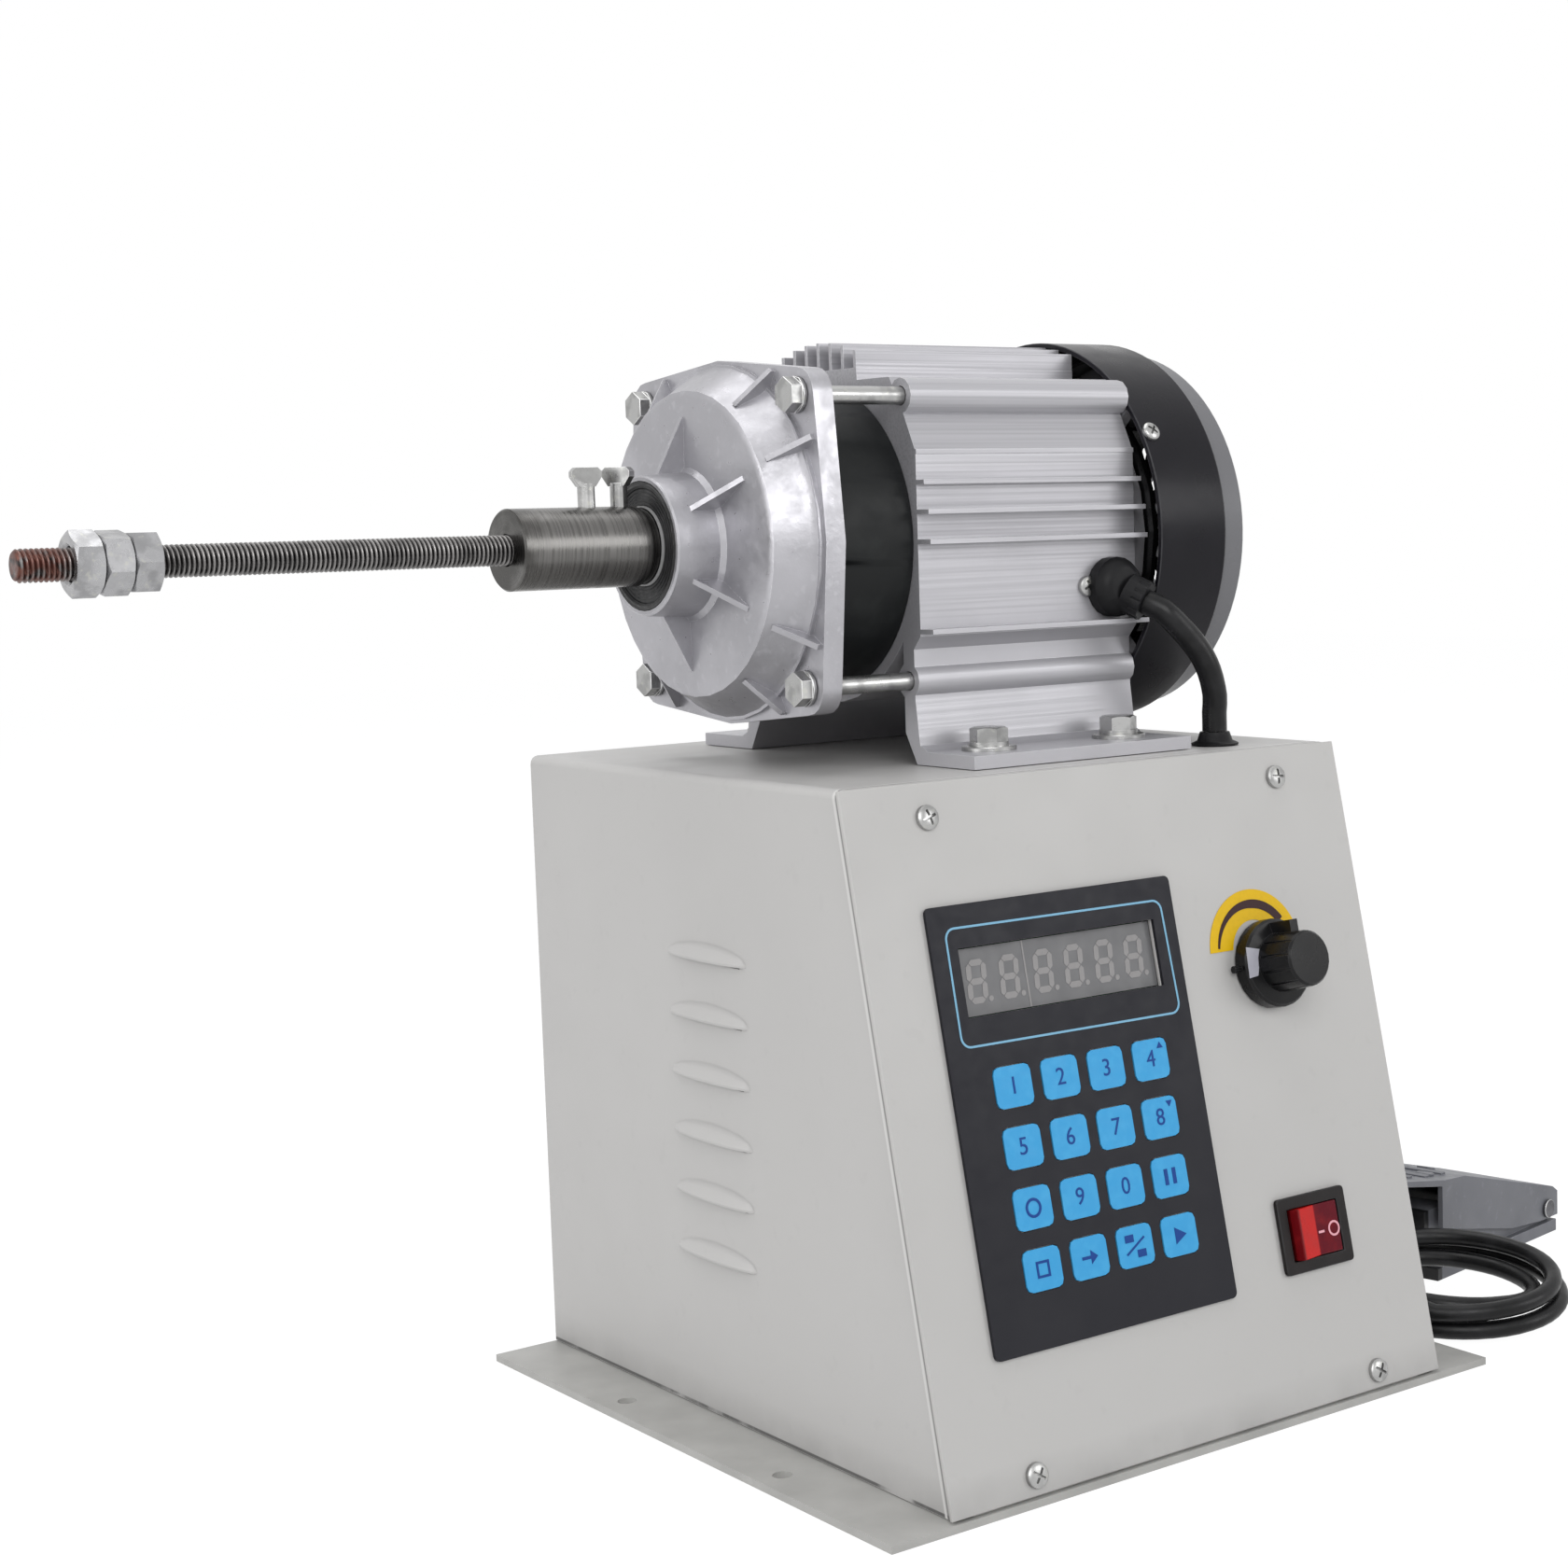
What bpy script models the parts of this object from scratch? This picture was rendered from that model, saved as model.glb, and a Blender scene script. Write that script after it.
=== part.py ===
# Wire coil winding machine: a sheet metal cabinet with a sloped operator panel, a geared motor on
# top whose spindle carries a clamping rod, and a foot pedal on a coiled cord.
# Metres, +Z up. The origin is the middle of the base plate's underside, X runs along the spindle
# and the operator panel faces -Y.

import math

import bmesh
import bpy
from mathutils import Matrix, Vector

# Fits
CLEARANCE = 0.0003
OVERRUN = 0.002
WELD_DISTANCE = 0.0000002
CREASE_ANGLE = math.radians(35)

# Cabinet
BOX_WIDTH = 0.208
BOX_DEPTH = 0.2455
TOP_DEPTH = 0.197
BOX_HEIGHT = 0.219
SHEET = 0.0015
BEND_RADIUS = 0.003
BASE_THICKNESS = 0.0025
FLANGE_WIDTH = 0.0245
FLANGE_HOLE_RADIUS = 0.00325
FLANGE_HOLE_INSET = 0.009
FLANGE_HOLE_PITCH = 0.0963
FLANGE_HOLE_MIDDLE = -0.0034
LIP_HEIGHT = 0.016
LIP_SIDE_GAP = 0.006
LOUVRE_COUNT = 6
LOUVRE_PITCH = 0.0202
LOUVRE_TOP = 0.1584
LOUVRE_LENGTH = 0.0485
LOUVRE_MIDDLE = 0.0073
LOUVRE_RISE = 0.0032
LOUVRE_HOOD = 0.0052
LOUVRE_SKIN = 0.0011
VENT_COUNT = 7
VENT_PITCH = 0.009
VENT_LENGTH = 0.06
VENT_HEIGHT = 0.0035
VENT_BOTTOM = 0.125
INLET_WIDTH = 0.031
INLET_HEIGHT = 0.024
INLET_PROUD = 0.002
INLET_RIM = 0.002
INLET_DEPTH = 0.017
INLET_INSET = 0.044
INLET_Z = 0.045

# Operator panel, measured along the slope from the bottom left corner
PANEL_THICKNESS = 0.0015
PANEL_OVERLAP = 0.0015
PANEL_LIFT = 0.0035
OVERLAY_LEFT = 0.0225
OVERLAY_WIDTH = 0.1
OVERLAY_BOTTOM = 0.0458
OVERLAY_HEIGHT = 0.1396
OVERLAY_THICKNESS = 0.0012
OVERLAY_CORNER = 0.002
WINDOW_LEFT = 0.0327
WINDOW_WIDTH = 0.0804
WINDOW_BOTTOM = 0.15
WINDOW_HEIGHT = 0.0218
KEY_COLUMNS = 4
KEY_ROWS = 4
KEY_LEFT = 0.0455
KEY_TOP = 0.127
KEY_PITCH_ACROSS = 0.0189
KEY_PITCH_DOWN = 0.019
KEY_WIDTH = 0.0145
KEY_HEIGHT = 0.013
KEY_THICKNESS = 0.0008
KEY_TRAVEL = 0.0004
KEY_CORNER = 0.0022
KEY_CORNER_STEPS = 2
BOARD_THICKNESS = 0.0016
BOARD_DEPTH = 0.013
BOARD_MARGIN = 0.003
STANDOFF_RADIUS = 0.003
STANDOFF_INSET = 0.0045
DISPLAY_RECESS = 0.0012

# Speed control and power rocker
KNOB_SHARE = 0.4503
KNOB_V = 0.151
KNOB_HEIGHT = 0.0215
KNOB_GAP = 0.0008
SKIRT_RADIUS = 0.015
SKIRT_HEIGHT = 0.0065
CAP_RADIUS = 0.0094
CAP_CHAMFER = 0.0008
KNOB_RIB_COUNT = 12
KNOB_RIB_DEPTH = 0.0006
POINTER_LENGTH = 0.005
POINTER_WIDTH = 0.0035
STOP_PIN_RADIUS = 0.0013
STOP_PIN_LENGTH = 0.003
STEM_RADIUS = 0.003
BUSH_RADIUS = 0.0045
BUSH_HEIGHT = 0.006
POT_RADIUS = 0.0085
POT_DEPTH = 0.01
ROCKER_SHARE = 0.4526
ROCKER_V = 0.0605
BEZEL_WIDTH = 0.0312
BEZEL_HEIGHT = 0.0255
BEZEL_PROUD = 0.002
BEZEL_RIM = 0.0028
SWITCH_WALL = 0.0012
SWITCH_DEPTH = 0.018
ROCKER_TILT = math.radians(8)
ROCKER_RISE = 0.0034
ROCKER_DISH = 0.0016
ROCKER_BELLY = 0.007
ROCKER_PIVOT = 0.0004

# Power board inside the cabinet
SUPPLY_WIDTH = 0.14
SUPPLY_DEPTH = 0.1
SUPPLY_STANDOFF = 0.008
TRANSFORMER_SIZE = (0.052, 0.044, 0.04)
HEATSINK_SIZE = (0.05, 0.022, 0.035)
HEATSINK_FINS = 6
FIN_SHEET = 0.0018
CAPACITOR_RADIUS = 0.011
CAPACITOR_HEIGHT = 0.03

# Drive line, along X from the motor's front face towards the rod's tip
AXIS_HEIGHT = 0.075
HOUSING_FRONT_X = -0.0401
HOUSING_LENGTH = 0.094
RING_LENGTH = 0.0329
FLANGE_THICKNESS = 0.0075
COVER_HEIGHT = 0.0225
BOSS_HEIGHT = 0.0168
SLEEVE_REACH = 0.0493
ROD_REACH = 0.1535

# Motor housing, across the axis
HOUSING_HALF_WIDTH = 0.0545
HOUSING_TOP = 0.0575
SHOULDER_HALF = 0.0225
SHOULDER_TOP = 0.0535
EAR_RADIUS = 0.006
TIE_OFFSET = 0.047
TIE_RADIUS = 0.003
TIE_HOLE_DEPTH = 0.02
TIE_HEAD_FLATS = 0.01
TIE_HEAD_HEIGHT = 0.004
TIE_WASHER_RADIUS = 0.006
TIE_WASHER = 0.0012
FIN_THICKNESS = 0.0016
SIDE_FIN_HEIGHTS = (0.0285, 0.0185, 0.0088, -0.001, -0.0305)
SIDE_FIN_REACH = 0.0615
TOP_FIN_PITCH = 0.0072
TOP_FIN_COUNT = 7
TOP_FIN_RADIUS = 0.067
BORE_RADIUS = 0.05
WAIST_HALF = 0.0505
LEG_WEB = 0.006
FOOT_HALF = 0.0819
FOOT_THICKNESS = 0.0044
FOOT_HOLE_RADIUS = 0.0028
FOOT_HOLE_PITCH = 0.0565
FOOT_HOLE_INSET = 0.0165

# Motor inside
STATOR_INNER = 0.0285
STATOR_END_SPACE = 0.022
STATOR_SHIFT = 0.002
WINDING_LENGTH = 0.009
WINDING_STEP = 0.008
ROTOR_GAP = 0.0008
SHAFT_RADIUS = 0.006
SHIELD_THICKNESS = 0.005
SHIELD_ARM_WIDTH = 0.012
FAN_HUB_RADIUS = 0.012
FAN_DISC = 0.002
FAN_RADIUS = 0.058
FAN_WIDTH = 0.015
FAN_BLADES = 9
BLADE_SHEET = 0.0018
COVER_RADIUS = 0.0687
COVER_WALL = 0.002
FAN_COVER_LENGTH = 0.031
CAP_LENGTH = 0.0125
CAP_STEP = 0.0035
GRILLE_SLOTS = 16
SLOT_WIDTH = 0.004
SLOT_INNER = 0.02
SLOT_OUTER = 0.052

# Gear set
GEAR_MODULE = 0.002
SUN_TEETH = 12
PLANET_TEETH = 15
RING_TEETH = SUN_TEETH + 2 * PLANET_TEETH
PLANET_COUNT = 3
PLANET_WIDTH = 0.016
TOOTH_TIP_SHARE = 0.85
TOOTH_ROOT_SHARE = 1.15
PRESSURE_ANGLE = math.radians(20)
RING_RADIUS = 0.0523
RING_WALL = 0.003
PIN_RADIUS = 0.004
CARRIER_RADIUS = 0.035
CARRIER_THICKNESS = 0.006

# Gear cover
LUG_RADIUS = 0.0088
FLANGE_RADIUS = 0.0605
SKIRT_TOP_RADIUS = 0.0514
SKIRT_BASE_RADIUS = 0.0582
STEP_RADIUS = 0.0592
STEP_HEIGHT = 0.0015
BOSS_RADIUS = 0.0225
BOSS_FLARE = 0.0015
BEARING_RADIUS = 0.021
BEARING_WIDTH = 0.012
BEARING_BORE = 0.01
RACE_RADIUS = 0.0131
SEAL_RECESS = 0.0008
COVER_CAVITY = 0.0485
COVER_WALL_DEPTH = 0.0045
FACE_RIB_COUNT = 6
FACE_RIB_THICKNESS = 0.0018
FACE_RIB_REACH = 0.042
FACE_RIB_HEIGHT = 0.011
GUSSET_ANGLE = math.radians(14)
GUSSET_HEIGHT = 0.0115
GUSSET_THICKNESS = 0.002

# Spindle
SLEEVE_RADIUS = 0.0131
SLEEVE_CHAMFER = 0.0006
SLEEVE_NECK = 0.0025
NECK_RADIUS = 0.0122
ROD_RADIUS = 0.0049
ROD_HOLD = 0.05
NUT_FLATS = 0.017
NUT_HEIGHT = 0.0084
NUT_GAP = 0.0001
NUT_START = 0.015
WING_SPOTS = (0.0078, 0.0198)
WING_TURNS = (math.radians(35), math.radians(75))
WING_RADIUS = 0.0028
WING_SHANK = 0.0075
WING_HEAD_HEIGHT = 0.0062
WING_HEAD_WIDTH = 0.0098
WING_THICKNESS = 0.0042

# Motor cable
GLAND_INSET = 0.0119
GLAND_HEIGHT = -0.0187
GLAND_RADIUS = 0.0104
GLAND_LENGTH = 0.0095
GLAND_CROWN_RADIUS = 0.0062
GLAND_SIDE_TILT = math.radians(28)
GLAND_DROP = math.radians(30)
GLAND_NUT_RADIUS = 0.0071
GLAND_NUT_LENGTH = 0.0058
GLAND_RIBS = 12
GLAND_RIB_DEPTH = 0.0008
BOOT_BEYOND = 0.0163
BOOT_ASIDE = 0.07625
BOOT_RADIUS = 0.0083
BOOT_TOP_RADIUS = 0.0052
BOOT_HEIGHT = 0.0045
MOTOR_CABLE_RADIUS = 0.0044
MOTOR_CABLE_SHARES = (
    (0.49154, 0.00552, 0.68402),
    (0.20696, 0.04137, 0.43579),
    (0.03104, 0.02758, 0.17376),
)

# Foot pedal
PEDAL_X = 0.2818
PEDAL_Y = -0.0249
PEDAL_TURN = math.radians(10.9)
PEDAL_LENGTH = 0.092
PEDAL_WIDTH = 0.054
PEDAL_FLOOR = 0.0048
PEDAL_WALL = 0.0022
TREADLE_LENGTH = 0.116
TREADLE_END_HEIGHT = 0.019
TREADLE_KNEE_AT = 0.0715
TREADLE_KNEE_HEIGHT = 0.0378
TREADLE_TOE_AT = 0.086
TREADLE_TOE_HEIGHT = 0.039
TREADLE_TIP_HEIGHT = 0.0445
TREADLE_LOW = 0.0065
TREADLE_BEND_AT = 0.035
TREADLE_BEND_HEIGHT = 0.0084
TREADLE_SKIRT_END = 0.088
TREADLE_SKIRT_HEIGHT = 0.0199
PIVOT_AT = 0.0075
PIVOT_HEIGHT = 0.0108
PIVOT_RADIUS = 0.0025
PIVOT_HEAD_RADIUS = 0.0038
PIVOT_HEAD = 0.0012
GRIP_PLACES = (0.0765, 0.0885, 0.1005)
GRIP_WIDTH = 0.003
GRIP_RISE = 0.0009
CHEEK_END = 0.076
CHEEK_HEIGHT = 0.0235
BLOCK_START = 0.074
BLOCK_HEIGHT = 0.0265
BLOCK_INSET = 0.006
RELIEF_RADIUS = 0.0062
RELIEF_TIP_RADIUS = 0.0046
RELIEF_LENGTH = 0.014
RELIEF_HEIGHT = 0.0214
RELIEF_INSET = 0.018

# Pedal cord
CORD_RADIUS = 0.00325
CORD_SPACING = 0.015
COIL_X = 0.1587
COIL_Y = -0.0749
COIL_LONG = 0.0455
COIL_SHORT = 0.0355
COIL_TURN = math.radians(128.3)
COIL_SLOPE = 0.19
COIL_LEAN = math.radians(47.8)
COIL_STEP = 0.0095
COIL_LAYER = 0.0073
COIL_POINTS_A_TURN = 24
COIL_START = math.radians(-15)
COIL_END = math.radians(1003)
CORD_GLAND_INSET = 0.034
CORD_GLAND_Z = 0.03
CORD_GLAND_RADIUS = 0.007
CORD_GLAND_LENGTH = 0.014

# Heights and stations that follow from the sizes above
SLOPE_RUN = BOX_DEPTH - TOP_DEPTH
SLOPE_LENGTH = math.hypot(SLOPE_RUN, BOX_HEIGHT)
AXIS_Y = (BOX_DEPTH - TOP_DEPTH) / 2
AXIS_Z = BOX_HEIGHT + AXIS_HEIGHT
OVERLAY_RIGHT = OVERLAY_LEFT + OVERLAY_WIDTH
KNOB_U = OVERLAY_RIGHT + KNOB_SHARE * (BOX_WIDTH - OVERLAY_RIGHT)
ROCKER_U = OVERLAY_RIGHT + ROCKER_SHARE * (BOX_WIDTH - OVERLAY_RIGHT)
INLET_X = INLET_INSET - BOX_WIDTH / 2
CORD_GLAND_X = BOX_WIDTH / 2 - CORD_GLAND_INSET
RING_FRONT_X = HOUSING_FRONT_X - RING_LENGTH
COVER_FACE_X = RING_FRONT_X - COVER_HEIGHT
BOSS_FRONT_X = COVER_FACE_X - BOSS_HEIGHT
SLEEVE_FRONT_X = BOSS_FRONT_X - SLEEVE_REACH
ROD_TIP_X = SLEEVE_FRONT_X - ROD_REACH
HOUSING_REAR_X = HOUSING_FRONT_X + HOUSING_LENGTH
STATOR_LENGTH = HOUSING_LENGTH - 2 * STATOR_END_SPACE
GLAND_X = HOUSING_REAR_X - GLAND_INSET
BOOT_X = HOUSING_REAR_X + BOOT_BEYOND
BOOT_Y = AXIS_Y - BOOT_ASIDE
BOARD_W = -BOARD_DEPTH


# Scene and materials


def clear_scene():
    for thing in list(bpy.data.objects):
        bpy.data.objects.remove(thing, do_unlink=True)
    for group in list(bpy.data.collections):
        bpy.data.collections.remove(group)


def new_collection(name, hidden):
    group = bpy.data.collections.new(name)
    group.hide_render = hidden
    bpy.context.scene.collection.children.link(group)
    return group


def paint(name, color, roughness, metallic):
    found = bpy.data.materials.get(name)
    if found:
        return found
    made = bpy.data.materials.new(name)
    made.use_nodes = True
    shader = made.node_tree.nodes["Principled BSDF"]
    shader.inputs["Base Color"].default_value = (*color, 1)
    shader.inputs["Roughness"].default_value = roughness
    shader.inputs["Metallic"].default_value = metallic
    return made


def painted_steel():
    return paint("painted_steel", (0.56, 0.56, 0.54), 0.42, 0)


def panel_paint():
    return paint("panel_paint", (0.57, 0.57, 0.56), 0.4, 0)


def overlay_black():
    return paint("overlay_black", (0.02, 0.021, 0.026), 0.4, 0)


def key_blue():
    return paint("key_blue", (0.06, 0.46, 0.84), 0.4, 0)


def black_plastic():
    return paint("black_plastic", (0.022, 0.022, 0.025), 0.4, 0)


def rocker_red():
    return paint("rocker_red", (0.75, 0.03, 0.02), 0.3, 0)


def board_green():
    return paint("board_green", (0.03, 0.16, 0.06), 0.5, 0)


def extruded_aluminium():
    return paint("extruded_aluminium", (0.62, 0.62, 0.64), 0.35, 0.8)


def cast_aluminium():
    return paint("cast_aluminium", (0.4, 0.4, 0.42), 0.45, 0.8)


def bright_steel():
    return paint("bright_steel", (0.55, 0.55, 0.56), 0.3, 1)


def turned_steel():
    return paint("turned_steel", (0.2, 0.19, 0.19), 0.35, 1)


def zinc_plate():
    return paint("zinc_plate", (0.6, 0.6, 0.6), 0.3, 1)


def gear_black():
    return paint("gear_black", (0.025, 0.028, 0.028), 0.45, 0)


def copper_winding():
    return paint("copper_winding", (0.5, 0.22, 0.1), 0.4, 1)


def pedal_grey():
    return paint("pedal_grey", (0.19, 0.2, 0.22), 0.5, 0)


def cord_black():
    return paint("cord_black", (0.012, 0.012, 0.013), 0.45, 0)


# Shapes


def add_object(name, mesh, material, group, matrix=None):
    """An object that shows the mesh under the name, at the matrix."""
    thing = bpy.data.objects.new(name, mesh)
    if material:
        mesh.materials.clear()
        mesh.materials.append(material)
    thing.matrix_world = matrix or Matrix()
    group.objects.link(thing)
    return thing


def finish_mesh(name, shape, smooth=False):
    bmesh.ops.recalc_face_normals(shape, faces=shape.faces)
    mesh = bpy.data.meshes.new(name)
    shape.to_mesh(mesh)
    shape.free()
    if smooth:
        mesh.shade_smooth()
        mesh.set_sharp_from_angle(angle=CREASE_ANGLE)
    return mesh


def box_mesh(size, middle=(0, 0, 0)):
    shape = bmesh.new()
    bmesh.ops.create_cube(shape, size=1)
    bmesh.ops.scale(shape, vec=size, verts=shape.verts)
    bmesh.ops.translate(shape, vec=middle, verts=shape.verts)
    return finish_mesh("box", shape)


def span_mesh(low, high):
    """A box between two corners."""
    low, high = Vector(low), Vector(high)
    return box_mesh(high - low, (low + high) / 2)


def rod_mesh(radius, low, high, sides, top_radius=None):
    """A cylinder or cone round Z between two heights."""
    shape = bmesh.new()
    bmesh.ops.create_cone(
        shape,
        cap_ends=True,
        segments=sides,
        radius1=radius,
        radius2=radius if top_radius is None else top_radius,
        depth=high - low,
    )
    bmesh.ops.translate(shape, vec=(0, 0, (low + high) / 2), verts=shape.verts)
    return finish_mesh("rod", shape, smooth=sides > 6)


def outline_mesh(outlines, thickness):
    """A flat plate round Z = 0: the first outline is its edge and the others are its holes."""
    curve = bpy.data.curves.new("outline", "CURVE")
    curve.dimensions = "2D"
    curve.fill_mode = "BOTH"
    curve.extrude = thickness / 2
    for outline in outlines:
        spline = curve.splines.new("POLY")
        spline.points.add(len(outline) - 1)
        for point, (x, y) in zip(spline.points, outline):
            point.co = (x, y, 0, 1)
        spline.use_cyclic_u = True
    return mesh_of_curve(curve)


def mesh_of_curve(curve):
    """The curve as one closed mesh, its caps welded to its sides."""
    guide = bpy.data.objects.new("guide", curve)
    bpy.context.scene.collection.objects.link(guide)
    graph = bpy.context.evaluated_depsgraph_get()
    mesh = bpy.data.meshes.new_from_object(guide.evaluated_get(graph))
    bpy.data.objects.remove(guide, do_unlink=True)
    shape = bmesh.new()
    shape.from_mesh(mesh)
    bmesh.ops.remove_doubles(shape, verts=shape.verts, dist=WELD_DISTANCE)
    bpy.data.meshes.remove(mesh)
    return finish_mesh("outline", shape)


def turned_object(name, profile, sides, material, group, matrix, closed=True):
    """A profile of (radius, height) points, down its outer side, turned round Z."""
    shape = bmesh.new()
    points = [shape.verts.new((radius, 0, height)) for radius, height in profile]
    for first, second in zip(points, points[1:]):
        shape.edges.new((first, second))
    if closed:
        shape.edges.new((points[-1], points[0]))
    mesh = bpy.data.meshes.new(name)
    shape.to_mesh(mesh)
    shape.free()
    thing = add_object(name, mesh, material, group, matrix)
    turn = thing.modifiers.new("turn", "SCREW")
    turn.steps = sides
    turn.render_steps = sides
    turn.use_merge_vertices = True
    turn.merge_threshold = WELD_DISTANCE
    turn.use_smooth_shade = True
    return thing


def tube_object(name, points, radius, rounding, material, group):
    """A round cord along the points, with closed ends."""
    curve = bpy.data.curves.new(name, "CURVE")
    curve.dimensions = "3D"
    curve.bevel_depth = radius
    curve.bevel_resolution = rounding
    curve.use_fill_caps = True
    spline = curve.splines.new("POLY")
    spline.points.add(len(points) - 1)
    for point, place in zip(spline.points, points):
        point.co = (*place, 1)
    spline.use_smooth = True
    curve.materials.append(material)
    thing = bpy.data.objects.new(name, curve)
    group.objects.link(thing)
    return thing


def combine(thing, operation, mesh, matrix, cutters):
    """Joins the mesh to the object, or cuts it out, at the matrix in the object's own frame."""
    tool = add_object(thing.name + "_tool", mesh, None, cutters, thing.matrix_world @ matrix)
    tool.hide_render = True
    tool.display_type = "WIRE"
    step = thing.modifiers.new(operation.lower(), "BOOLEAN")
    step.operation = operation
    step.solver = "EXACT"
    step.object = tool
    return tool


def merged(meshes_at):
    """One mesh that holds several that don't touch, each at its own matrix."""
    shape = bmesh.new()
    for mesh, matrix in meshes_at:
        copy = mesh.copy()
        copy.transform(matrix)
        shape.from_mesh(copy)
        bpy.data.meshes.remove(copy)
    return finish_mesh("group", shape)


def move(x, y, z):
    return Matrix.Translation((x, y, z))


def turn(angle, axis):
    return Matrix.Rotation(angle, 4, axis)


def rounded_rectangle(width, height, radius, steps=4):
    """The outline of a rectangle round the origin, with arcs at its corners."""
    points = []
    for quarter in range(4):
        side = (1, 1), (-1, 1), (-1, -1), (1, -1)
        middle_x = side[quarter][0] * (width / 2 - radius)
        middle_y = side[quarter][1] * (height / 2 - radius)
        for step in range(steps + 1):
            angle = (quarter + step / steps) * math.pi / 2
            points.append((middle_x + radius * math.cos(angle), middle_y + radius * math.sin(angle)))
    return points


def circle(radius, sides, middle=(0, 0), start=0):
    return [
        (
            middle[0] + radius * math.cos(start + 2 * math.pi * side / sides),
            middle[1] + radius * math.sin(start + 2 * math.pi * side / sides),
        )
        for side in range(sides)
    ]


def hull(points):
    """The convex outline round the points, anticlockwise."""
    ordered = sorted(set(points))
    halves = []
    for run in (ordered, ordered[::-1]):
        half = []
        for point in run:
            while len(half) > 1 and (
                (half[-1][0] - half[-2][0]) * (point[1] - half[-2][1])
                <= (half[-1][1] - half[-2][1]) * (point[0] - half[-2][0])
            ):
                half.pop()
            half.append(point)
        halves += half[:-1]
    return halves


def smooth_route(route, spacing):
    """A straight leg at each end, and points about the spacing apart on a smooth curve between."""
    places = [Vector(place) for place in route]
    fine = []
    parts = 24
    for before, start, end, after in zip(places, places[1:], places[2:], places[3:]):
        for part in range(parts):
            t = part / parts
            fine.append(
                (
                    2 * start
                    + (end - before) * t
                    + (2 * before - 5 * start + 4 * end - after) * t**2
                    + (3 * start - before - 3 * end + after) * t**3
                )
                / 2
            )
    fine.append(places[-2])
    reach = [0]
    for first, second in zip(fine, fine[1:]):
        reach.append(reach[-1] + (second - first).length)
    count = max(2, round(reach[-1] / spacing))
    picked = [places[0], fine[0]]
    at = 1
    for step in range(1, count):
        target = reach[-1] * step / count
        while reach[at] < target:
            at += 1
        share = (target - reach[at - 1]) / (reach[at] - reach[at - 1])
        picked.append(fine[at - 1].lerp(fine[at], share))
    return [*picked, fine[-1], places[-1]]


# Frames


def panel_frame():
    """X across the operator panel, Y up its slope and Z out of it, from its bottom left corner."""
    up = Vector((0, SLOPE_RUN, BOX_HEIGHT)) / SLOPE_LENGTH
    out = Vector((0, -BOX_HEIGHT, SLOPE_RUN)) / SLOPE_LENGTH
    frame = Matrix.Identity(4)
    for row in range(3):
        frame[row][1] = up[row]
        frame[row][2] = out[row]
    frame.translation = (-BOX_WIDTH / 2, -BOX_DEPTH / 2, 0)
    return frame


def on_panel(u, v, w=0.0):
    return panel_frame() @ move(u, v, w)


def on_axis(x):
    """Z towards the rod's tip, X to the front and Y up, on the spindle's axis."""
    frame = Matrix(((0, 0, -1, 0), (-1, 0, 0, 0), (0, 1, 0, 0), (0, 0, 0, 1)))
    return move(x, AXIS_Y, AXIS_Z) @ frame


def pedal_frame():
    """X from the pedal's hinge end to its high end, Y to its near side, Z up."""
    along = Vector((-math.cos(PEDAL_TURN), -math.sin(PEDAL_TURN), 0))
    far = Vector((-math.sin(PEDAL_TURN), math.cos(PEDAL_TURN), 0))
    frame = Matrix.Identity(4)
    for row in range(3):
        frame[row][0] = along[row]
        frame[row][1] = -far[row]
    frame.translation = Vector((PEDAL_X, PEDAL_Y, 0)) + PEDAL_WIDTH / 2 * far
    return frame


# Cabinet


def slope_cut():
    """All that lies in front of the operator panel's inner face."""
    reach = 2 * BOX_HEIGHT
    low = (-reach, -reach, -PANEL_THICKNESS - CLEARANCE)
    return span_mesh(low, (BOX_WIDTH + reach, SLOPE_LENGTH + reach, reach))


def build_base_plate(parts, cutters):
    half = BOX_WIDTH / 2 + FLANGE_WIDTH
    hole_x = half - FLANGE_HOLE_INSET
    hole_ys = [FLANGE_HOLE_MIDDLE + side * FLANGE_HOLE_PITCH / 2 for side in (-1, 1)]
    edge = [
        (-half, -BOX_DEPTH / 2),
        (half, -BOX_DEPTH / 2),
        (half, BOX_DEPTH / 2),
        (-half, BOX_DEPTH / 2),
    ]
    holes = [circle(FLANGE_HOLE_RADIUS, 16, (side * hole_x, y)) for side in (-1, 1) for y in hole_ys]
    plate = outline_mesh([edge, *holes], BASE_THICKNESS)
    base = add_object("base_plate", plate, painted_steel(), parts, move(0, 0, BASE_THICKNESS / 2))
    lip_half = BOX_WIDTH / 2 - SHEET - LIP_SIDE_GAP
    back = BOX_DEPTH / 2 - SHEET - CLEARANCE
    back_lip = span_mesh(
        (-lip_half, back - SHEET, -BASE_THICKNESS / 2 + SHEET / 2),
        (lip_half, back, LIP_HEIGHT),
    )
    combine(base, "UNION", back_lip, Matrix(), cutters)
    inner = -PANEL_THICKNESS - CLEARANCE
    front_lip = span_mesh(
        (SHEET + LIP_SIDE_GAP, BASE_THICKNESS / 2, inner - SHEET),
        (BOX_WIDTH - SHEET - LIP_SIDE_GAP, LIP_HEIGHT, inner),
    )
    combine(base, "UNION", front_lip, base.matrix_world.inverted() @ panel_frame(), cutters)
    return base


def shell_outline():
    """The sheet's outer line from the left side's foot over the top to the right side's foot."""
    half = BOX_WIDTH / 2
    foot = BASE_THICKNESS + CLEARANCE
    points = [(-half, foot)]
    for middle_x, start in ((-half + BEND_RADIUS, math.pi), (half - BEND_RADIUS, math.pi / 2)):
        for step in range(5):
            angle = start - step / 4 * math.pi / 2
            points.append(
                (
                    middle_x + BEND_RADIUS * math.cos(angle),
                    BOX_HEIGHT - BEND_RADIUS + BEND_RADIUS * math.sin(angle),
                )
            )
    points.append((half, foot))
    return points


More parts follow.
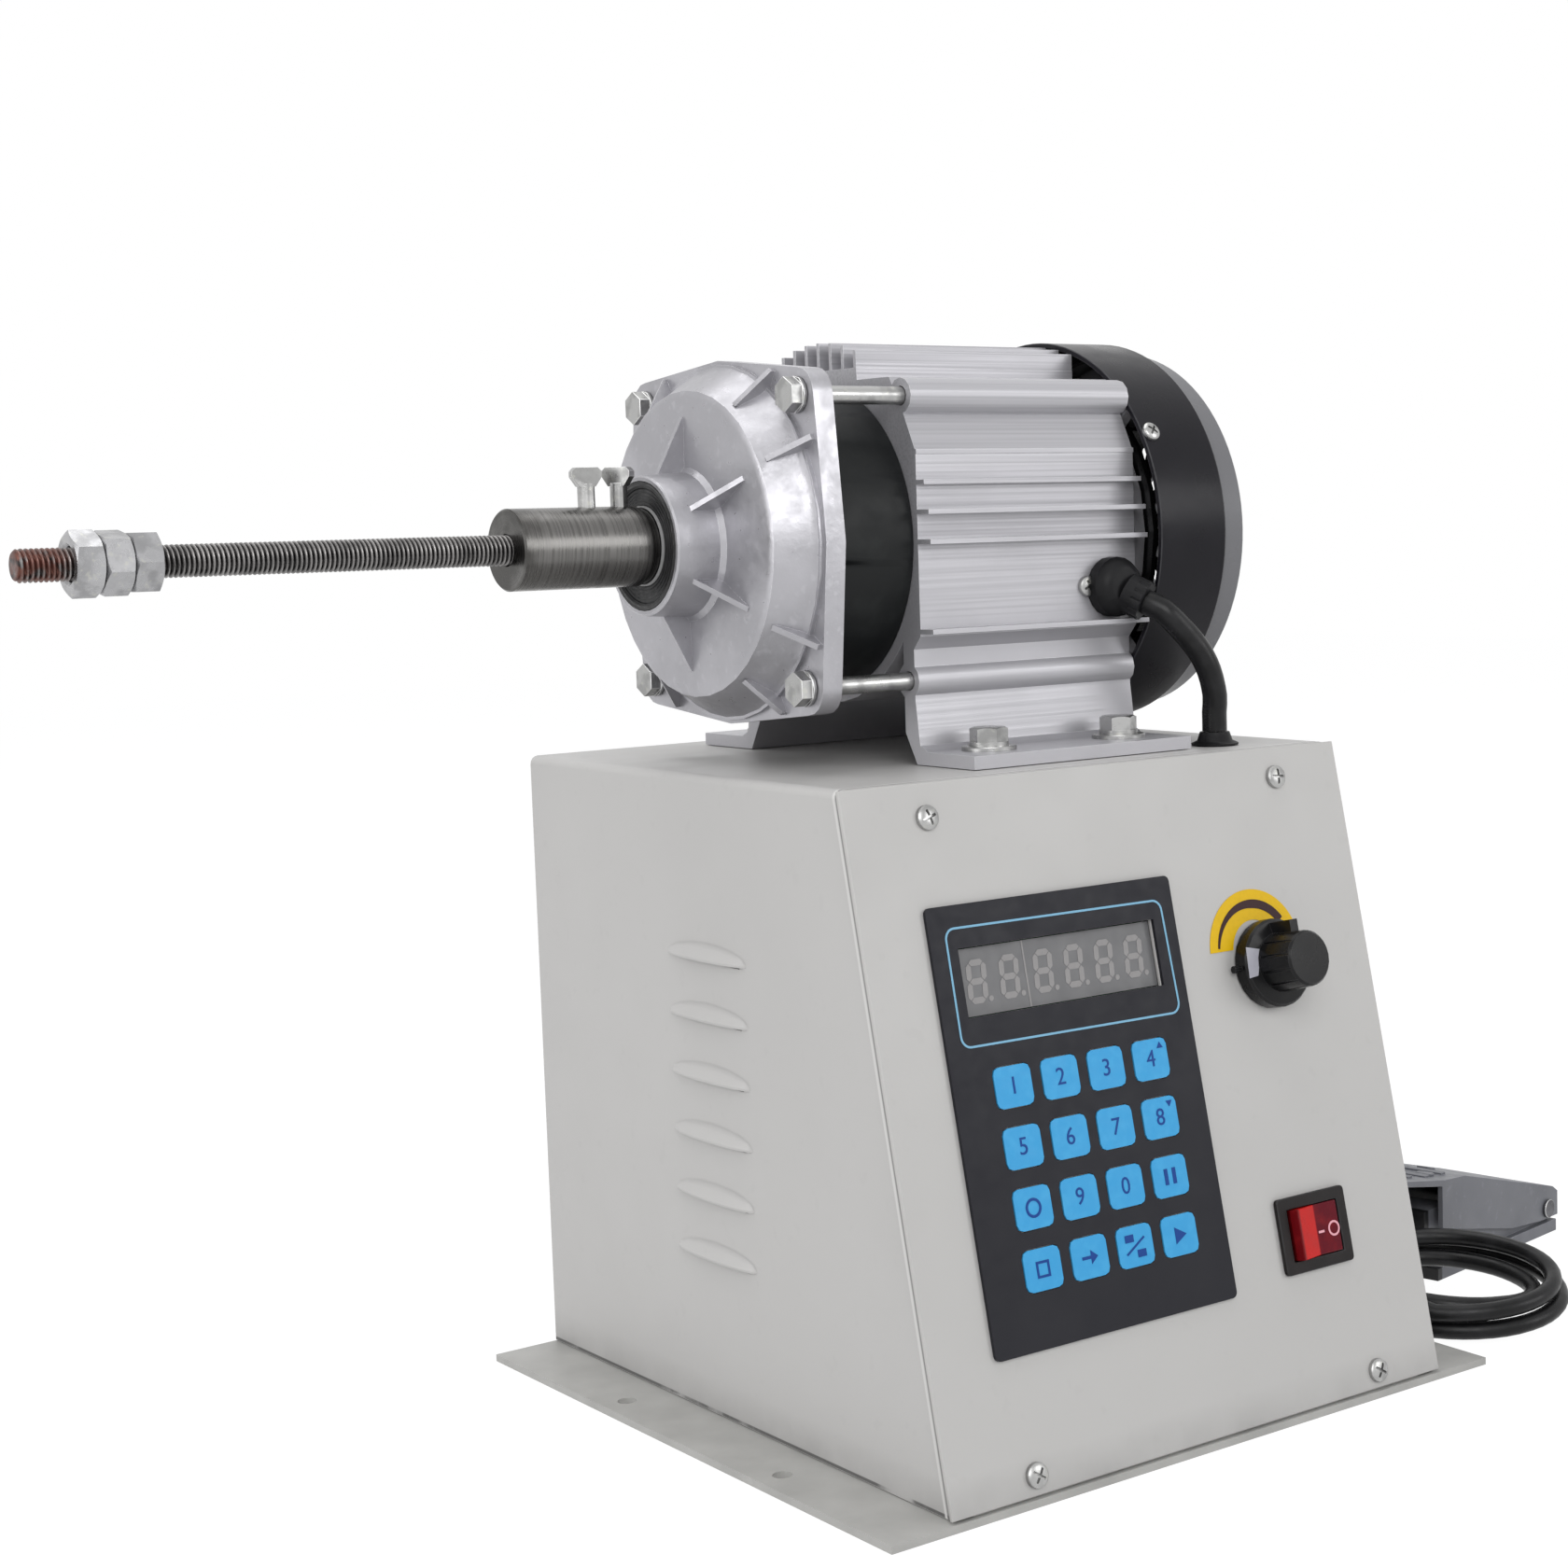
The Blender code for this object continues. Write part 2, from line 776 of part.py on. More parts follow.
def clipped_ball_mesh(size, sides, rings, planes):
    """An ellipsoid with its poles on Y, keeping what lies ahead of each (point, normal) plane."""
    shape = bmesh.new()
    bmesh.ops.create_uvsphere(shape, u_segments=sides, v_segments=rings, radius=0.5)
    bmesh.ops.rotate(shape, verts=shape.verts, matrix=turn(math.pi / 2, "X").to_3x3())
    bmesh.ops.scale(shape, vec=size, verts=shape.verts)
    for point, normal in planes:
        cut = bmesh.ops.bisect_plane(
            shape,
            geom=[*shape.verts, *shape.edges, *shape.faces],
            plane_co=point,
            plane_no=normal,
            clear_inner=True,
        )
        rim = [item for item in cut["geom_cut"] if isinstance(item, bmesh.types.BMEdge)]
        bmesh.ops.contextual_create(shape, geom=rim)
    return finish_mesh("ball", shape, smooth=True)


def louvre_meshes():
    """The hoods on both sides of the cabinet, and what is cut from inside and through the sheet."""
    hood = clipped_ball_mesh(
        (2 * LOUVRE_RISE, LOUVRE_LENGTH, 2 * LOUVRE_HOOD),
        8,
        8,
        (((-SHEET / 2, 0, 0), (1, 0, 0)), ((0, 0, -SHEET / 2), (0, 0, 1))),
    )
    inner = clipped_ball_mesh(
        (
            2 * (LOUVRE_RISE - LOUVRE_SKIN),
            LOUVRE_LENGTH - 4 * LOUVRE_SKIN,
            2 * (LOUVRE_HOOD - LOUVRE_SKIN),
        ),
        8,
        6,
        (((0, 0, -SHEET), (0, 0, 1)),),
    )
    hoods, inners = [], []
    for side in (-1, 1):
        for count in range(LOUVRE_COUNT):
            place = move(side * BOX_WIDTH / 2, LOUVRE_MIDDLE, LOUVRE_TOP - count * LOUVRE_PITCH)
            place = place @ (Matrix() if side > 0 else turn(math.pi, "Z"))
            hoods.append((hood, place))
            inners.append((inner, place))
    return merged(hoods), merged(inners)


def build_body_shell(parts, cutters):
    shape = bmesh.new()
    line = [shape.verts.new((x, -BOX_DEPTH / 2 - OVERRUN, z)) for x, z in shell_outline()]
    edges = [shape.edges.new(pair) for pair in zip(line, line[1:])]
    swept = bmesh.ops.extrude_edge_only(shape, edges=edges)["geom"]
    moved = [item for item in swept if isinstance(item, bmesh.types.BMVert)]
    bmesh.ops.translate(shape, vec=(0, BOX_DEPTH + OVERRUN, 0), verts=moved)
    for face in shape.faces:
        middle = face.calc_center_median()
        if face.normal.dot(Vector((middle.x, 0, middle.z - BOX_HEIGHT / 2))) < 0:
            face.normal_flip()
    mesh = bpy.data.meshes.new("body_shell")
    shape.to_mesh(mesh)
    shape.free()
    shell = add_object("body_shell", mesh, painted_steel(), parts)
    wall = shell.modifiers.new("wall", "SOLIDIFY")
    wall.thickness = SHEET
    wall.offset = -1
    inner = -PANEL_THICKNESS - CLEARANCE
    top_lip = span_mesh(
        (SHEET + LIP_SIDE_GAP, SLOPE_LENGTH - LIP_HEIGHT, inner - SHEET),
        (BOX_WIDTH - SHEET - LIP_SIDE_GAP, SLOPE_LENGTH - SHEET / 2, inner + OVERRUN),
    )
    combine(shell, "UNION", top_lip, panel_frame(), cutters)
    combine(shell, "DIFFERENCE", slope_cut(), panel_frame(), cutters)
    hoods, inners = louvre_meshes()
    combine(shell, "UNION", hoods, Matrix(), cutters)
    combine(shell, "DIFFERENCE", inners, Matrix(), cutters)
    cable_hole = rod_mesh(
        MOTOR_CABLE_RADIUS + CLEARANCE,
        BOX_HEIGHT - SHEET - OVERRUN,
        BOX_HEIGHT + OVERRUN,
        16,
    )
    combine(shell, "DIFFERENCE", cable_hole, move(BOOT_X, BOOT_Y, 0), cutters)
    return shell


def build_back_panel(parts, cutters):
    half = BOX_WIDTH / 2 - SHEET - CLEARANCE
    low = BASE_THICKNESS + CLEARANCE
    high = BOX_HEIGHT - SHEET - CLEARANCE
    back = BOX_DEPTH / 2
    corner = BEND_RADIUS
    edge = [
        (-half, low),
        (half, low),
        (half, high - corner),
        (half - corner, high),
        (corner - half, high),
        (-half, high - corner),
    ]
    mesh = outline_mesh([edge], SHEET)
    mesh.transform(move(0, back - SHEET / 2, 0) @ turn(math.pi / 2, "X"))
    panel = add_object("back_panel", mesh, painted_steel(), parts)
    slot = span_mesh(
        (-VENT_LENGTH / 2, back - SHEET - OVERRUN, -VENT_HEIGHT / 2),
        (VENT_LENGTH / 2, back + OVERRUN, VENT_HEIGHT / 2),
    )
    slots = [(slot, move(0, 0, VENT_BOTTOM + count * VENT_PITCH)) for count in range(VENT_COUNT)]
    combine(panel, "DIFFERENCE", merged(slots), Matrix(), cutters)
    inlet = span_mesh(
        (-INLET_WIDTH / 2, back - SHEET - INLET_DEPTH, -INLET_HEIGHT / 2),
        (INLET_WIDTH / 2, back + INLET_PROUD, INLET_HEIGHT / 2),
    )
    combine(panel, "UNION", inlet, move(INLET_X, 0, INLET_Z), cutters)
    socket = span_mesh(
        (-INLET_WIDTH / 2 + INLET_RIM, back - INLET_DEPTH + INLET_RIM, -INLET_HEIGHT / 2 + INLET_RIM),
        (INLET_WIDTH / 2 - INLET_RIM, back + INLET_PROUD + OVERRUN, INLET_HEIGHT / 2 - INLET_RIM),
    )
    combine(panel, "DIFFERENCE", socket, move(INLET_X, 0, INLET_Z), cutters)
    hole = rod_mesh(CORD_RADIUS + CLEARANCE, -SHEET - OVERRUN, OVERRUN, 16)
    at = move(CORD_GLAND_X, back, CORD_GLAND_Z) @ turn(-math.pi / 2, "X")
    combine(panel, "DIFFERENCE", hole, at, cutters)
    return panel


def build_front_panel(parts):
    width = BOX_WIDTH + 2 * PANEL_OVERLAP
    height = SLOPE_LENGTH - PANEL_LIFT
    edge = [
        (-PANEL_OVERLAP, PANEL_LIFT),
        (width - PANEL_OVERLAP, PANEL_LIFT),
        (width - PANEL_OVERLAP, PANEL_LIFT + height),
        (-PANEL_OVERLAP, PANEL_LIFT + height),
    ]
    window = [
        (WINDOW_LEFT + x * WINDOW_WIDTH, WINDOW_BOTTOM + y * WINDOW_HEIGHT)
        for x, y in ((0, 0), (1, 0), (1, 1), (0, 1))
    ]
    body_width = BEZEL_WIDTH - 2 * BEZEL_RIM + 2 * CLEARANCE
    body_height = BEZEL_HEIGHT - 2 * BEZEL_RIM + 2 * CLEARANCE
    switch = [
        (ROCKER_U + x * body_width / 2, ROCKER_V + y * body_height / 2)
        for x, y in ((-1, -1), (1, -1), (1, 1), (-1, 1))
    ]
    bush = circle(BUSH_RADIUS + CLEARANCE, 20, (KNOB_U, KNOB_V))
    mesh = outline_mesh([edge, window, switch, bush], PANEL_THICKNESS)
    return add_object("front_panel", mesh, panel_paint(), parts, on_panel(0, 0, -PANEL_THICKNESS / 2))


# Keypad and display


def key_middle(row, column):
    return KEY_LEFT + column * KEY_PITCH_ACROSS, KEY_TOP - row * KEY_PITCH_DOWN


def build_keypad_overlay(parts):
    middle_u = OVERLAY_RIGHT - OVERLAY_WIDTH / 2
    middle_v = OVERLAY_BOTTOM + OVERLAY_HEIGHT / 2
    edge = rounded_rectangle(OVERLAY_WIDTH, OVERLAY_HEIGHT, OVERLAY_CORNER)
    holes = [
        [
            (WINDOW_LEFT - middle_u + x * WINDOW_WIDTH, WINDOW_BOTTOM - middle_v + y * WINDOW_HEIGHT)
            for x, y in ((0, 0), (1, 0), (1, 1), (0, 1))
        ]
    ]
    for row in range(KEY_ROWS):
        for column in range(KEY_COLUMNS):
            u, v = key_middle(row, column)
            hole = rounded_rectangle(
                KEY_WIDTH + 2 * CLEARANCE,
                KEY_HEIGHT + 2 * CLEARANCE,
                KEY_CORNER + CLEARANCE,
                KEY_CORNER_STEPS,
            )
            holes.append([(u - middle_u + x, v - middle_v + y) for x, y in hole])
    mesh = outline_mesh([edge, *holes], OVERLAY_THICKNESS)
    at = on_panel(middle_u, middle_v, CLEARANCE + OVERLAY_THICKNESS / 2)
    return add_object("keypad_overlay", mesh, overlay_black(), parts, at)


def build_keys(parts):
    """Sixteen sprung keys, each hanging its travel and a clearance above the panel."""
    lift = 2 * CLEARANCE + KEY_TRAVEL + KEY_THICKNESS / 2
    outline = rounded_rectangle(KEY_WIDTH, KEY_HEIGHT, KEY_CORNER, KEY_CORNER_STEPS)
    for row in range(KEY_ROWS):
        for column in range(KEY_COLUMNS):
            u, v = key_middle(row, column)
            name = f"key_{row * KEY_COLUMNS + column + 1:02d}"
            mesh = outline_mesh([outline], KEY_THICKNESS)
            add_object(name, mesh, key_blue(), parts, on_panel(u, v, lift))


def build_control_board(parts, cutters):
    """The circuit board behind the keypad, with its standoffs and the display block."""
    width = OVERLAY_WIDTH - 2 * BOARD_MARGIN
    height = OVERLAY_HEIGHT - 2 * BOARD_MARGIN
    middle_u = OVERLAY_RIGHT - OVERLAY_WIDTH / 2
    middle_v = OVERLAY_BOTTOM + OVERLAY_HEIGHT / 2
    mesh = box_mesh((width, height, BOARD_THICKNESS))
    board = add_object("control_board", mesh, board_green(), parts, on_panel(middle_u, middle_v, BOARD_W))
    top = BOARD_DEPTH - PANEL_THICKNESS - CLEARANCE
    standoff = rod_mesh(STANDOFF_RADIUS, 0, top, 8)
    spots = [
        (standoff, move(x * (width / 2 - STANDOFF_INSET), y * (height / 2 - STANDOFF_INSET), 0))
        for x, y in ((-1, -1), (1, -1), (1, 1), (-1, 1))
    ]
    display = span_mesh(
        (CLEARANCE - WINDOW_WIDTH / 2, CLEARANCE - WINDOW_HEIGHT / 2, 0),
        (WINDOW_WIDTH / 2 - CLEARANCE, WINDOW_HEIGHT / 2 - CLEARANCE, BOARD_DEPTH - DISPLAY_RECESS),
    )
    window_u = WINDOW_LEFT + WINDOW_WIDTH / 2 - middle_u
    window_v = WINDOW_BOTTOM + WINDOW_HEIGHT / 2 - middle_v
    combine(board, "UNION", merged(spots), Matrix(), cutters)
    combine(board, "UNION", display, move(window_u, window_v, 0), cutters)
    return board


def build_power_board(parts, cutters):
    """The motor's supply on the cabinet floor: board, transformer, heat sink and capacitors."""
    top = BASE_THICKNESS + CLEARANCE + SUPPLY_STANDOFF
    mesh = box_mesh((SUPPLY_WIDTH, SUPPLY_DEPTH, BOARD_THICKNESS))
    board = add_object("power_board", mesh, board_green(), parts, move(0, 0, top))
    foot = rod_mesh(STANDOFF_RADIUS, -SUPPLY_STANDOFF, 0, 8)
    feet = [
        (foot, move(x * (SUPPLY_WIDTH / 2 - STANDOFF_INSET), y * (SUPPLY_DEPTH / 2 - STANDOFF_INSET), 0))
        for x, y in ((-1, -1), (1, -1), (1, 1), (-1, 1))
    ]
    combine(board, "UNION", merged(feet), Matrix(), cutters)
    width, depth, height = TRANSFORMER_SIZE
    transformer = span_mesh((-width / 2, -depth / 2, 0), (width / 2, depth / 2, height))
    sink_width, sink_depth, sink_height = HEATSINK_SIZE
    web = span_mesh((-sink_width / 2, -FIN_SHEET / 2, 0), (sink_width / 2, FIN_SHEET / 2, sink_height))
    capacitor = rod_mesh(CAPACITOR_RADIUS, 0, CAPACITOR_HEIGHT, 16)
    quarter_x, quarter_y = SUPPLY_WIDTH / 4, SUPPLY_DEPTH / 4
    group = [
        (transformer, move(-quarter_x, quarter_y, 0)),
        (web, move(quarter_x, quarter_y, 0)),
        (capacitor, move(quarter_x / 2, -quarter_y, 0)),
        (capacitor, move(quarter_x * 3 / 2, -quarter_y, 0)),
    ]
    combine(board, "UNION", merged(group), Matrix(), cutters)
    fin = span_mesh((-FIN_SHEET / 2, -sink_depth / 2, 0), (FIN_SHEET / 2, sink_depth / 2, sink_height))
    spread = sink_width - FIN_SHEET
    fins = [
        (fin, move(quarter_x + (count / (HEATSINK_FINS - 1) - 0.5) * spread, quarter_y, 0))
        for count in range(HEATSINK_FINS)
    ]
    combine(board, "UNION", merged(fins), Matrix(), cutters)
    return board


# Speed control and power rocker


def build_speed_pot(parts):
    """The speed control behind the panel, its bush reaching through the panel."""
    low = -PANEL_THICKNESS - CLEARANCE - POT_DEPTH
    profile = [
        (0, -PANEL_THICKNESS),
        (STEM_RADIUS + CLEARANCE, -PANEL_THICKNESS),
        (STEM_RADIUS + CLEARANCE, BUSH_HEIGHT),
        (BUSH_RADIUS, BUSH_HEIGHT),
        (BUSH_RADIUS, -PANEL_THICKNESS - CLEARANCE),
        (POT_RADIUS, -PANEL_THICKNESS - CLEARANCE),
        (POT_RADIUS, low),
        (0, low),
    ]
    return turned_object("speed_pot", profile, 20, bright_steel(), parts, on_panel(KNOB_U, KNOB_V), False)


def build_speed_knob(parts, cutters):
    """The skirted knob with its pointer, and the stem that turns in the bush."""
    base = KNOB_GAP
    neck = CAP_RADIUS + CAP_CHAMFER
    profile = [
        (0, KNOB_HEIGHT),
        (CAP_RADIUS - CAP_CHAMFER, KNOB_HEIGHT),
        (CAP_RADIUS, KNOB_HEIGHT - CAP_CHAMFER),
        (neck, SKIRT_HEIGHT + CAP_CHAMFER),
        (SKIRT_RADIUS - CAP_CHAMFER, SKIRT_HEIGHT),
        (SKIRT_RADIUS, SKIRT_HEIGHT - CAP_CHAMFER),
        (SKIRT_RADIUS, base),
        (BUSH_RADIUS + CLEARANCE, base),
        (BUSH_RADIUS + CLEARANCE, BUSH_HEIGHT + CLEARANCE),
        (STEM_RADIUS, BUSH_HEIGHT + CLEARANCE),
        (STEM_RADIUS, -PANEL_THICKNESS + CLEARANCE),
        (0, -PANEL_THICKNESS + CLEARANCE),
    ]
    at = on_panel(KNOB_U, KNOB_V)
    knob = turned_object("speed_knob", profile, 24, black_plastic(), parts, at, False)
    groove = rod_mesh(KNOB_RIB_DEPTH, SKIRT_HEIGHT + 2 * CAP_CHAMFER, KNOB_HEIGHT + OVERRUN, 6)
    grooves = []
    for count in range(KNOB_RIB_COUNT):
        around = turn(2 * math.pi * (count + 0.5) / KNOB_RIB_COUNT, "Z")
        grooves.append((groove, around @ move(CAP_RADIUS + KNOB_RIB_DEPTH / 2, 0, 0)))
    combine(knob, "DIFFERENCE", merged(grooves), Matrix(), cutters)
    pointer = span_mesh(
        (-POINTER_WIDTH / 2, CAP_RADIUS / 2, SKIRT_HEIGHT - CAP_CHAMFER),
        (POINTER_WIDTH / 2, CAP_RADIUS + POINTER_LENGTH - CAP_CHAMFER, KNOB_HEIGHT - POINTER_LENGTH),
    )
    combine(knob, "UNION", pointer, Matrix(), cutters)
    middle = base + STOP_PIN_RADIUS + CAP_CHAMFER
    pin = rod_mesh(STOP_PIN_RADIUS, SKIRT_RADIUS - OVERRUN, SKIRT_RADIUS + STOP_PIN_LENGTH, 10)
    combine(knob, "UNION", pin, move(0, 0, middle) @ turn(-math.pi / 2, "Y"), cutters)
    return knob


def build_rocker_bezel(parts, cutters):
    outer = rounded_rectangle(BEZEL_WIDTH, BEZEL_HEIGHT, BEZEL_RIM / 2)
    rim_low = CLEARANCE
    mesh = outline_mesh([outer], BEZEL_PROUD - rim_low)
    at = on_panel(ROCKER_U, ROCKER_V, (BEZEL_PROUD + rim_low) / 2)
    bezel = add_object("rocker_bezel", mesh, black_plastic(), parts, at)
    half_u = BEZEL_WIDTH / 2 - BEZEL_RIM
    half_v = BEZEL_HEIGHT / 2 - BEZEL_RIM
    to_panel = move(0, 0, -(BEZEL_PROUD + rim_low) / 2)
    body = span_mesh((-half_u, -half_v, -SWITCH_DEPTH), (half_u, half_v, BEZEL_PROUD / 2))
    combine(bezel, "UNION", body, to_panel, cutters)
    pocket = span_mesh(
        (-half_u + SWITCH_WALL, -half_v + SWITCH_WALL, -SWITCH_DEPTH + 2 * SWITCH_WALL),
        (half_u - SWITCH_WALL, half_v - SWITCH_WALL, BEZEL_PROUD + OVERRUN),
    )
    combine(bezel, "DIFFERENCE", pocket, to_panel, cutters)
    return bezel


def build_rocker(parts):
    """The paddle, tipped so that its right half is pressed in, on a pivot that runs up the slope."""
    half = BEZEL_WIDTH / 2 - BEZEL_RIM - SWITCH_WALL - 3 * CLEARANCE
    half = half / math.cos(ROCKER_TILT) - ROCKER_RISE * math.tan(ROCKER_TILT)
    height = BEZEL_HEIGHT - 2 * (BEZEL_RIM + SWITCH_WALL + CLEARANCE)
    top = ROCKER_RISE
    points = [(half, top), (0, top - ROCKER_DISH), (-half, top)]
    for step in range(9):
        angle = math.pi * (1 + step / 8)
        points.append((half * math.cos(angle), ROCKER_BELLY * math.sin(angle)))
    mesh = outline_mesh([points], height)
    upright = turn(math.pi / 2, "X") @ Matrix()
    at = on_panel(ROCKER_U, ROCKER_V, ROCKER_PIVOT) @ turn(ROCKER_TILT, "Y") @ upright
    return add_object("rocker", mesh, rocker_red(), parts, at)


# Motor


def housing_outline():
    """The housing's cross section without its fins: X to the front, Y up, from the shaft's axis."""
    sole = -AXIS_HEIGHT + CLEARANCE
    foot_top = sole + FOOT_THICKNESS
    inner = WAIST_HALF - LEG_WEB
    arch = BORE_RADIUS + LEG_WEB
    arch_start = math.asin(-inner / arch)
    half = [
        (SHOULDER_HALF, HOUSING_TOP),
        (SHOULDER_HALF, SHOULDER_TOP),
        (TIE_OFFSET - EAR_RADIUS, SHOULDER_TOP),
        (HOUSING_HALF_WIDTH - EAR_RADIUS, TIE_OFFSET - EAR_RADIUS),
        (HOUSING_HALF_WIDTH, SIDE_FIN_HEIGHTS[0]),
        (HOUSING_HALF_WIDTH, SIDE_FIN_HEIGHTS[-1] - FIN_THICKNESS),
        (WAIST_HALF, SIDE_FIN_HEIGHTS[-1] - LEG_WEB),
        (WAIST_HALF, -BORE_RADIUS - LEG_WEB / 2),
        (WAIST_HALF + LEG_WEB / 3, foot_top + LEG_WEB / 3),
        (WAIST_HALF + LEG_WEB, foot_top),
        (FOOT_HALF, foot_top),
        (FOOT_HALF, sole),
        (WAIST_HALF, sole),
        (inner, foot_top + LEG_WEB),
        (inner, -math.sqrt(arch**2 - inner**2)),
    ]
    steps = 6
    for step in range(1, steps):
        angle = arch_start * (1 - step / steps)
        half.append((-arch * math.sin(angle), -arch * math.cos(angle)))
    return half + [(-x, y) for x, y in reversed(half)]


def build_motor_housing(parts, cutters):
    at = on_axis(HOUSING_FRONT_X + HOUSING_LENGTH / 2)
    mesh = outline_mesh([housing_outline()], HOUSING_LENGTH)
    housing = add_object("motor_housing", mesh, extruded_aluminium(), parts, at)
    half_length = HOUSING_LENGTH / 2
    for height in SIDE_FIN_HEIGHTS:
        reach = SIDE_FIN_REACH - max(0, height) ** 2 / (2 * SIDE_FIN_REACH)
        fin = box_mesh((2 * reach, FIN_THICKNESS, HOUSING_LENGTH))
        combine(housing, "UNION", fin, move(0, height, 0), cutters)
    top_fins = []
    for count in range(TOP_FIN_COUNT):
        across = (count - (TOP_FIN_COUNT - 1) / 2) * TOP_FIN_PITCH
        tip = math.sqrt(TOP_FIN_RADIUS**2 - across**2)
        fin = span_mesh(
            (-FIN_THICKNESS / 2, HOUSING_TOP - OVERRUN, -half_length),
            (FIN_THICKNESS / 2, tip, half_length),
        )
        top_fins.append((fin, move(across, 0, 0)))
    combine(housing, "UNION", merged(top_fins), Matrix(), cutters)
    ear = rod_mesh(EAR_RADIUS, -half_length, half_length, 12)
    ears = [(ear, move(x * TIE_OFFSET, y * TIE_OFFSET, 0)) for x in (-1, 1) for y in (-1, 1)]
    combine(housing, "UNION", merged(ears), Matrix(), cutters)
    bore = rod_mesh(BORE_RADIUS, -half_length - OVERRUN, half_length + OVERRUN, 48)
    combine(housing, "DIFFERENCE", bore, Matrix(), cutters)
    hole = rod_mesh(TIE_RADIUS + CLEARANCE, half_length - TIE_HOLE_DEPTH, half_length + OVERRUN, 12)
    holes = [(hole, move(x * TIE_OFFSET, y * TIE_OFFSET, 0)) for x in (-1, 1) for y in (-1, 1)]
    combine(housing, "DIFFERENCE", merged(holes), Matrix(), cutters)
    foot_hole = rod_mesh(FOOT_HOLE_RADIUS, -OVERRUN, FOOT_THICKNESS + OVERRUN, 12)
    foot_holes = []
    for side in (-1, 1):
        for end in (-1, 1):
            x = side * (FOOT_HALF - FOOT_HOLE_INSET)
            place = move(x, CLEARANCE - AXIS_HEIGHT, end * FOOT_HOLE_PITCH / 2)
            foot_holes.append((foot_hole, place @ turn(-math.pi / 2, "X")))
    combine(housing, "DIFFERENCE", merged(foot_holes), Matrix(), cutters)
    return housing


def build_stator(parts):
    """The laminated core with its end windings, seated in the housing's bore."""
    outer = BORE_RADIUS - CLEARANCE
    half = STATOR_LENGTH / 2
    winding = outer - WINDING_STEP
    end = half + WINDING_LENGTH
    inner = STATOR_INNER + WINDING_STEP / 2
    profile = [
        (inner, end),
        (winding, end),
        (winding, half),
        (outer, half),
        (outer, -half),
        (winding, -half),
        (winding, -end),
        (inner, -end),
        (inner, -half),
        (STATOR_INNER, -half),
        (STATOR_INNER, half),
        (inner, half),
    ]
    at = on_axis(HOUSING_FRONT_X + HOUSING_LENGTH / 2 + STATOR_SHIFT)
    return turned_object("stator", profile, 16, copper_winding(), parts, at)


def gear_outline(teeth, sign):
    """Straight-flanked teeth; sign is 1 for a gear and -1 for the inside of a ring."""
    pitch = teeth * GEAR_MODULE / 2
    backlash = CLEARANCE / pitch
    tip = pitch + sign * TOOTH_TIP_SHARE * GEAR_MODULE
    root = pitch - sign * TOOTH_ROOT_SHARE * GEAR_MODULE
    half_pitch = math.pi / teeth
    half_tooth = half_pitch / 2 - backlash
    slope = math.tan(PRESSURE_ANGLE) * GEAR_MODULE / pitch
    tip_half = half_tooth - TOOTH_TIP_SHARE * slope
    root_half = half_tooth + TOOTH_ROOT_SHARE * slope
    points = []
    for tooth in range(teeth):
        middle = 2 * half_pitch * tooth
        for radius, angle in (
            (root, -root_half),
            (tip, -tip_half),
            (tip, tip_half),
            (root, root_half),
        ):
            points.append((radius * math.cos(middle + angle), radius * math.sin(middle + angle)))
    return points


def build_rotor(parts, cutters):
    """The rotor core on its shaft, with the sun pinion cut on the shaft's front end."""
    middle = HOUSING_FRONT_X + HOUSING_LENGTH / 2 + STATOR_SHIFT
    core = STATOR_INNER - ROTOR_GAP
    half = STATOR_LENGTH / 2
    front = middle - (RING_FRONT_X + CARRIER_THICKNESS)
    rear = fan_middle_x() + FAN_WIDTH / 2 - middle
    sun_root = SUN_TEETH * GEAR_MODULE / 2 - 1.5 * GEAR_MODULE
    shoulder = middle - (HOUSING_FRONT_X - RING_WALL - CLEARANCE)
    profile = [
        (0, front),
        (sun_root, front),
        (sun_root, shoulder),
        (SHAFT_RADIUS, shoulder),
        (SHAFT_RADIUS, half),
        (core, half),
        (core, -half),
        (SHAFT_RADIUS, -half),
        (SHAFT_RADIUS, -rear),
        (0, -rear),
    ]
    rotor = turned_object("rotor", profile, 24, turned_steel(), parts, on_axis(middle), False)
    width = PLANET_WIDTH + CLEARANCE
    pinion = outline_mesh([gear_outline(SUN_TEETH, 1)], width)
    combine(rotor, "UNION", pinion, move(0, 0, middle - planet_middle_x()), cutters)
    return rotor


def planet_middle_x():
    return HOUSING_FRONT_X - RING_WALL - 2 * CLEARANCE - PLANET_WIDTH / 2


def fan_middle_x():
    return HOUSING_REAR_X + SHIELD_THICKNESS + 3 * CLEARANCE + FAN_WIDTH / 2


def build_ring_gear(parts, cutters):
    """The black gearbox ring: internal teeth, and a back wall that the motor's shaft passes."""
    at = on_axis((RING_FRONT_X + HOUSING_FRONT_X) / 2)
    length = RING_LENGTH - 2 * CLEARANCE
    mesh = rod_mesh(RING_RADIUS, -length / 2, length / 2, 48)
    ring = add_object("ring_gear", mesh, gear_black(), parts, at)
    teeth = outline_mesh([gear_outline(RING_TEETH, -1)], length)
    half_tooth = math.pi / RING_TEETH
    place = move(0, 0, RING_WALL) @ turn(half_tooth, "Z")
    combine(ring, "DIFFERENCE", teeth, place, cutters)
    bore = rod_mesh(SHAFT_RADIUS + CLEARANCE, -RING_LENGTH, RING_LENGTH, 24)
    combine(ring, "DIFFERENCE", bore, Matrix(), cutters)
    return ring


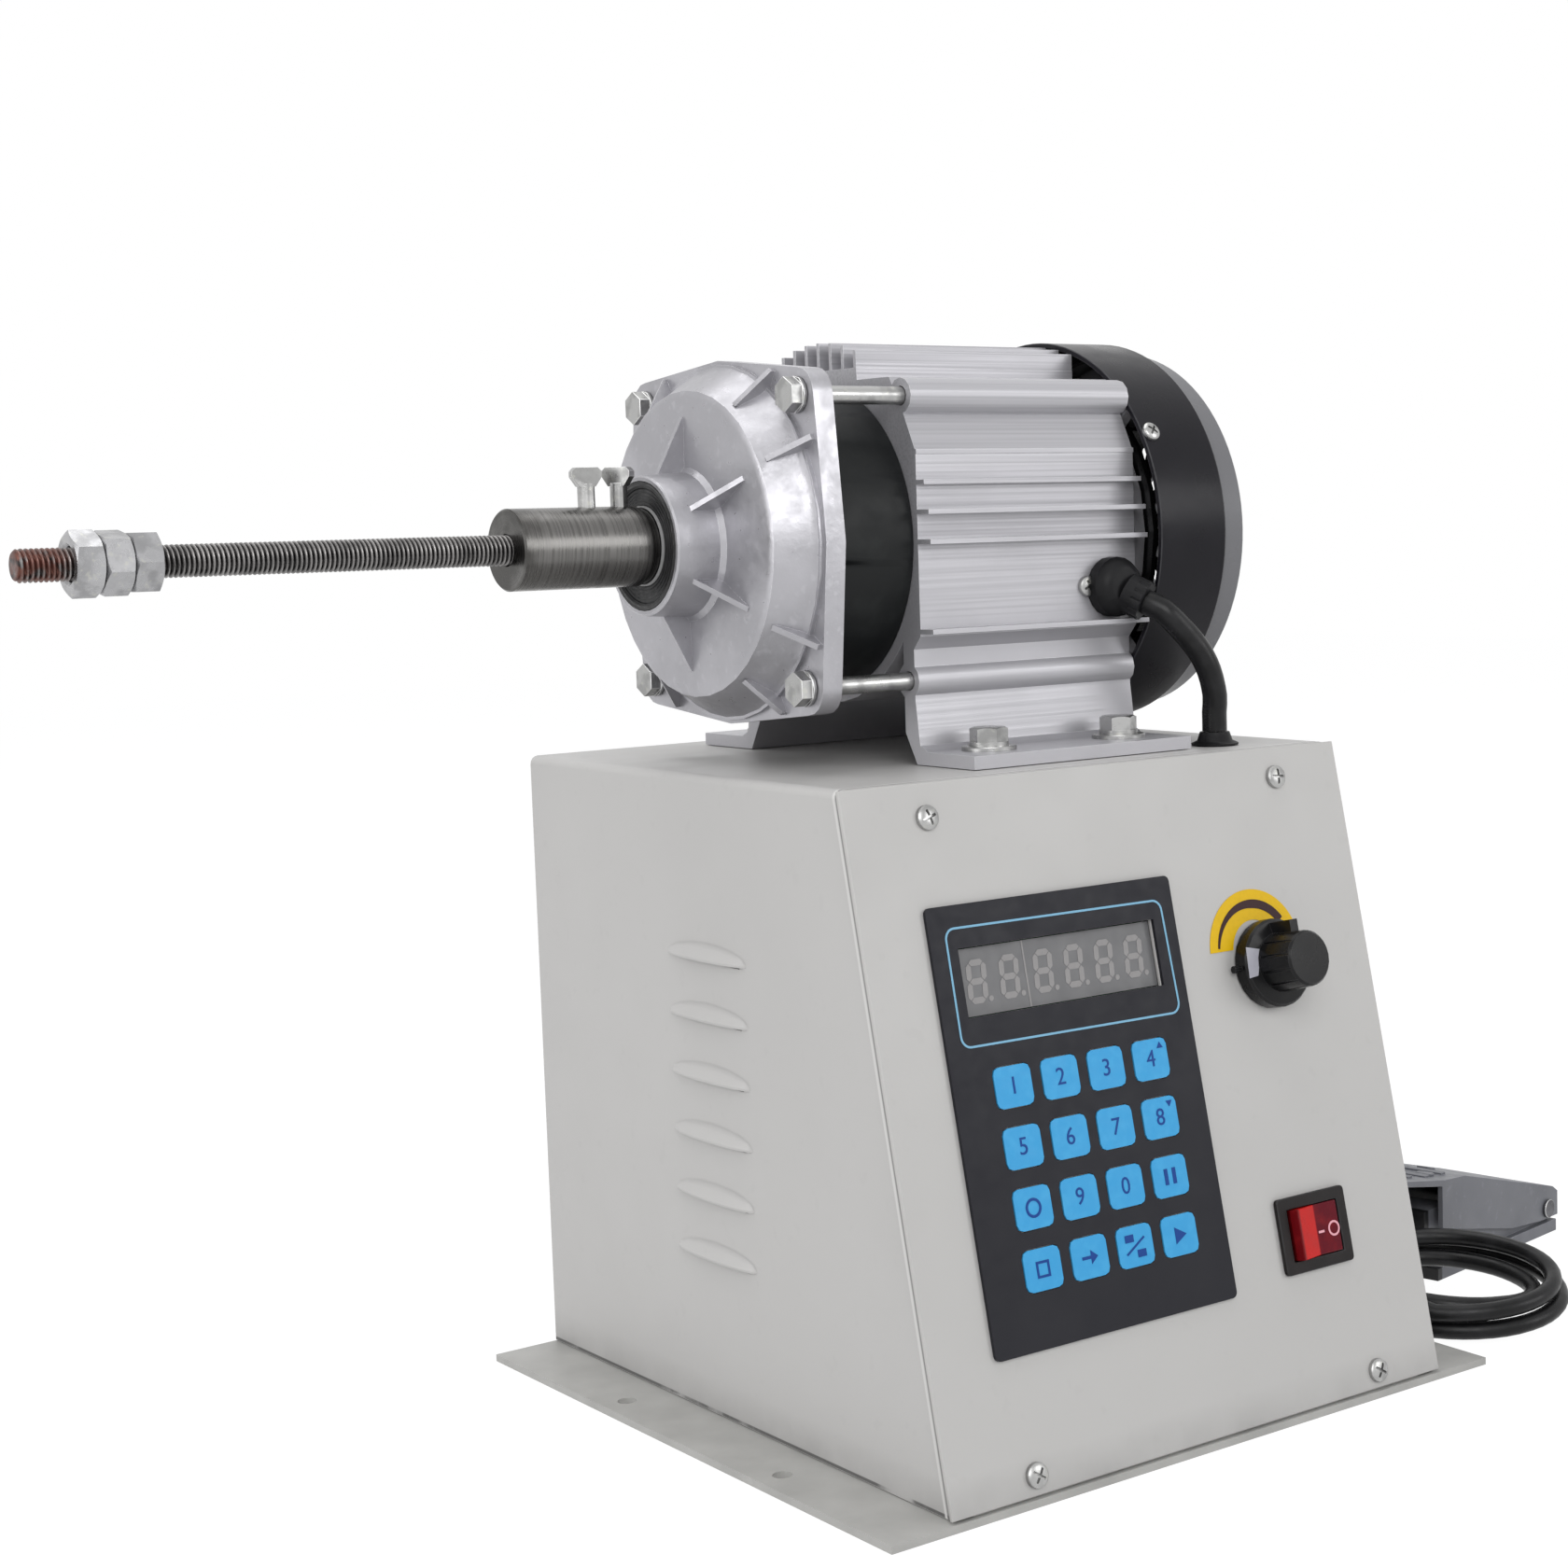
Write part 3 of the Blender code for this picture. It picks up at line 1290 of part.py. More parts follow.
def build_planets(parts):
    radius = (SUN_TEETH + PLANET_TEETH) * GEAR_MODULE / 2
    for count in range(PLANET_COUNT):
        around = 2 * math.pi * count / PLANET_COUNT
        outline = gear_outline(PLANET_TEETH, 1)
        hole = circle(PIN_RADIUS + CLEARANCE, 16)
        mesh = outline_mesh([outline, hole], PLANET_WIDTH)
        at = on_axis(planet_middle_x()) @ turn(around, "Z") @ move(radius, 0, 0)
        add_object(f"planet_gear_{count + 1}", mesh, bright_steel(), parts, at)


def tie_places():
    return [(x * TIE_OFFSET, y * TIE_OFFSET) for x, y in ((1, 1), (1, -1), (-1, 1), (-1, -1))]


def build_tie_bolts(parts, cutters):
    """Four bolts that clamp the gear cover and the ring to the motor housing."""
    head_low = FLANGE_THICKNESS + CLEARANCE
    head = head_low + TIE_WASHER + TIE_HEAD_HEIGHT
    end = -RING_LENGTH - TIE_HOLE_DEPTH + OVERRUN
    for count, (x, y) in enumerate(tie_places()):
        at = on_axis(RING_FRONT_X) @ move(x, y, 0)
        profile = [
            (0, head_low + TIE_WASHER),
            (TIE_WASHER_RADIUS, head_low + TIE_WASHER),
            (TIE_WASHER_RADIUS, head_low),
            (TIE_RADIUS, head_low),
            (TIE_RADIUS, end),
            (0, end),
        ]
        name = f"tie_bolt_{count + 1}"
        bolt = turned_object(name, profile, 12, bright_steel(), parts, at, False)
        hexagon = rod_mesh(TIE_HEAD_FLATS / math.sqrt(3), head_low + TIE_WASHER / 2, head, 6)
        combine(bolt, "UNION", hexagon, Matrix(), cutters)


def build_gear_cover(parts, cutters):
    """The cast cover: bearing boss, six face ribs, swelling skirt, and a flange with four lugs."""
    top = COVER_HEIGHT + BOSS_HEIGHT
    seat = top - BEARING_WIDTH - CLEARANCE
    bearing = BEARING_RADIUS + CLEARANCE
    shaft = BEARING_BORE + 4 * CLEARANCE
    ceiling = COVER_HEIGHT - COVER_WALL_DEPTH
    profile = [
        (bearing, top),
        (BOSS_RADIUS, top),
        (BOSS_RADIUS + BOSS_FLARE / 3, top - BOSS_FLARE / 3),
        (BOSS_RADIUS + BOSS_FLARE, COVER_HEIGHT + BOSS_FLARE),
        (BOSS_RADIUS + 2 * BOSS_FLARE, COVER_HEIGHT),
        (SKIRT_TOP_RADIUS - 2 * BOSS_FLARE, COVER_HEIGHT - BOSS_FLARE / 3),
        (SKIRT_TOP_RADIUS - BOSS_FLARE / 2, COVER_HEIGHT - BOSS_FLARE),
        (SKIRT_TOP_RADIUS, COVER_HEIGHT - 2 * BOSS_FLARE),
        (SKIRT_TOP_RADIUS + BOSS_FLARE, COVER_HEIGHT - 4 * BOSS_FLARE),
        (SKIRT_BASE_RADIUS - BOSS_FLARE, FLANGE_THICKNESS + 2 * BOSS_FLARE),
        (SKIRT_BASE_RADIUS, FLANGE_THICKNESS + STEP_HEIGHT),
        (STEP_RADIUS, FLANGE_THICKNESS + STEP_HEIGHT),
        (STEP_RADIUS, FLANGE_THICKNESS / 2),
        (STEP_RADIUS, 0),
        (COVER_CAVITY, 0),
        (COVER_CAVITY, ceiling - COVER_WALL_DEPTH),
        (COVER_CAVITY - COVER_WALL_DEPTH, ceiling),
        (shaft, ceiling),
        (shaft, seat),
        (bearing, seat),
    ]
    cover = turned_object("gear_cover", profile, 36, cast_aluminium(), parts, on_axis(RING_FRONT_X))
    rim = [point for x, y in tie_places() for point in circle(LUG_RADIUS, 16, (x, y))]
    edge = hull(rim + circle(FLANGE_RADIUS, 36))
    opening = circle(COVER_CAVITY + CLEARANCE, 36)
    flange = outline_mesh([edge, opening], FLANGE_THICKNESS)
    combine(cover, "UNION", flange, move(0, 0, FLANGE_THICKNESS / 2), cutters)
    rib_outline = [
        (BOSS_RADIUS - BOSS_FLARE / 2, COVER_HEIGHT - BOSS_FLARE),
        (FACE_RIB_REACH, COVER_HEIGHT - BOSS_FLARE),
        (FACE_RIB_REACH, COVER_HEIGHT),
        (BOSS_RADIUS - BOSS_FLARE / 2, COVER_HEIGHT + FACE_RIB_HEIGHT),
    ]
    stand = turn(math.pi / 2, "X")
    rib = outline_mesh([rib_outline], FACE_RIB_THICKNESS)
    ribs = []
    for count in range(FACE_RIB_COUNT):
        around = 2 * math.pi * (count + 0.5) / FACE_RIB_COUNT
        ribs.append((rib, turn(around, "Z") @ stand))
    combine(cover, "UNION", merged(ribs), Matrix(), cutters)
    lug_reach = math.hypot(TIE_OFFSET, TIE_OFFSET)
    gusset_outline = [
        (SKIRT_TOP_RADIUS, FLANGE_THICKNESS / 2),
        (lug_reach - BOSS_FLARE, FLANGE_THICKNESS / 2),
        (lug_reach - BOSS_FLARE, FLANGE_THICKNESS + STEP_HEIGHT),
        (SKIRT_TOP_RADIUS + BOSS_FLARE / 2, FLANGE_THICKNESS + GUSSET_HEIGHT),
    ]
    gusset = outline_mesh([gusset_outline], GUSSET_THICKNESS)
    gussets = []
    for x, y in tie_places():
        for side in (-1, 1):
            angle = math.atan2(y, x) + side * GUSSET_ANGLE
            gussets.append((gusset, turn(angle, "Z") @ stand))
    combine(cover, "UNION", merged(gussets), Matrix(), cutters)
    hole = rod_mesh(TIE_RADIUS + CLEARANCE, -OVERRUN, FLANGE_THICKNESS + OVERRUN, 12)
    holes = [(hole, move(x, y, 0)) for x, y in tie_places()]
    spotface = rod_mesh(
        TIE_WASHER_RADIUS + CLEARANCE,
        FLANGE_THICKNESS,
        FLANGE_THICKNESS + GUSSET_HEIGHT + OVERRUN,
        16,
    )
    spotfaces = [(spotface, move(x, y, 0)) for x, y in tie_places()]
    combine(cover, "DIFFERENCE", merged(holes), Matrix(), cutters)
    combine(cover, "DIFFERENCE", merged(spotfaces), Matrix(), cutters)
    return cover


def build_spindle_bearing(parts):
    """A sealed ball bearing, its seal set back between the two races."""
    half = BEARING_WIDTH / 2
    bore = BEARING_BORE + CLEARANCE
    inner = RACE_RADIUS
    outer = BEARING_RADIUS - 2 * SEAL_RECESS
    floor = half - SEAL_RECESS
    profile = [
        (bore, half),
        (inner, half),
        (inner, floor),
        (outer, floor),
        (outer, half),
        (BEARING_RADIUS, half),
        (BEARING_RADIUS, -half),
        (outer, -half),
        (outer, -floor),
        (inner, -floor),
        (inner, -half),
        (bore, -half),
    ]
    at = on_axis(BOSS_FRONT_X + half)
    return turned_object("spindle_bearing", profile, 28, gear_black(), parts, at)


def build_spindle(parts, cutters):
    """The planet carrier, its shaft through the bearing, and the sleeve that holds the rod."""
    front = SLEEVE_REACH
    bore = ROD_RADIUS + CLEARANCE
    carrier_face = BOSS_FRONT_X - RING_FRONT_X
    plate_top = carrier_face + CARRIER_THICKNESS + CLEARANCE
    plate_low = plate_top - CARRIER_THICKNESS
    profile = [
        (0, front - ROD_HOLD - CLEARANCE),
        (bore, front - ROD_HOLD - CLEARANCE),
        (bore, front),
        (SLEEVE_RADIUS - SLEEVE_CHAMFER, front),
        (SLEEVE_RADIUS, front - SLEEVE_CHAMFER),
        (SLEEVE_RADIUS, SLEEVE_NECK + SLEEVE_CHAMFER),
        (SLEEVE_RADIUS - SLEEVE_CHAMFER, SLEEVE_NECK),
        (NECK_RADIUS, SLEEVE_NECK),
        (NECK_RADIUS, CLEARANCE),
        (BEARING_BORE, CLEARANCE),
        (BEARING_BORE, plate_top),
        (CARRIER_RADIUS, plate_top),
        (CARRIER_RADIUS, plate_low),
        (0, plate_low),
    ]
    at = on_axis(BOSS_FRONT_X)
    spindle = turned_object("spindle", profile, 24, turned_steel(), parts, at, False)
    pin_low = BOSS_FRONT_X - planet_middle_x() - PLANET_WIDTH / 2
    pin = rod_mesh(PIN_RADIUS, pin_low, plate_low + CARRIER_THICKNESS / 2, 16)
    radius = (SUN_TEETH + PLANET_TEETH) * GEAR_MODULE / 2
    pins = []
    for count in range(PLANET_COUNT):
        around = turn(2 * math.pi * count / PLANET_COUNT, "Z")
        pins.append((pin, around @ move(radius, 0, 0)))
    combine(spindle, "UNION", merged(pins), Matrix(), cutters)
    thread = rod_mesh(WING_RADIUS + CLEARANCE, ROD_RADIUS / 2, SLEEVE_RADIUS + OVERRUN, 12)
    up = turn(-math.pi / 2, "X")
    holes = [(thread, move(0, 0, spot) @ up) for spot in WING_SPOTS]
    combine(spindle, "DIFFERENCE", merged(holes), Matrix(), cutters)
    return spindle


def build_mandrel_rod(parts):
    length = ROD_REACH + ROD_HOLD
    chamfer = SLEEVE_CHAMFER
    profile = [
        (0, length),
        (ROD_RADIUS - chamfer, length),
        (ROD_RADIUS, length - chamfer),
        (ROD_RADIUS, 0),
        (0, 0),
    ]
    at = on_axis(SLEEVE_FRONT_X + ROD_HOLD)
    return turned_object("mandrel_rod", profile, 24, turned_steel(), parts, at, False)


def build_nuts(parts):
    """Three clamping nuts in a stack near the rod's tip."""
    corner = NUT_FLATS / math.sqrt(3)
    for count in range(3):
        x = ROD_TIP_X + NUT_START + NUT_HEIGHT / 2 + count * (NUT_HEIGHT + NUT_GAP)
        hexagon = circle(corner, 6, start=math.pi / 6 * (1 + count / 2))
        bore = circle(ROD_RADIUS + CLEARANCE, 12)
        mesh = outline_mesh([hexagon, bore], NUT_HEIGHT - NUT_GAP)
        add_object(f"rod_nut_{count + 1}", mesh, zinc_plate(), parts, on_axis(x))


def build_wing_screws(parts, cutters):
    """Two wing screws in the sleeve's top that lock the rod."""
    for count, spot in enumerate(WING_SPOTS):
        at = on_axis(BOSS_FRONT_X - spot) @ turn(-math.pi / 2, "X")
        low = ROD_RADIUS + CLEARANCE
        neck = SLEEVE_RADIUS + WING_SHANK
        shank = rod_mesh(WING_RADIUS, low, neck, 12)
        name = f"wing_screw_{count + 1}"
        screw = add_object(name, shank, bright_steel(), parts, at)
        half = WING_HEAD_WIDTH / 2
        outline = [
            (-WING_RADIUS, 0),
            (WING_RADIUS, 0),
            (half, WING_HEAD_HEIGHT / 2),
            (half, WING_HEAD_HEIGHT * 4 / 5),
            (half * 3 / 4, WING_HEAD_HEIGHT),
            (-half * 3 / 4, WING_HEAD_HEIGHT),
            (-half, WING_HEAD_HEIGHT * 4 / 5),
            (-half, WING_HEAD_HEIGHT / 2),
        ]
        head = outline_mesh([outline], WING_THICKNESS)
        place = move(0, 0, neck - OVERRUN / 2) @ turn(WING_TURNS[count], "Z")
        combine(screw, "UNION", head, place @ turn(math.pi / 2, "X"), cutters)


def build_rear_shield(parts, cutters):
    """The motor's rear end shield, with four arms that the fan cover is screwed to."""
    plug = BORE_RADIUS - CLEARANCE
    depth = SHIELD_THICKNESS
    bore = SHAFT_RADIUS + CLEARANCE
    arm = COVER_RADIUS - COVER_WALL - CLEARANCE
    profile = [
        (bore, depth),
        (plug, depth),
        (plug, -CLEARANCE),
        (HOUSING_HALF_WIDTH, -CLEARANCE),
        (HOUSING_HALF_WIDTH, -depth),
        (bore, -depth),
    ]
    at = on_axis(HOUSING_REAR_X)
    shield = turned_object("rear_shield", profile, 24, cast_aluminium(), parts, at)
    bar = span_mesh(
        (HOUSING_HALF_WIDTH - SHIELD_ARM_WIDTH, -SHIELD_ARM_WIDTH / 2, -depth),
        (arm, SHIELD_ARM_WIDTH / 2, -2 * CLEARANCE),
    )
    bars = [(bar, turn(math.pi / 2 * (count + 0.5), "Z")) for count in range(4)]
    combine(shield, "UNION", merged(bars), Matrix(), cutters)
    round_off = rod_mesh(arm, -depth - OVERRUN, depth + OVERRUN, 40)
    combine(shield, "INTERSECT", round_off, Matrix(), cutters)
    return shield


def build_fan(parts, cutters):
    half = FAN_WIDTH / 2
    bore = SHAFT_RADIUS + CLEARANCE
    profile = [
        (bore, half),
        (FAN_HUB_RADIUS, half),
        (FAN_HUB_RADIUS, -half + FAN_DISC),
        (FAN_RADIUS, -half + FAN_DISC),
        (FAN_RADIUS, -half),
        (bore, -half),
    ]
    at = on_axis(fan_middle_x()) @ turn(math.pi, "X")
    fan = turned_object("fan", profile, 24, black_plastic(), parts, at)
    blade = span_mesh(
        (FAN_HUB_RADIUS - BLADE_SHEET, -BLADE_SHEET / 2, -half + FAN_DISC / 2),
        (FAN_RADIUS - BLADE_SHEET, BLADE_SHEET / 2, half),
    )
    blades = [(blade, turn(2 * math.pi * count / FAN_BLADES, "Z")) for count in range(FAN_BLADES)]
    combine(fan, "UNION", merged(blades), Matrix(), cutters)
    return fan


def build_fan_cover(parts, cutters):
    """The fan's cup, with a stepped rear cap whose slots let the air in."""
    inner = COVER_RADIUS - COVER_WALL
    cap = COVER_RADIUS - CAP_STEP
    length = FAN_COVER_LENGTH
    total = length + CAP_LENGTH
    edge = COVER_WALL / 2
    profile = [
        (inner, 0),
        (COVER_RADIUS, 0),
        (COVER_RADIUS, -length + edge),
        (COVER_RADIUS - edge, -length),
        (cap, -length),
        (cap, -total + 2 * edge),
        (cap - 2 * edge, -total),
        (0, -total),
        (0, -total + COVER_WALL),
        (cap - COVER_WALL, -total + COVER_WALL),
        (cap - COVER_WALL, -length + COVER_WALL),
        (inner, -length + 2 * COVER_WALL),
    ]
    at = on_axis(HOUSING_REAR_X + CLEARANCE)
    cover = turned_object("fan_cover", profile, 32, black_plastic(), parts, at)
    slot = span_mesh(
        (SLOT_INNER, -SLOT_WIDTH / 2, -total - OVERRUN),
        (SLOT_OUTER, SLOT_WIDTH / 2, -total + COVER_WALL + OVERRUN),
    )
    slots = [(slot, turn(2 * math.pi * count / GRILLE_SLOTS, "Z")) for count in range(GRILLE_SLOTS)]
    combine(cover, "DIFFERENCE", merged(slots), Matrix(), cutters)
    return cover


# Motor cable


def gland_frame():
    """Z out of the motor's front side, on the gland's axis, from the housing's wall."""
    wall = AXIS_Y - HOUSING_HALF_WIDTH
    return move(GLAND_X, wall, AXIS_Z + GLAND_HEIGHT) @ turn(math.pi / 2, "X")


def nozzle_frame():
    """Z along the gland's outlet, which leans back and down towards the cabinet's top."""
    crown = gland_frame() @ move(0, 0, GLAND_LENGTH - GLAND_CROWN_RADIUS)
    return crown @ turn(GLAND_DROP, "X") @ turn(GLAND_SIDE_TILT, "Y")


def build_motor_gland(parts, cutters):
    crown = GLAND_LENGTH - CLEARANCE
    profile = [
        (0, GLAND_LENGTH),
        (GLAND_CROWN_RADIUS, GLAND_LENGTH),
        (GLAND_RADIUS * 7 / 8, crown * 3 / 4),
        (GLAND_RADIUS, crown / 2),
        (GLAND_RADIUS, CLEARANCE),
        (0, CLEARANCE),
    ]
    gland = turned_object("motor_gland", profile, 20, black_plastic(), parts, gland_frame(), False)
    end = GLAND_CROWN_RADIUS + GLAND_NUT_LENGTH
    nozzle = rod_mesh(GLAND_NUT_RADIUS, GLAND_CROWN_RADIUS * 3 / 4, end, 2 * GLAND_RIBS)
    to_nozzle = gland_frame().inverted() @ nozzle_frame()
    combine(gland, "UNION", nozzle, to_nozzle, cutters)
    groove = rod_mesh(GLAND_RIB_DEPTH, end - GLAND_NUT_LENGTH * 2 / 3, end + OVERRUN, 6)
    grooves = []
    for count in range(GLAND_RIBS):
        around = turn(2 * math.pi * (count + 0.5) / GLAND_RIBS, "Z")
        grooves.append((groove, to_nozzle @ around @ move(GLAND_NUT_RADIUS, 0, 0)))
    combine(gland, "DIFFERENCE", merged(grooves), Matrix(), cutters)
    return gland


def motor_cable_route():
    """From the gland's nozzle, down past the motor to the boot on the cabinet's top."""
    straight = 3 / 2 * MOTOR_CABLE_RADIUS
    nozzle = GLAND_CROWN_RADIUS + GLAND_NUT_LENGTH + CLEARANCE
    boot = BOX_HEIGHT + BOOT_HEIGHT + 2 * CLEARANCE
    top = nozzle_frame() @ Vector((0, 0, nozzle + straight))
    low = Vector((BOOT_X, BOOT_Y, boot + straight))
    reach, drop = low.x - top.x, top.z - low.z
    bend = [low + Vector((-x * reach, -y * drop, z * drop)) for x, y, z in MOTOR_CABLE_SHARES]
    start = nozzle_frame() @ Vector((0, 0, nozzle))
    return [start, top, *bend, low, Vector((BOOT_X, BOOT_Y, boot))]


def build_motor_cable(parts):
    points = smooth_route(motor_cable_route(), 2 * MOTOR_CABLE_RADIUS)
    return tube_object("motor_cable", points, MOTOR_CABLE_RADIUS, 3, cord_black(), parts)


def build_cable_boot(parts):
    profile = [
        (0, BOOT_HEIGHT),
        (BOOT_TOP_RADIUS, BOOT_HEIGHT),
        (BOOT_RADIUS * 3 / 4, BOOT_HEIGHT / 3),
        (BOOT_RADIUS, BOOT_HEIGHT / 8),
        (BOOT_RADIUS, 0),
        (MOTOR_CABLE_RADIUS, 0),
        (MOTOR_CABLE_RADIUS, -SHEET - 2 * CLEARANCE),
        (0, -SHEET - 2 * CLEARANCE),
    ]
    at = move(BOOT_X, BOOT_Y, BOX_HEIGHT + CLEARANCE)
    return turned_object("cable_boot", profile, 24, black_plastic(), parts, at, False)


# Foot pedal


def build_pedal_base(parts, cutters):
    """The tray with its two hinge cheeks, and the block that the cord comes out of."""
    half = PEDAL_WIDTH / 2
    mesh = span_mesh((0, -half, 0), (PEDAL_LENGTH, half, PEDAL_FLOOR))
    base = add_object("pedal_base", mesh, pedal_grey(), parts, pedal_frame())
    cheek_half = half - PEDAL_WALL - 2 * CLEARANCE
    hinge_height = PIVOT_HEIGHT + 2 * PIVOT_RADIUS - CLEARANCE
    cheek_outline = [
        (PIVOT_RADIUS, PEDAL_FLOOR / 2),
        (CHEEK_END, PEDAL_FLOOR / 2),
        (CHEEK_END, CHEEK_HEIGHT),
        (2 * PIVOT_AT, hinge_height),
        (PIVOT_RADIUS, hinge_height),
    ]
    cheek = outline_mesh([cheek_outline], PEDAL_WALL)
    stand = turn(math.pi / 2, "X")
    cheeks = [(cheek, move(0, side * (cheek_half - PEDAL_WALL / 2), 0) @ stand) for side in (-1, 1)]
    combine(base, "UNION", merged(cheeks), Matrix(), cutters)
    block = span_mesh(
        (BLOCK_START, BLOCK_INSET - half, PEDAL_FLOOR / 2),
        (PEDAL_LENGTH, half - BLOCK_INSET, BLOCK_HEIGHT),
    )
    combine(base, "UNION", block, Matrix(), cutters)
    relief = rod_mesh(RELIEF_RADIUS, -OVERRUN, RELIEF_LENGTH, 16, RELIEF_TIP_RADIUS)
    at = move(PEDAL_LENGTH, half - RELIEF_INSET, RELIEF_HEIGHT) @ turn(math.pi / 2, "Y")
    combine(base, "UNION", relief, at, cutters)
    hole = rod_mesh(PIVOT_RADIUS + CLEARANCE, -PEDAL_WIDTH, PEDAL_WIDTH, 16)
    combine(base, "DIFFERENCE", hole, move(PIVOT_AT, 0, PIVOT_HEIGHT) @ stand, cutters)
    return base


def treadle_side():
    """The treadle's side view: its top with a knee and a lifted toe, and the skirt's lower edge."""
    return [
        (-PIVOT_RADIUS / 2, TREADLE_LOW),
        (PIVOT_AT + 2 * PIVOT_RADIUS, TREADLE_LOW),
        (TREADLE_BEND_AT, TREADLE_BEND_HEIGHT),
        (TREADLE_SKIRT_END, TREADLE_SKIRT_HEIGHT),
        (TREADLE_SKIRT_END, TREADLE_TOE_HEIGHT - PEDAL_WALL),
        (TREADLE_LENGTH, TREADLE_TIP_HEIGHT - PEDAL_WALL),
        (TREADLE_LENGTH, TREADLE_TIP_HEIGHT),
        (TREADLE_TOE_AT, TREADLE_TOE_HEIGHT),
        (TREADLE_KNEE_AT, TREADLE_KNEE_HEIGHT),
        (PIVOT_RADIUS, TREADLE_END_HEIGHT),
        (-PIVOT_RADIUS / 2, TREADLE_END_HEIGHT - PIVOT_RADIUS),
    ]


def treadle_top(along):
    """The height of the treadle's top past its knee."""
    if along < TREADLE_TOE_AT:
        share = (along - TREADLE_KNEE_AT) / (TREADLE_TOE_AT - TREADLE_KNEE_AT)
        return TREADLE_KNEE_HEIGHT + share * (TREADLE_TOE_HEIGHT - TREADLE_KNEE_HEIGHT)
    share = (along - TREADLE_TOE_AT) / (TREADLE_LENGTH - TREADLE_TOE_AT)
    return TREADLE_TOE_HEIGHT + share * (TREADLE_TIP_HEIGHT - TREADLE_TOE_HEIGHT)


def build_pedal_treadle(parts, cutters):
    """The rocking cover, hollow below, with cross ribs at its toe; it turns about the pin."""
    at = pedal_frame() @ move(PIVOT_AT, 0, PIVOT_HEIGHT)
    to_side = move(-PIVOT_AT, 0, -PIVOT_HEIGHT)
    stand = turn(math.pi / 2, "X")
    mesh = outline_mesh([treadle_side()], PEDAL_WIDTH)
    mesh.transform(to_side @ stand)
    treadle = add_object("pedal_treadle", mesh, pedal_grey(), parts, at)
    skin = PEDAL_WALL
    hollow = [
        (skin / 2, -OVERRUN),
        (TREADLE_SKIRT_END + OVERRUN, -OVERRUN),
        (TREADLE_SKIRT_END + OVERRUN, treadle_top(TREADLE_SKIRT_END + OVERRUN) - skin),
        (TREADLE_TOE_AT, TREADLE_TOE_HEIGHT - skin),
        (TREADLE_KNEE_AT, TREADLE_KNEE_HEIGHT - skin),
        (skin / 2, TREADLE_END_HEIGHT - skin),
    ]
    inside = outline_mesh([hollow], PEDAL_WIDTH - 2 * skin)
    combine(treadle, "DIFFERENCE", inside, to_side @ stand, cutters)
    grip = box_mesh((GRIP_WIDTH, PEDAL_WIDTH * 3 / 4, 2 * GRIP_RISE))
    grips = [(grip, move(along, 0, treadle_top(along))) for along in GRIP_PLACES]
    combine(treadle, "UNION", merged(grips), to_side, cutters)
    hole = rod_mesh(PIVOT_RADIUS + CLEARANCE, -PEDAL_WIDTH, PEDAL_WIDTH, 16)
    combine(treadle, "DIFFERENCE", hole, stand, cutters)
    return treadle


def build_pedal_pin(parts):
    half = PEDAL_WIDTH / 2 + CLEARANCE
    profile = [
        (0, half + PIVOT_HEAD),
        (PIVOT_HEAD_RADIUS, half + PIVOT_HEAD),
        (PIVOT_HEAD_RADIUS, half),
        (PIVOT_RADIUS, half),
        (PIVOT_RADIUS, -half),
        (PIVOT_HEAD_RADIUS, -half),
        (PIVOT_HEAD_RADIUS, -half - PIVOT_HEAD),
        (0, -half - PIVOT_HEAD),
    ]
    at = pedal_frame() @ move(PIVOT_AT, 0, PIVOT_HEIGHT) @ turn(math.pi / 2, "X")
    return turned_object("pedal_pin", profile, 16, bright_steel(), parts, at, False)


# Pedal cord


def resting_height(x):
    """How high the cord's middle lies where it rests on the floor or on the base flange."""
    edge = BOX_WIDTH / 2 + FLANGE_WIDTH
    floor = CORD_RADIUS + CLEARANCE
    if x >= edge + CORD_RADIUS:
        return floor
    over = BASE_THICKNESS + CLEARANCE
    return over + math.sqrt(CORD_RADIUS**2 - max(0, x - edge) ** 2)


def coil_point(angle):
    """The cord's middle in the coil, a leaning oval that spirals in on top and out on the floor."""
    middle = (COIL_START + COIL_END) / 2
    reach = (COIL_END - COIL_START) / 2 - abs(angle - middle)
    inset = COIL_STEP * reach / (2 * math.pi)
    across = (COIL_LONG - inset) * math.cos(angle)
    aside = (COIL_SHORT - inset) * math.sin(angle)
    x = COIL_X + across * math.cos(COIL_TURN) - aside * math.sin(COIL_TURN)
    y = COIL_Y + across * math.sin(COIL_TURN) + aside * math.cos(COIL_TURN)
    away = (x - COIL_X) * math.cos(COIL_LEAN) + (y - COIL_Y) * math.sin(COIL_LEAN)
    lean = CORD_RADIUS + CLEARANCE + COIL_SLOPE * (COIL_SHORT + away)
    share = min(1, max(0, (middle - angle) / math.pi + 0.5))
    layer = COIL_LAYER * share**2 * (3 - 2 * share)
    return Vector((x, y, max(lean, resting_height(x)) + layer))


def coil_points():
    sweep = COIL_END - COIL_START
    count = round(sweep / (2 * math.pi) * COIL_POINTS_A_TURN)
    return [coil_point(COIL_START + sweep * step / count) for step in range(count + 1)]


def straight_end(points, length):
    """The points with a straight piece added at each end, square to the end faces."""
    first = points[0] + (points[0] - points[1]).normalized() * length
    last = points[-1] + (points[-1] - points[-2]).normalized() * length
    return [first, *points, last]


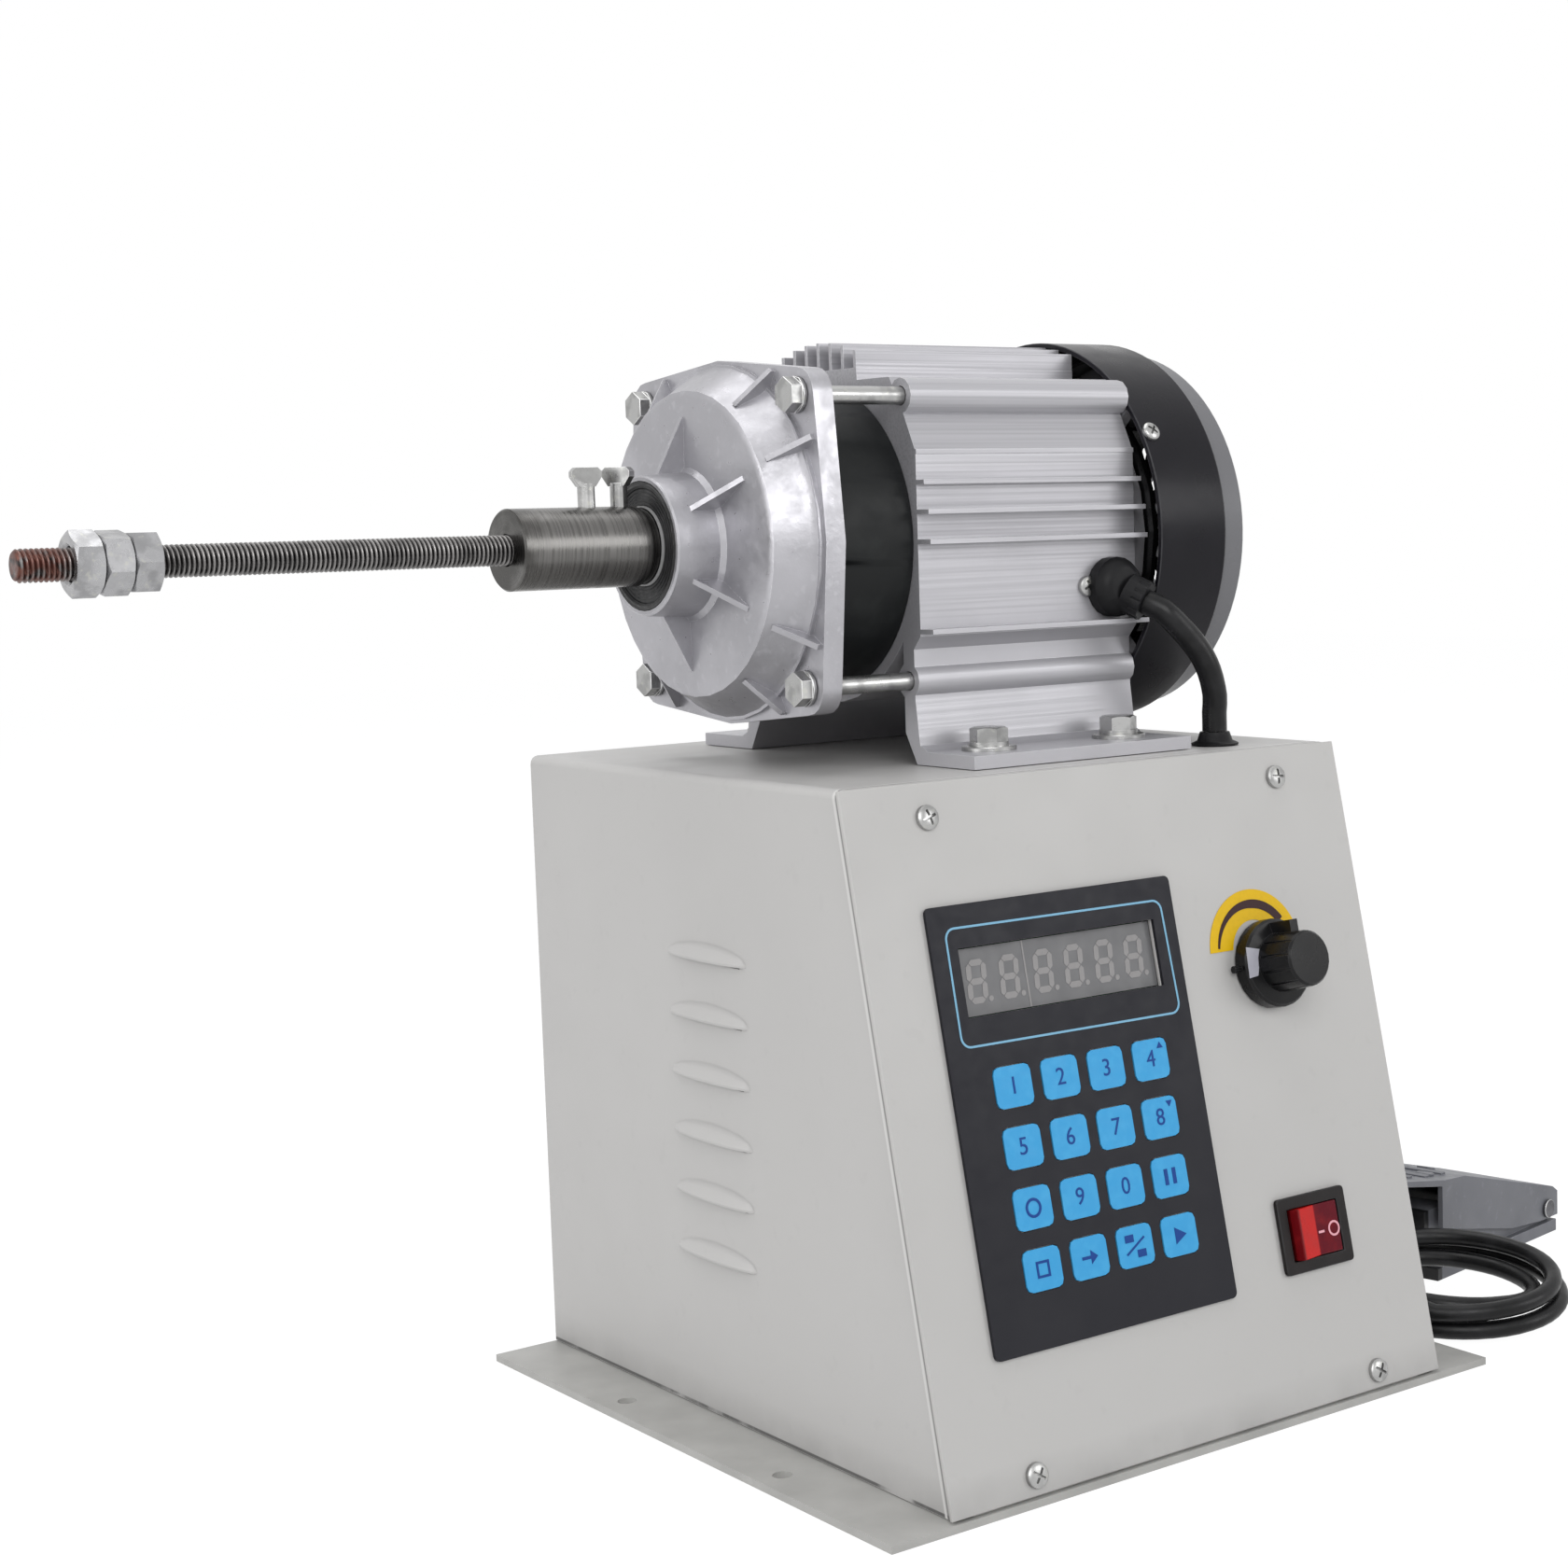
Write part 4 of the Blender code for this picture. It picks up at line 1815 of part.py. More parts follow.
def least_self_gap(points, radius):
    """The least free distance between stretches of the cord that aren't neighbours."""
    reach = [0]
    for first, second in zip(points, points[1:]):
        reach.append(reach[-1] + (second - first).length)
    least = reach[-1]
    for one, first in enumerate(points):
        for two in range(one + 1, len(points) - 1):
            if reach[two] - reach[one] < 8 * radius:
                continue
            start, end = points[two], points[two + 1]
            span = end - start
            share = min(1, max(0, (first - start).dot(span) / span.length_squared))
            least = min(least, (first - start - span * share).length)
    return least - 2 * radius


def relief_point(beyond):
    """A point on the strain relief's axis, this far past its tip."""
    tip = PEDAL_LENGTH + RELIEF_LENGTH + CLEARANCE + beyond
    return pedal_frame() @ Vector((tip, PEDAL_WIDTH / 2 - RELIEF_INSET, RELIEF_HEIGHT))


def beyond_end(points, distance):
    """A point past the last one, straight on."""
    return points[-1] + (points[-1] - points[-2]).normalized() * distance


def build_pedal_cord(parts):
    """The lead from the pedal, the coil beside it, and the tail to the cabinet's back."""
    coil = straight_end(coil_points(), 2 * CORD_RADIUS)
    print(f"pedal_coil: least gap to itself {least_self_gap(coil, CORD_RADIUS) * 1000:.2f} mm")
    tube_object("pedal_coil", coil, CORD_RADIUS, 1, cord_black(), parts)
    lead = [
        relief_point(0),
        relief_point(2 * CORD_RADIUS),
        Vector((0.1565, -0.0303, 0.0209)),
        beyond_end(coil[::-1], 2 * CORD_RADIUS),
        beyond_end(coil[::-1], CLEARANCE),
    ]
    tube_object("pedal_lead", smooth_route(lead, CORD_SPACING / 2), CORD_RADIUS, 2, cord_black(), parts)
    gland_end = BOX_DEPTH / 2 + CORD_GLAND_LENGTH + 2 * CLEARANCE
    tail = [
        beyond_end(coil, CLEARANCE),
        beyond_end(coil, 2 * CORD_RADIUS),
        Vector((0.1612, -0.0287, 0.0125)),
        Vector((0.1515, -0.0185, 0.0078)),
        Vector((0.1428, -0.0045, 0.0044)),
        Vector((0.139, 0.014, 0.0036)),
        Vector((0.1385, 0.05, 0.0036)),
        Vector((0.1375, 0.1, 0.0036)),
        Vector((0.1285, 0.138, 0.0036)),
        Vector((0.108, 0.161, 0.0045)),
        Vector((0.0855, 0.166, 0.0125)),
        Vector((0.0728, 0.1595, 0.0235)),
        Vector((CORD_GLAND_X, gland_end + 2 * CORD_RADIUS, CORD_GLAND_Z)),
        Vector((CORD_GLAND_X, gland_end, CORD_GLAND_Z)),
    ]
    tube_object("pedal_tail", smooth_route(tail, CORD_SPACING), CORD_RADIUS, 2, cord_black(), parts)


def build_cord_gland(parts):
    """The gland in the cabinet's back that the pedal cord goes into."""
    length = CORD_GLAND_LENGTH
    radius = CORD_GLAND_RADIUS
    profile = [
        (0, length),
        (radius * 3 / 4, length),
        (radius, length * 3 / 4),
        (radius, 0),
        (CORD_RADIUS, 0),
        (CORD_RADIUS, -SHEET - CLEARANCE),
        (0, -SHEET - CLEARANCE),
    ]
    at = move(CORD_GLAND_X, BOX_DEPTH / 2 + CLEARANCE, CORD_GLAND_Z) @ turn(-math.pi / 2, "X")
    return turned_object("cord_gland", profile, 16, black_plastic(), parts, at, False)


def main():
    clear_scene()
    parts = new_collection("wire_coil_winding_machine", False)
    cutters = new_collection("cutters", True)
    build_base_plate(parts, cutters)
    build_body_shell(parts, cutters)
    build_back_panel(parts, cutters)
    build_front_panel(parts)
    build_keypad_overlay(parts)
    build_keys(parts)
    build_control_board(parts, cutters)
    build_power_board(parts, cutters)
    build_speed_pot(parts)
    build_speed_knob(parts, cutters)
    build_rocker_bezel(parts, cutters)
    build_rocker(parts)
    build_motor_housing(parts, cutters)
    build_stator(parts)
    build_rotor(parts, cutters)
    build_ring_gear(parts, cutters)
    build_planets(parts)
    build_tie_bolts(parts, cutters)
    build_gear_cover(parts, cutters)
    build_spindle_bearing(parts)
    build_spindle(parts, cutters)
    build_mandrel_rod(parts)
    build_nuts(parts)
    build_wing_screws(parts, cutters)
    build_rear_shield(parts, cutters)
    build_fan(parts, cutters)
    build_fan_cover(parts, cutters)
    build_motor_gland(parts, cutters)
    build_motor_cable(parts)
    build_cable_boot(parts)
    build_pedal_base(parts, cutters)
    build_pedal_treadle(parts, cutters)
    build_pedal_pin(parts)
    build_pedal_cord(parts)
    build_cord_gland(parts)


main()
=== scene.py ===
import math

import bmesh
import bpy
from mathutils import Matrix, Vector
from mathutils.bvhtree import BVHTree


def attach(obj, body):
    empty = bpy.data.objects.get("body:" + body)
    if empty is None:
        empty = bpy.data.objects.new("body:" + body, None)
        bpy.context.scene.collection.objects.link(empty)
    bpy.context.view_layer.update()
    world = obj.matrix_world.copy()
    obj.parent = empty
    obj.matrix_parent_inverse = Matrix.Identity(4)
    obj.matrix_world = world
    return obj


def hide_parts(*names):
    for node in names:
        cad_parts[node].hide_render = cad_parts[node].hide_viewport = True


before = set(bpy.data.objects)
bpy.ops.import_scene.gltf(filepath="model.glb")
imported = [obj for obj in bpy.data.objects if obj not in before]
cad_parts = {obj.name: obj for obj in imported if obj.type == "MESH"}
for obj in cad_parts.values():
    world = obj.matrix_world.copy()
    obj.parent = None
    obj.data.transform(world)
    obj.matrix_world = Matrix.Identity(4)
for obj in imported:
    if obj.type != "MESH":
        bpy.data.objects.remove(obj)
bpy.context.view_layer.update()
print("frame loaded")

# sizes in metres; panelInward points from the sloped panel into the cabinet
cabinet = {"width": 0.208, "depth": 0.2455, "topDepth": 0.197, "height": 0.219}
axisLine = {"y": 0.02425, "z": 0.294}
panelInward = (0, 0.97634, -0.216246)


def helper(name, data):
    thing = bpy.data.objects.new(name, data)
    bpy.context.scene.collection.objects.link(thing)
    return thing


def meshFrom(shape, name):
    mesh = bpy.data.meshes.new(name)
    shape.to_mesh(mesh)
    shape.free()
    return mesh


def addNode(tree, kind, sockets=None, **settings):
    # each named or numbered socket gets a value or another node's output
    made = tree.nodes.new(kind)
    for label, value in settings.items():
        setattr(made, label, value)
    for label, value in (sockets or {}).items():
        if isinstance(value, bpy.types.NodeSocket):
            tree.links.new(value, made.inputs[label])
        else:
            made.inputs[label].default_value = value
    return made


def maths(tree, operation, *values):
    return addNode(tree, "ShaderNodeMath", dict(enumerate(values)), operation=operation).outputs[0]


def vectors(tree, operation, *values):
    return addNode(tree, "ShaderNodeVectorMath", dict(enumerate(values)), operation=operation).outputs


def newTree(kind, name, inputs, outputs, outKind="NodeSocketFloat"):
    # an input is given by its default value or by its kind of socket
    tree = bpy.data.node_groups.new(name, kind)
    kinds = {float: "NodeSocketFloat", int: "NodeSocketInt", tuple: "NodeSocketVector"}
    for label, value in inputs.items():
        named = isinstance(value, str)
        kept = value if named else kinds[type(value)]
        socket = tree.interface.new_socket(label, in_out="INPUT", socket_type=kept)
        if not named:
            socket.default_value = value
    for label in outputs:
        tree.interface.new_socket(label, in_out="OUTPUT", socket_type=outKind)
    return tree, tree.nodes.new("NodeGroupInput").outputs, tree.nodes.new("NodeGroupOutput").inputs


camera = {
    "place": (-0.5631, -0.7412, 0.3011),
    "yaw": 38.3609,
    "pitch": 5.75,
    "roll": -1.4985,
    "lens": 61.4351,
    "shift": -0.15,
}


def buildCamera():
    yaw, pitch, roll = (math.radians(camera[key]) for key in ("yaw", "pitch", "roll"))
    ahead = Vector((math.sin(yaw) * math.cos(pitch), math.cos(yaw) * math.cos(pitch), -math.sin(pitch)))
    level = Vector((math.cos(yaw), -math.sin(yaw), 0))
    above = level.cross(ahead)
    right = level * math.cos(roll) + above * math.sin(roll)
    up = above * math.cos(roll) - level * math.sin(roll)
    lens = bpy.data.cameras.new("camera")
    lens.lens = camera["lens"]
    lens.sensor_width = 36
    lens.shift_x = camera["shift"]
    lens.clip_start = 0.01
    thing = helper("camera", lens)
    turned = Matrix((right, up, -ahead)).transposed().to_4x4()
    thing.matrix_world = Matrix.Translation(camera["place"]) @ turned
    bpy.context.scene.camera = thing


room = {
    "floorSize": 8.0,
    "floorDrop": 0.0003,
    "floorColor": (0.75, 0.75, 0.75),
    "floorGlow": 0.85,
    "floorStrength": 1.13,
    "worldColor": (0.97, 0.98, 1.0),
    "worldStrength": 0.32,
    "lampAim": (0, 0, 0.15),
    "lamps": [
        ("keyLamp", (-1.0, -1.9, 1.3), 1.6, 20.5),
        ("fillLamp", (1.1, -1.7, 0.8), 1.0, 8.2),
        ("topLamp", (-0.1, 0.3, 1.9), 1.8, 14.0),
        ("sideLamp", (-2.1, 0.2, 0.8), 1.5, 14.5),
    ],
}


def lookRays(tree):
    # camera, mirror and glass rays see the plain white room
    rays = addNode(tree, "ShaderNodeLightPath").outputs
    first = maths(tree, "MAXIMUM", rays["Is Camera Ray"], rays["Is Glossy Ray"])
    return maths(tree, "MAXIMUM", first, rays["Is Transmission Ray"])


def emptyTree(owner):
    owner.use_nodes = True
    owner.node_tree.nodes.clear()
    return owner.node_tree


def mixedOut(tree, share, lit, seen, kind):
    mix = addNode(tree, "ShaderNodeMixShader", {0: share, 1: lit.outputs[0], 2: seen.outputs[0]})
    addNode(tree, kind, {"Surface": mix.outputs[0]})


def buildRoom():
    world = bpy.data.worlds.new("room")
    bpy.context.scene.world = world
    tree = emptyTree(world)
    values = {"Color": (*room["worldColor"], 1), "Strength": room["worldStrength"]}
    lit = addNode(tree, "ShaderNodeBackground", values)
    seen = addNode(tree, "ShaderNodeBackground", {"Color": (1, 1, 1, 1)})
    mixedOut(tree, lookRays(tree), lit, seen, "ShaderNodeOutputWorld")

    paper = bpy.data.materials.new("floorPaper")
    tree = emptyTree(paper)
    matt = addNode(tree, "ShaderNodeBsdfDiffuse", {"Color": (*room["floorColor"], 1)})
    glow = addNode(tree, "ShaderNodeEmission", {"Strength": room["floorStrength"]})
    share = maths(tree, "MULTIPLY", lookRays(tree), room["floorGlow"])
    mixedOut(tree, share, matt, glow, "ShaderNodeOutputMaterial")
    shape = bmesh.new()
    bmesh.ops.create_grid(shape, x_segments=1, y_segments=1, size=room["floorSize"] / 2)
    mesh = meshFrom(shape, "floor")
    mesh.transform(Matrix.Translation((0, 0, -room["floorDrop"])))
    mesh.materials.append(paper)
    helper("floor", mesh)

    for name, place, size, power in room["lamps"]:
        lamp = bpy.data.lights.new(name, "AREA")
        lamp.shape = "DISK"
        lamp.size = size
        lamp.energy = power
        thing = helper(name, lamp)
        thing.location = place
        aim = Vector(room["lampAim"]) - Vector(place)
        thing.rotation_mode = "QUATERNION"
        thing.rotation_quaternion = aim.to_track_quat("-Z", "Y")
    bpy.context.scene.view_settings.view_transform = "Standard"


buildCamera()
buildRoom()
print("camera and room ready")


def effectTree(name, inputs, outputs):
    tree, given, leave = newTree("ShaderNodeTree", name, inputs, outputs)
    return tree, given, leave, addNode(tree, "ShaderNodeTexCoord").outputs["Object"]


def buildGrain():
    # noise on object coordinates, stretched along an axis for brushed or drawn metal
    inputs = {"Scale": 100.0, "Detail": 3.0, "Stretch": (1, 1, 1)}
    tree, given, leave, place = effectTree("surfaceGrain", inputs, ["Value"])
    drawn = vectors(tree, "MULTIPLY", place, given["Stretch"])[0]
    values = {"Vector": drawn, "Scale": given["Scale"], "Detail": given["Detail"]}
    noise = addNode(tree, "ShaderNodeTexNoise", values)
    tree.links.new(noise.outputs["Fac"], leave["Value"])
    return tree


def buildPatches():
    # soft-edged patches, for rubbed paint, oil and dust
    inputs = {"Scale": 20.0, "From": 0.5, "To": 0.7, "Amount": 1.0}
    tree, given, leave, place = effectTree("wearPatches", inputs, ["Mask"])
    noise = addNode(tree, "ShaderNodeTexNoise", {"Vector": place, "Scale": given["Scale"], "Detail": 6})
    ends = {"From Min": given["From"], "From Max": given["To"], "To Max": given["Amount"]}
    values = {"Value": noise.outputs["Fac"], **ends}
    spread = addNode(tree, "ShaderNodeMapRange", values, interpolation_type="SMOOTHSTEP")
    tree.links.new(spread.outputs["Result"], leave["Mask"])
    return tree


def buildStep():
    # 0 to 1 as the object coordinate along Direction passes Place
    inputs = {"Direction": (1, 0, 0), "Place": 0.0, "Blur": 0.001}
    tree, given, leave, place = effectTree("placeStep", inputs, ["Mask"])
    along = vectors(tree, "DOT_PRODUCT", place, given["Direction"])["Value"]
    reach = maths(tree, "ADD", given["Place"], given["Blur"])
    values = {"Value": along, "From Min": given["Place"], "From Max": reach}
    spread = addNode(tree, "ShaderNodeMapRange", values)
    tree.links.new(spread.outputs["Result"], leave["Mask"])
    return tree


def buildRadius():
    # distance from the spindle's axis, and rings that are cut round it
    tree, given, leave, place = effectTree("spindleRings", {"Scale": 900.0}, ["Radius", "Rings"])
    centred = vectors(tree, "SUBTRACT", place, (0, axisLine["y"], axisLine["z"]))[0]
    reach = vectors(tree, "LENGTH", vectors(tree, "MULTIPLY", centred, (0, 1, 1))[0])["Value"]
    along = addNode(tree, "ShaderNodeSeparateXYZ", {0: place}).outputs["X"]
    turned = addNode(tree, "ShaderNodeCombineXYZ", {"X": along, "Y": reach}).outputs[0]
    noise = addNode(tree, "ShaderNodeTexNoise", {"Vector": turned, "Scale": given["Scale"], "Detail": 4})
    tree.links.new(reach, leave["Radius"])
    tree.links.new(noise.outputs["Fac"], leave["Rings"])
    return tree


surfaceGrain = buildGrain()
wearPatches = buildPatches()
placeStep = buildStep()
spindleRings = buildRadius()


class Finish:
    # one material: its Principled shader and the few steps that every finish here is built from
    def __init__(self, name, color, roughness, metallic=0.0, coat=0.0, gloss=0.5):
        self.material = bpy.data.materials.new(name)
        self.material.use_nodes = True
        self.tree = self.material.node_tree
        self.shader = self.tree.nodes["Principled BSDF"]
        self.color = (*color, 1)
        values = {
            "Base Color": self.color, "Roughness": roughness, "Metallic": metallic,
            "Coat Weight": coat, "Coat Roughness": 0.15, "Specular IOR Level": gloss,
        }
        for label, value in values.items():
            self.shader.inputs[label].default_value = value

    def effect(self, group, output, **values):
        return addNode(self.tree, "ShaderNodeGroup", values, node_tree=group).outputs[output]

    def grain(self, scale, stretch=(1, 1, 1), detail=3.0):
        return self.effect(surfaceGrain, "Value", Scale=scale, Stretch=stretch, Detail=detail)

    def patches(self, scale, low, high, amount=1.0):
        return self.effect(wearPatches, "Mask", Scale=scale, From=low, To=high, Amount=amount)

    def step(self, direction, place, blur=0.0005):
        return self.effect(placeStep, "Mask", Direction=direction, Place=place, Blur=blur)

    def below(self, direction, place, blur):
        return self.join(1, self.step(direction, place, blur), "SUBTRACT")

    def band(self, direction, start, end, blur=0.0001):
        return self.join(self.step(direction, start, blur), self.step(direction, end, blur), "SUBTRACT")

    def join(self, first, second, operation="MULTIPLY"):
        return maths(self.tree, operation, first, second)

    def spread(self, value, low, high, toLow=0.0, toHigh=1.0):
        values = {"Value": value, "From Min": low, "From Max": high, "To Min": toLow, "To Max": toHigh}
        return addNode(self.tree, "ShaderNodeMapRange", values).outputs["Result"]

    def blend(self, mask, color):
        # lays color over what is there, where the mask is 1
        values = {"Factor": mask, "A": self.color, "B": (*color, 1)}
        self.color = addNode(self.tree, "ShaderNodeMix", values, data_type="RGBA").outputs["Result"]
        self.tree.links.new(self.color, self.shader.inputs["Base Color"])

    def wear(self, scale, low, high, amount, color):
        # patches of a second color, softly from low to high
        self.blend(self.patches(scale, low, high, amount), color)

    def edges(self, color, amount=0.8):
        # the eased edges that smoothCopy marks, painted brighter than the faces: a painted highlight on the
        # rims, broken up like rubbed wear
        marked = addNode(self.tree, "ShaderNodeAttribute", attribute_name="edgeSheenAndWear").outputs["Fac"]
        sheenAndRub = self.spread(self.grain(160), 0.3, 0.55, 0.35 * amount, amount)
        self.blend(self.join(marked, sheenAndRub), color)

    def rough(self, value, low, high):
        self.tree.links.new(self.spread(value, 0.3, 0.7, low, high), self.shader.inputs["Roughness"])

    def bump(self, value, strength, distance=0.0002):
        values = {"Strength": strength, "Distance": distance, "Height": value}
        made = addNode(self.tree, "ShaderNodeBump", values)
        self.tree.links.new(made.outputs["Normal"], self.shader.inputs["Normal"])

    def surface(self, rough, bumpScale=0, strength=0.1, detail=3.0, distance=0.0002):
        # rough is its grain's scale with the least and the most roughness
        self.rough(self.grain(rough[0]), *rough[1:])
        if bumpScale:
            self.bump(self.grain(bumpScale, detail=detail), strength, distance)
        return self.material


def shade(color, factor):
    return tuple(min(1, channel * factor) for channel in color)


def plainFinish(name, color, roughness, worn, rough, *bump, **shader):
    # worn is a patch's scale, its limits, its amount and its color
    made = Finish(name, color, roughness, **shader)
    made.wear(*worn)
    return made.surface(rough, *bump)


def sheetPaint(name, color, seam=None, joint=None):
    # seam is where the panel's folded edge lies, with a painted shade line and a painted highlight line along
    # it; the last argument is the height of the gap above the flange, where a painted shadow line goes
    made = Finish(name, color, 0.42, gloss=0.35)
    made.wear(9, 0.42, 0.66, 0.5, shade(color, 0.96))
    made.wear(160, 0.62, 0.72, 0.3, shade(color, 0.92))
    made.blend(made.join(made.below((0, 0, 1), 0.003, 0.012), made.grain(60)), shade(color, 0.66))
    if joint:
        # a painted shadow line in the gap above the flange, broken up by patches
        gap = made.band((0, 0, 1), joint - 0.0002, joint + 0.0009, 0.0003)
        made.blend(made.join(gap, made.patches(38, 0.36, 0.5, 0.85)), shade(color, 0.12))
    if seam:
        # a painted shade line in the seam, then a painted highlight line along the fold beside it
        dark = made.band(panelInward, seam, seam + 0.0007, 0.0002)
        made.blend(made.join(dark, 0.8), shade(color, 0.42))
        made.blend(made.band(panelInward, seam + 0.0009, seam + 0.0021, 0.0003), shade(color, 1.25))
    return made.surface((45, 0.38, 0.52), 950, 0.1, 2)


inlet = {"x": (-0.0757, -0.0443), "z": (0.0328, 0.0572), "color": (0.012, 0.012, 0.013)}


def backPaint(name, color):
    # the painted back with its black moulded inlet
    made = Finish(name, color, 0.42, gloss=0.35)
    made.wear(9, 0.42, 0.66, 0.5, shade(color, 0.96))
    inside = made.join(made.band((1, 0, 0), *inlet["x"]), made.band((0, 0, 1), *inlet["z"]))
    made.blend(inside, inlet["color"])
    return made.surface((45, 0.38, 0.52), 950, 0.1, 2)


def castAlloy(name, color):
    made = Finish(name, color, 0.36, 0.68)
    made.wear(26, 0.42, 0.62, 0.75, shade(color, 0.8))
    made.wear(300, 0.56, 0.7, 0.35, shade(color, 1.2))
    # a near-white painted highlight on the cover's eased rims
    made.edges((0.95, 0.95, 0.97), 1.2)
    return made.surface((220, 0.27, 0.46), 700, 0.3, 4)


def drawnAlloy(name, color):
    # the extrusion's lines run along the motor and fade towards its feet
    made = Finish(name, color, 0.42, 0.4)
    lines = made.grain(1100, (0.006, 1, 1), 2)
    fade = made.join(made.spread(lines, 0.42, 0.66, 0, 0.6), made.step((0, 0, 1), 0.255, 0.03))
    made.blend(fade, shade(color, 0.76))
    made.wear(22, 0.48, 0.7, 0.45, shade(color, 0.86))
    # a painted highlight on the fins' eased edges
    made.edges((0.8, 0.8, 0.82))
    made.rough(lines, 0.34, 0.5)
    made.bump(made.join(lines, made.step((0, 0, 1), 0.25, 0.03)), 0.16)
    return made.material


def turnedSteel(name, color, oil):
    made = Finish(name, color, 0.3, 1.0)
    rings = made.effect(spindleRings, "Rings", Scale=1500.0)
    made.blend(made.spread(rings, 0.42, 0.62, 0, 0.6), shade(color, 1.6))
    made.wear(45, 0.45, 0.62, 0.8, oil)
    made.rough(rings, 0.2, 0.36)
    made.bump(rings, 0.12)
    return made.material


thread = {"groove": 0.0043, "crest": 0.00482, "rustTo": -0.3045, "rustBlur": 0.006}


def threadSteel(name, color):
    # dark in the thread's grooves and bright on its crests: the bright crests are a painted highlight and the
    # dark grooves painted shade, broken up like rubbed wear; rusted at the tip
    made = Finish(name, color, 0.36, 0.85)
    crest = made.spread(made.effect(spindleRings, "Radius"), thread["groove"], thread["crest"])
    made.blend(made.join(crest, made.spread(made.grain(130), 0.3, 0.62, 0.45, 1)), (0.31, 0.3, 0.295))
    tip = made.below((1, 0, 0), thread["rustTo"], thread["rustBlur"])
    made.blend(made.join(tip, made.patches(260, 0.34, 0.56, 0.85)), (0.15, 0.06, 0.045))
    return made.surface((400, 0.3, 0.5), 1500, 0.15)


def zincPlate(name, color, roughness):
    made = Finish(name, color, roughness, 0.92)
    made.wear(150, 0.44, 0.62, 0.7, shade(color, 0.62))
    # a painted highlight on the eased edges
    made.edges((0.8, 0.8, 0.8), 0.7)
    made.wear(420, 0.58, 0.7, 0.4, (0.52, 0.52, 0.46))
    return made.surface((300, roughness * 0.8, roughness * 1.4), 900, 0.14)


bearing = {"innerRace": (0.0126, 0.0127, 0.0131, 0.0132), "outerRace": (0.0195, 0.0197), "ribs": 5200.0}


def sealedBearing(name, color):
    # steel races with a ribbed black seal between them
    made = Finish(name, color, 0.38, gloss=0.25)
    radius = made.effect(spindleRings, "Radius")
    rise, fall = bearing["innerRace"][:2], bearing["innerRace"][2:]
    made.blend(made.join(made.spread(radius, *rise), made.spread(radius, *fall, 1, 0)), (0.3, 0.3, 0.3))
    made.blend(made.join(made.spread(radius, *bearing["outerRace"]), 0.55), (0.06, 0.06, 0.06))
    made.rough(made.grain(300), 0.28, 0.5)
    made.bump(maths(made.tree, "SINE", made.join(radius, bearing["ribs"])), 0.5, 0.0003)
    return made.material


def blackMoulding(name, color, roughness, coat=0.0):
    made = Finish(name, color, roughness, coat=coat, gloss=0.16)
    made.wear(60, 0.48, 0.7, 0.6, shade(color, 1.8))
    # a painted highlight on the eased edges
    made.edges((0.05, 0.05, 0.052))
    return made.surface((120, roughness * 0.8, roughness * 1.35), 1400, 0.1, 2)


def fanCoverPaint(name, color):
    # gloss black cup with a paler cap at its far end
    made = Finish(name, color, 0.28, coat=0.1, gloss=0.12)
    made.wear(40, 0.5, 0.7, 0.5, (0.012, 0.011, 0.015))
    # a painted highlight on the eased edges
    made.edges((0.06, 0.06, 0.065))
    made.blend(made.step((1, 0, 0), 0.0862, 0.0003), (0.19, 0.19, 0.2))
    return made.surface((80, 0.24, 0.38), 700, 0.12, 2)


def boardLaminate(name, color):
    made = Finish(name, color, 0.4, gloss=0.3)
    made.wear(120, 0.5, 0.56, 0.7, (0.035, 0.2, 0.08))
    # the display block and the parts that stand on the boards
    outward = tuple(-part for part in panelInward)
    made.blend(made.step(outward, 0.1148, 0.0002), (0.165, 0.165, 0.17))
    return made.surface((200, 0.3, 0.5))


def copperCoils(name, color):
    made = Finish(name, color, 0.35, 0.9)
    made.blend(made.spread(made.grain(900, (1, 0.1, 0.1)), 0.45, 0.55), (0.2, 0.08, 0.04))
    return made.surface((200, 0.3, 0.5))


rockerHalves = {"edgeTo": 0.0478, "pressedFrom": 0.0570}


def rockerLens(name, color):
    # the raised left half is bright, the pressed right half lies in the bezel's shade
    made = Finish(name, color, 0.2, coat=0.06, gloss=0.08)
    made.blend(made.step((1, 0, 0), rockerHalves["pressedFrom"], 0.0008), (0.12, 0.006, 0.014))
    # a darker strip along the left edge: painted shade beside the bezel
    made.blend(made.below((1, 0, 0), rockerHalves["edgeTo"], 0.0012), (0.16, 0.005, 0.008))
    made.wear(140, 0.45, 0.7, 0.3, (0.4, 0.02, 0.02))
    return made.surface((150, 0.16, 0.3))


# the region under the toe that gets painted shade
toeHollowShade = {"direction": (-0.98196, -0.18910, 0), "from": -0.1836, "under": 0.0355}


def pedalPaint(name, color):
    made = Finish(name, color, 0.46, gloss=0.35)
    made.wear(35, 0.42, 0.66, 0.6, shade(color, 0.82))
    made.wear(300, 0.6, 0.7, 0.5, shade(color, 1.3))
    # a painted highlight on the eased edges
    made.edges(shade(color, 1.7), 0.6)
    # the hollow under the toe is painted near-black: painted shade in the hollow, which also makes the cord
    # relief there black like its rubber
    hollowShadeMask = made.step(toeHollowShade["direction"], toeHollowShade["from"], 0.001)
    made.blend(made.join(hollowShadeMask, made.below((0, 0, 1), toeHollowShade["under"], 0.001)), (0.01, 0.01, 0.011))
    return made.surface((90, 0.38, 0.55), 1300, 0.16, 2)


def printInk(name, color):
    made = Finish(name, color, 0.4, gloss=0.2)
    made.wear(700, 0.42, 0.7, 0.3, shade(color, 0.85))
    return made.material


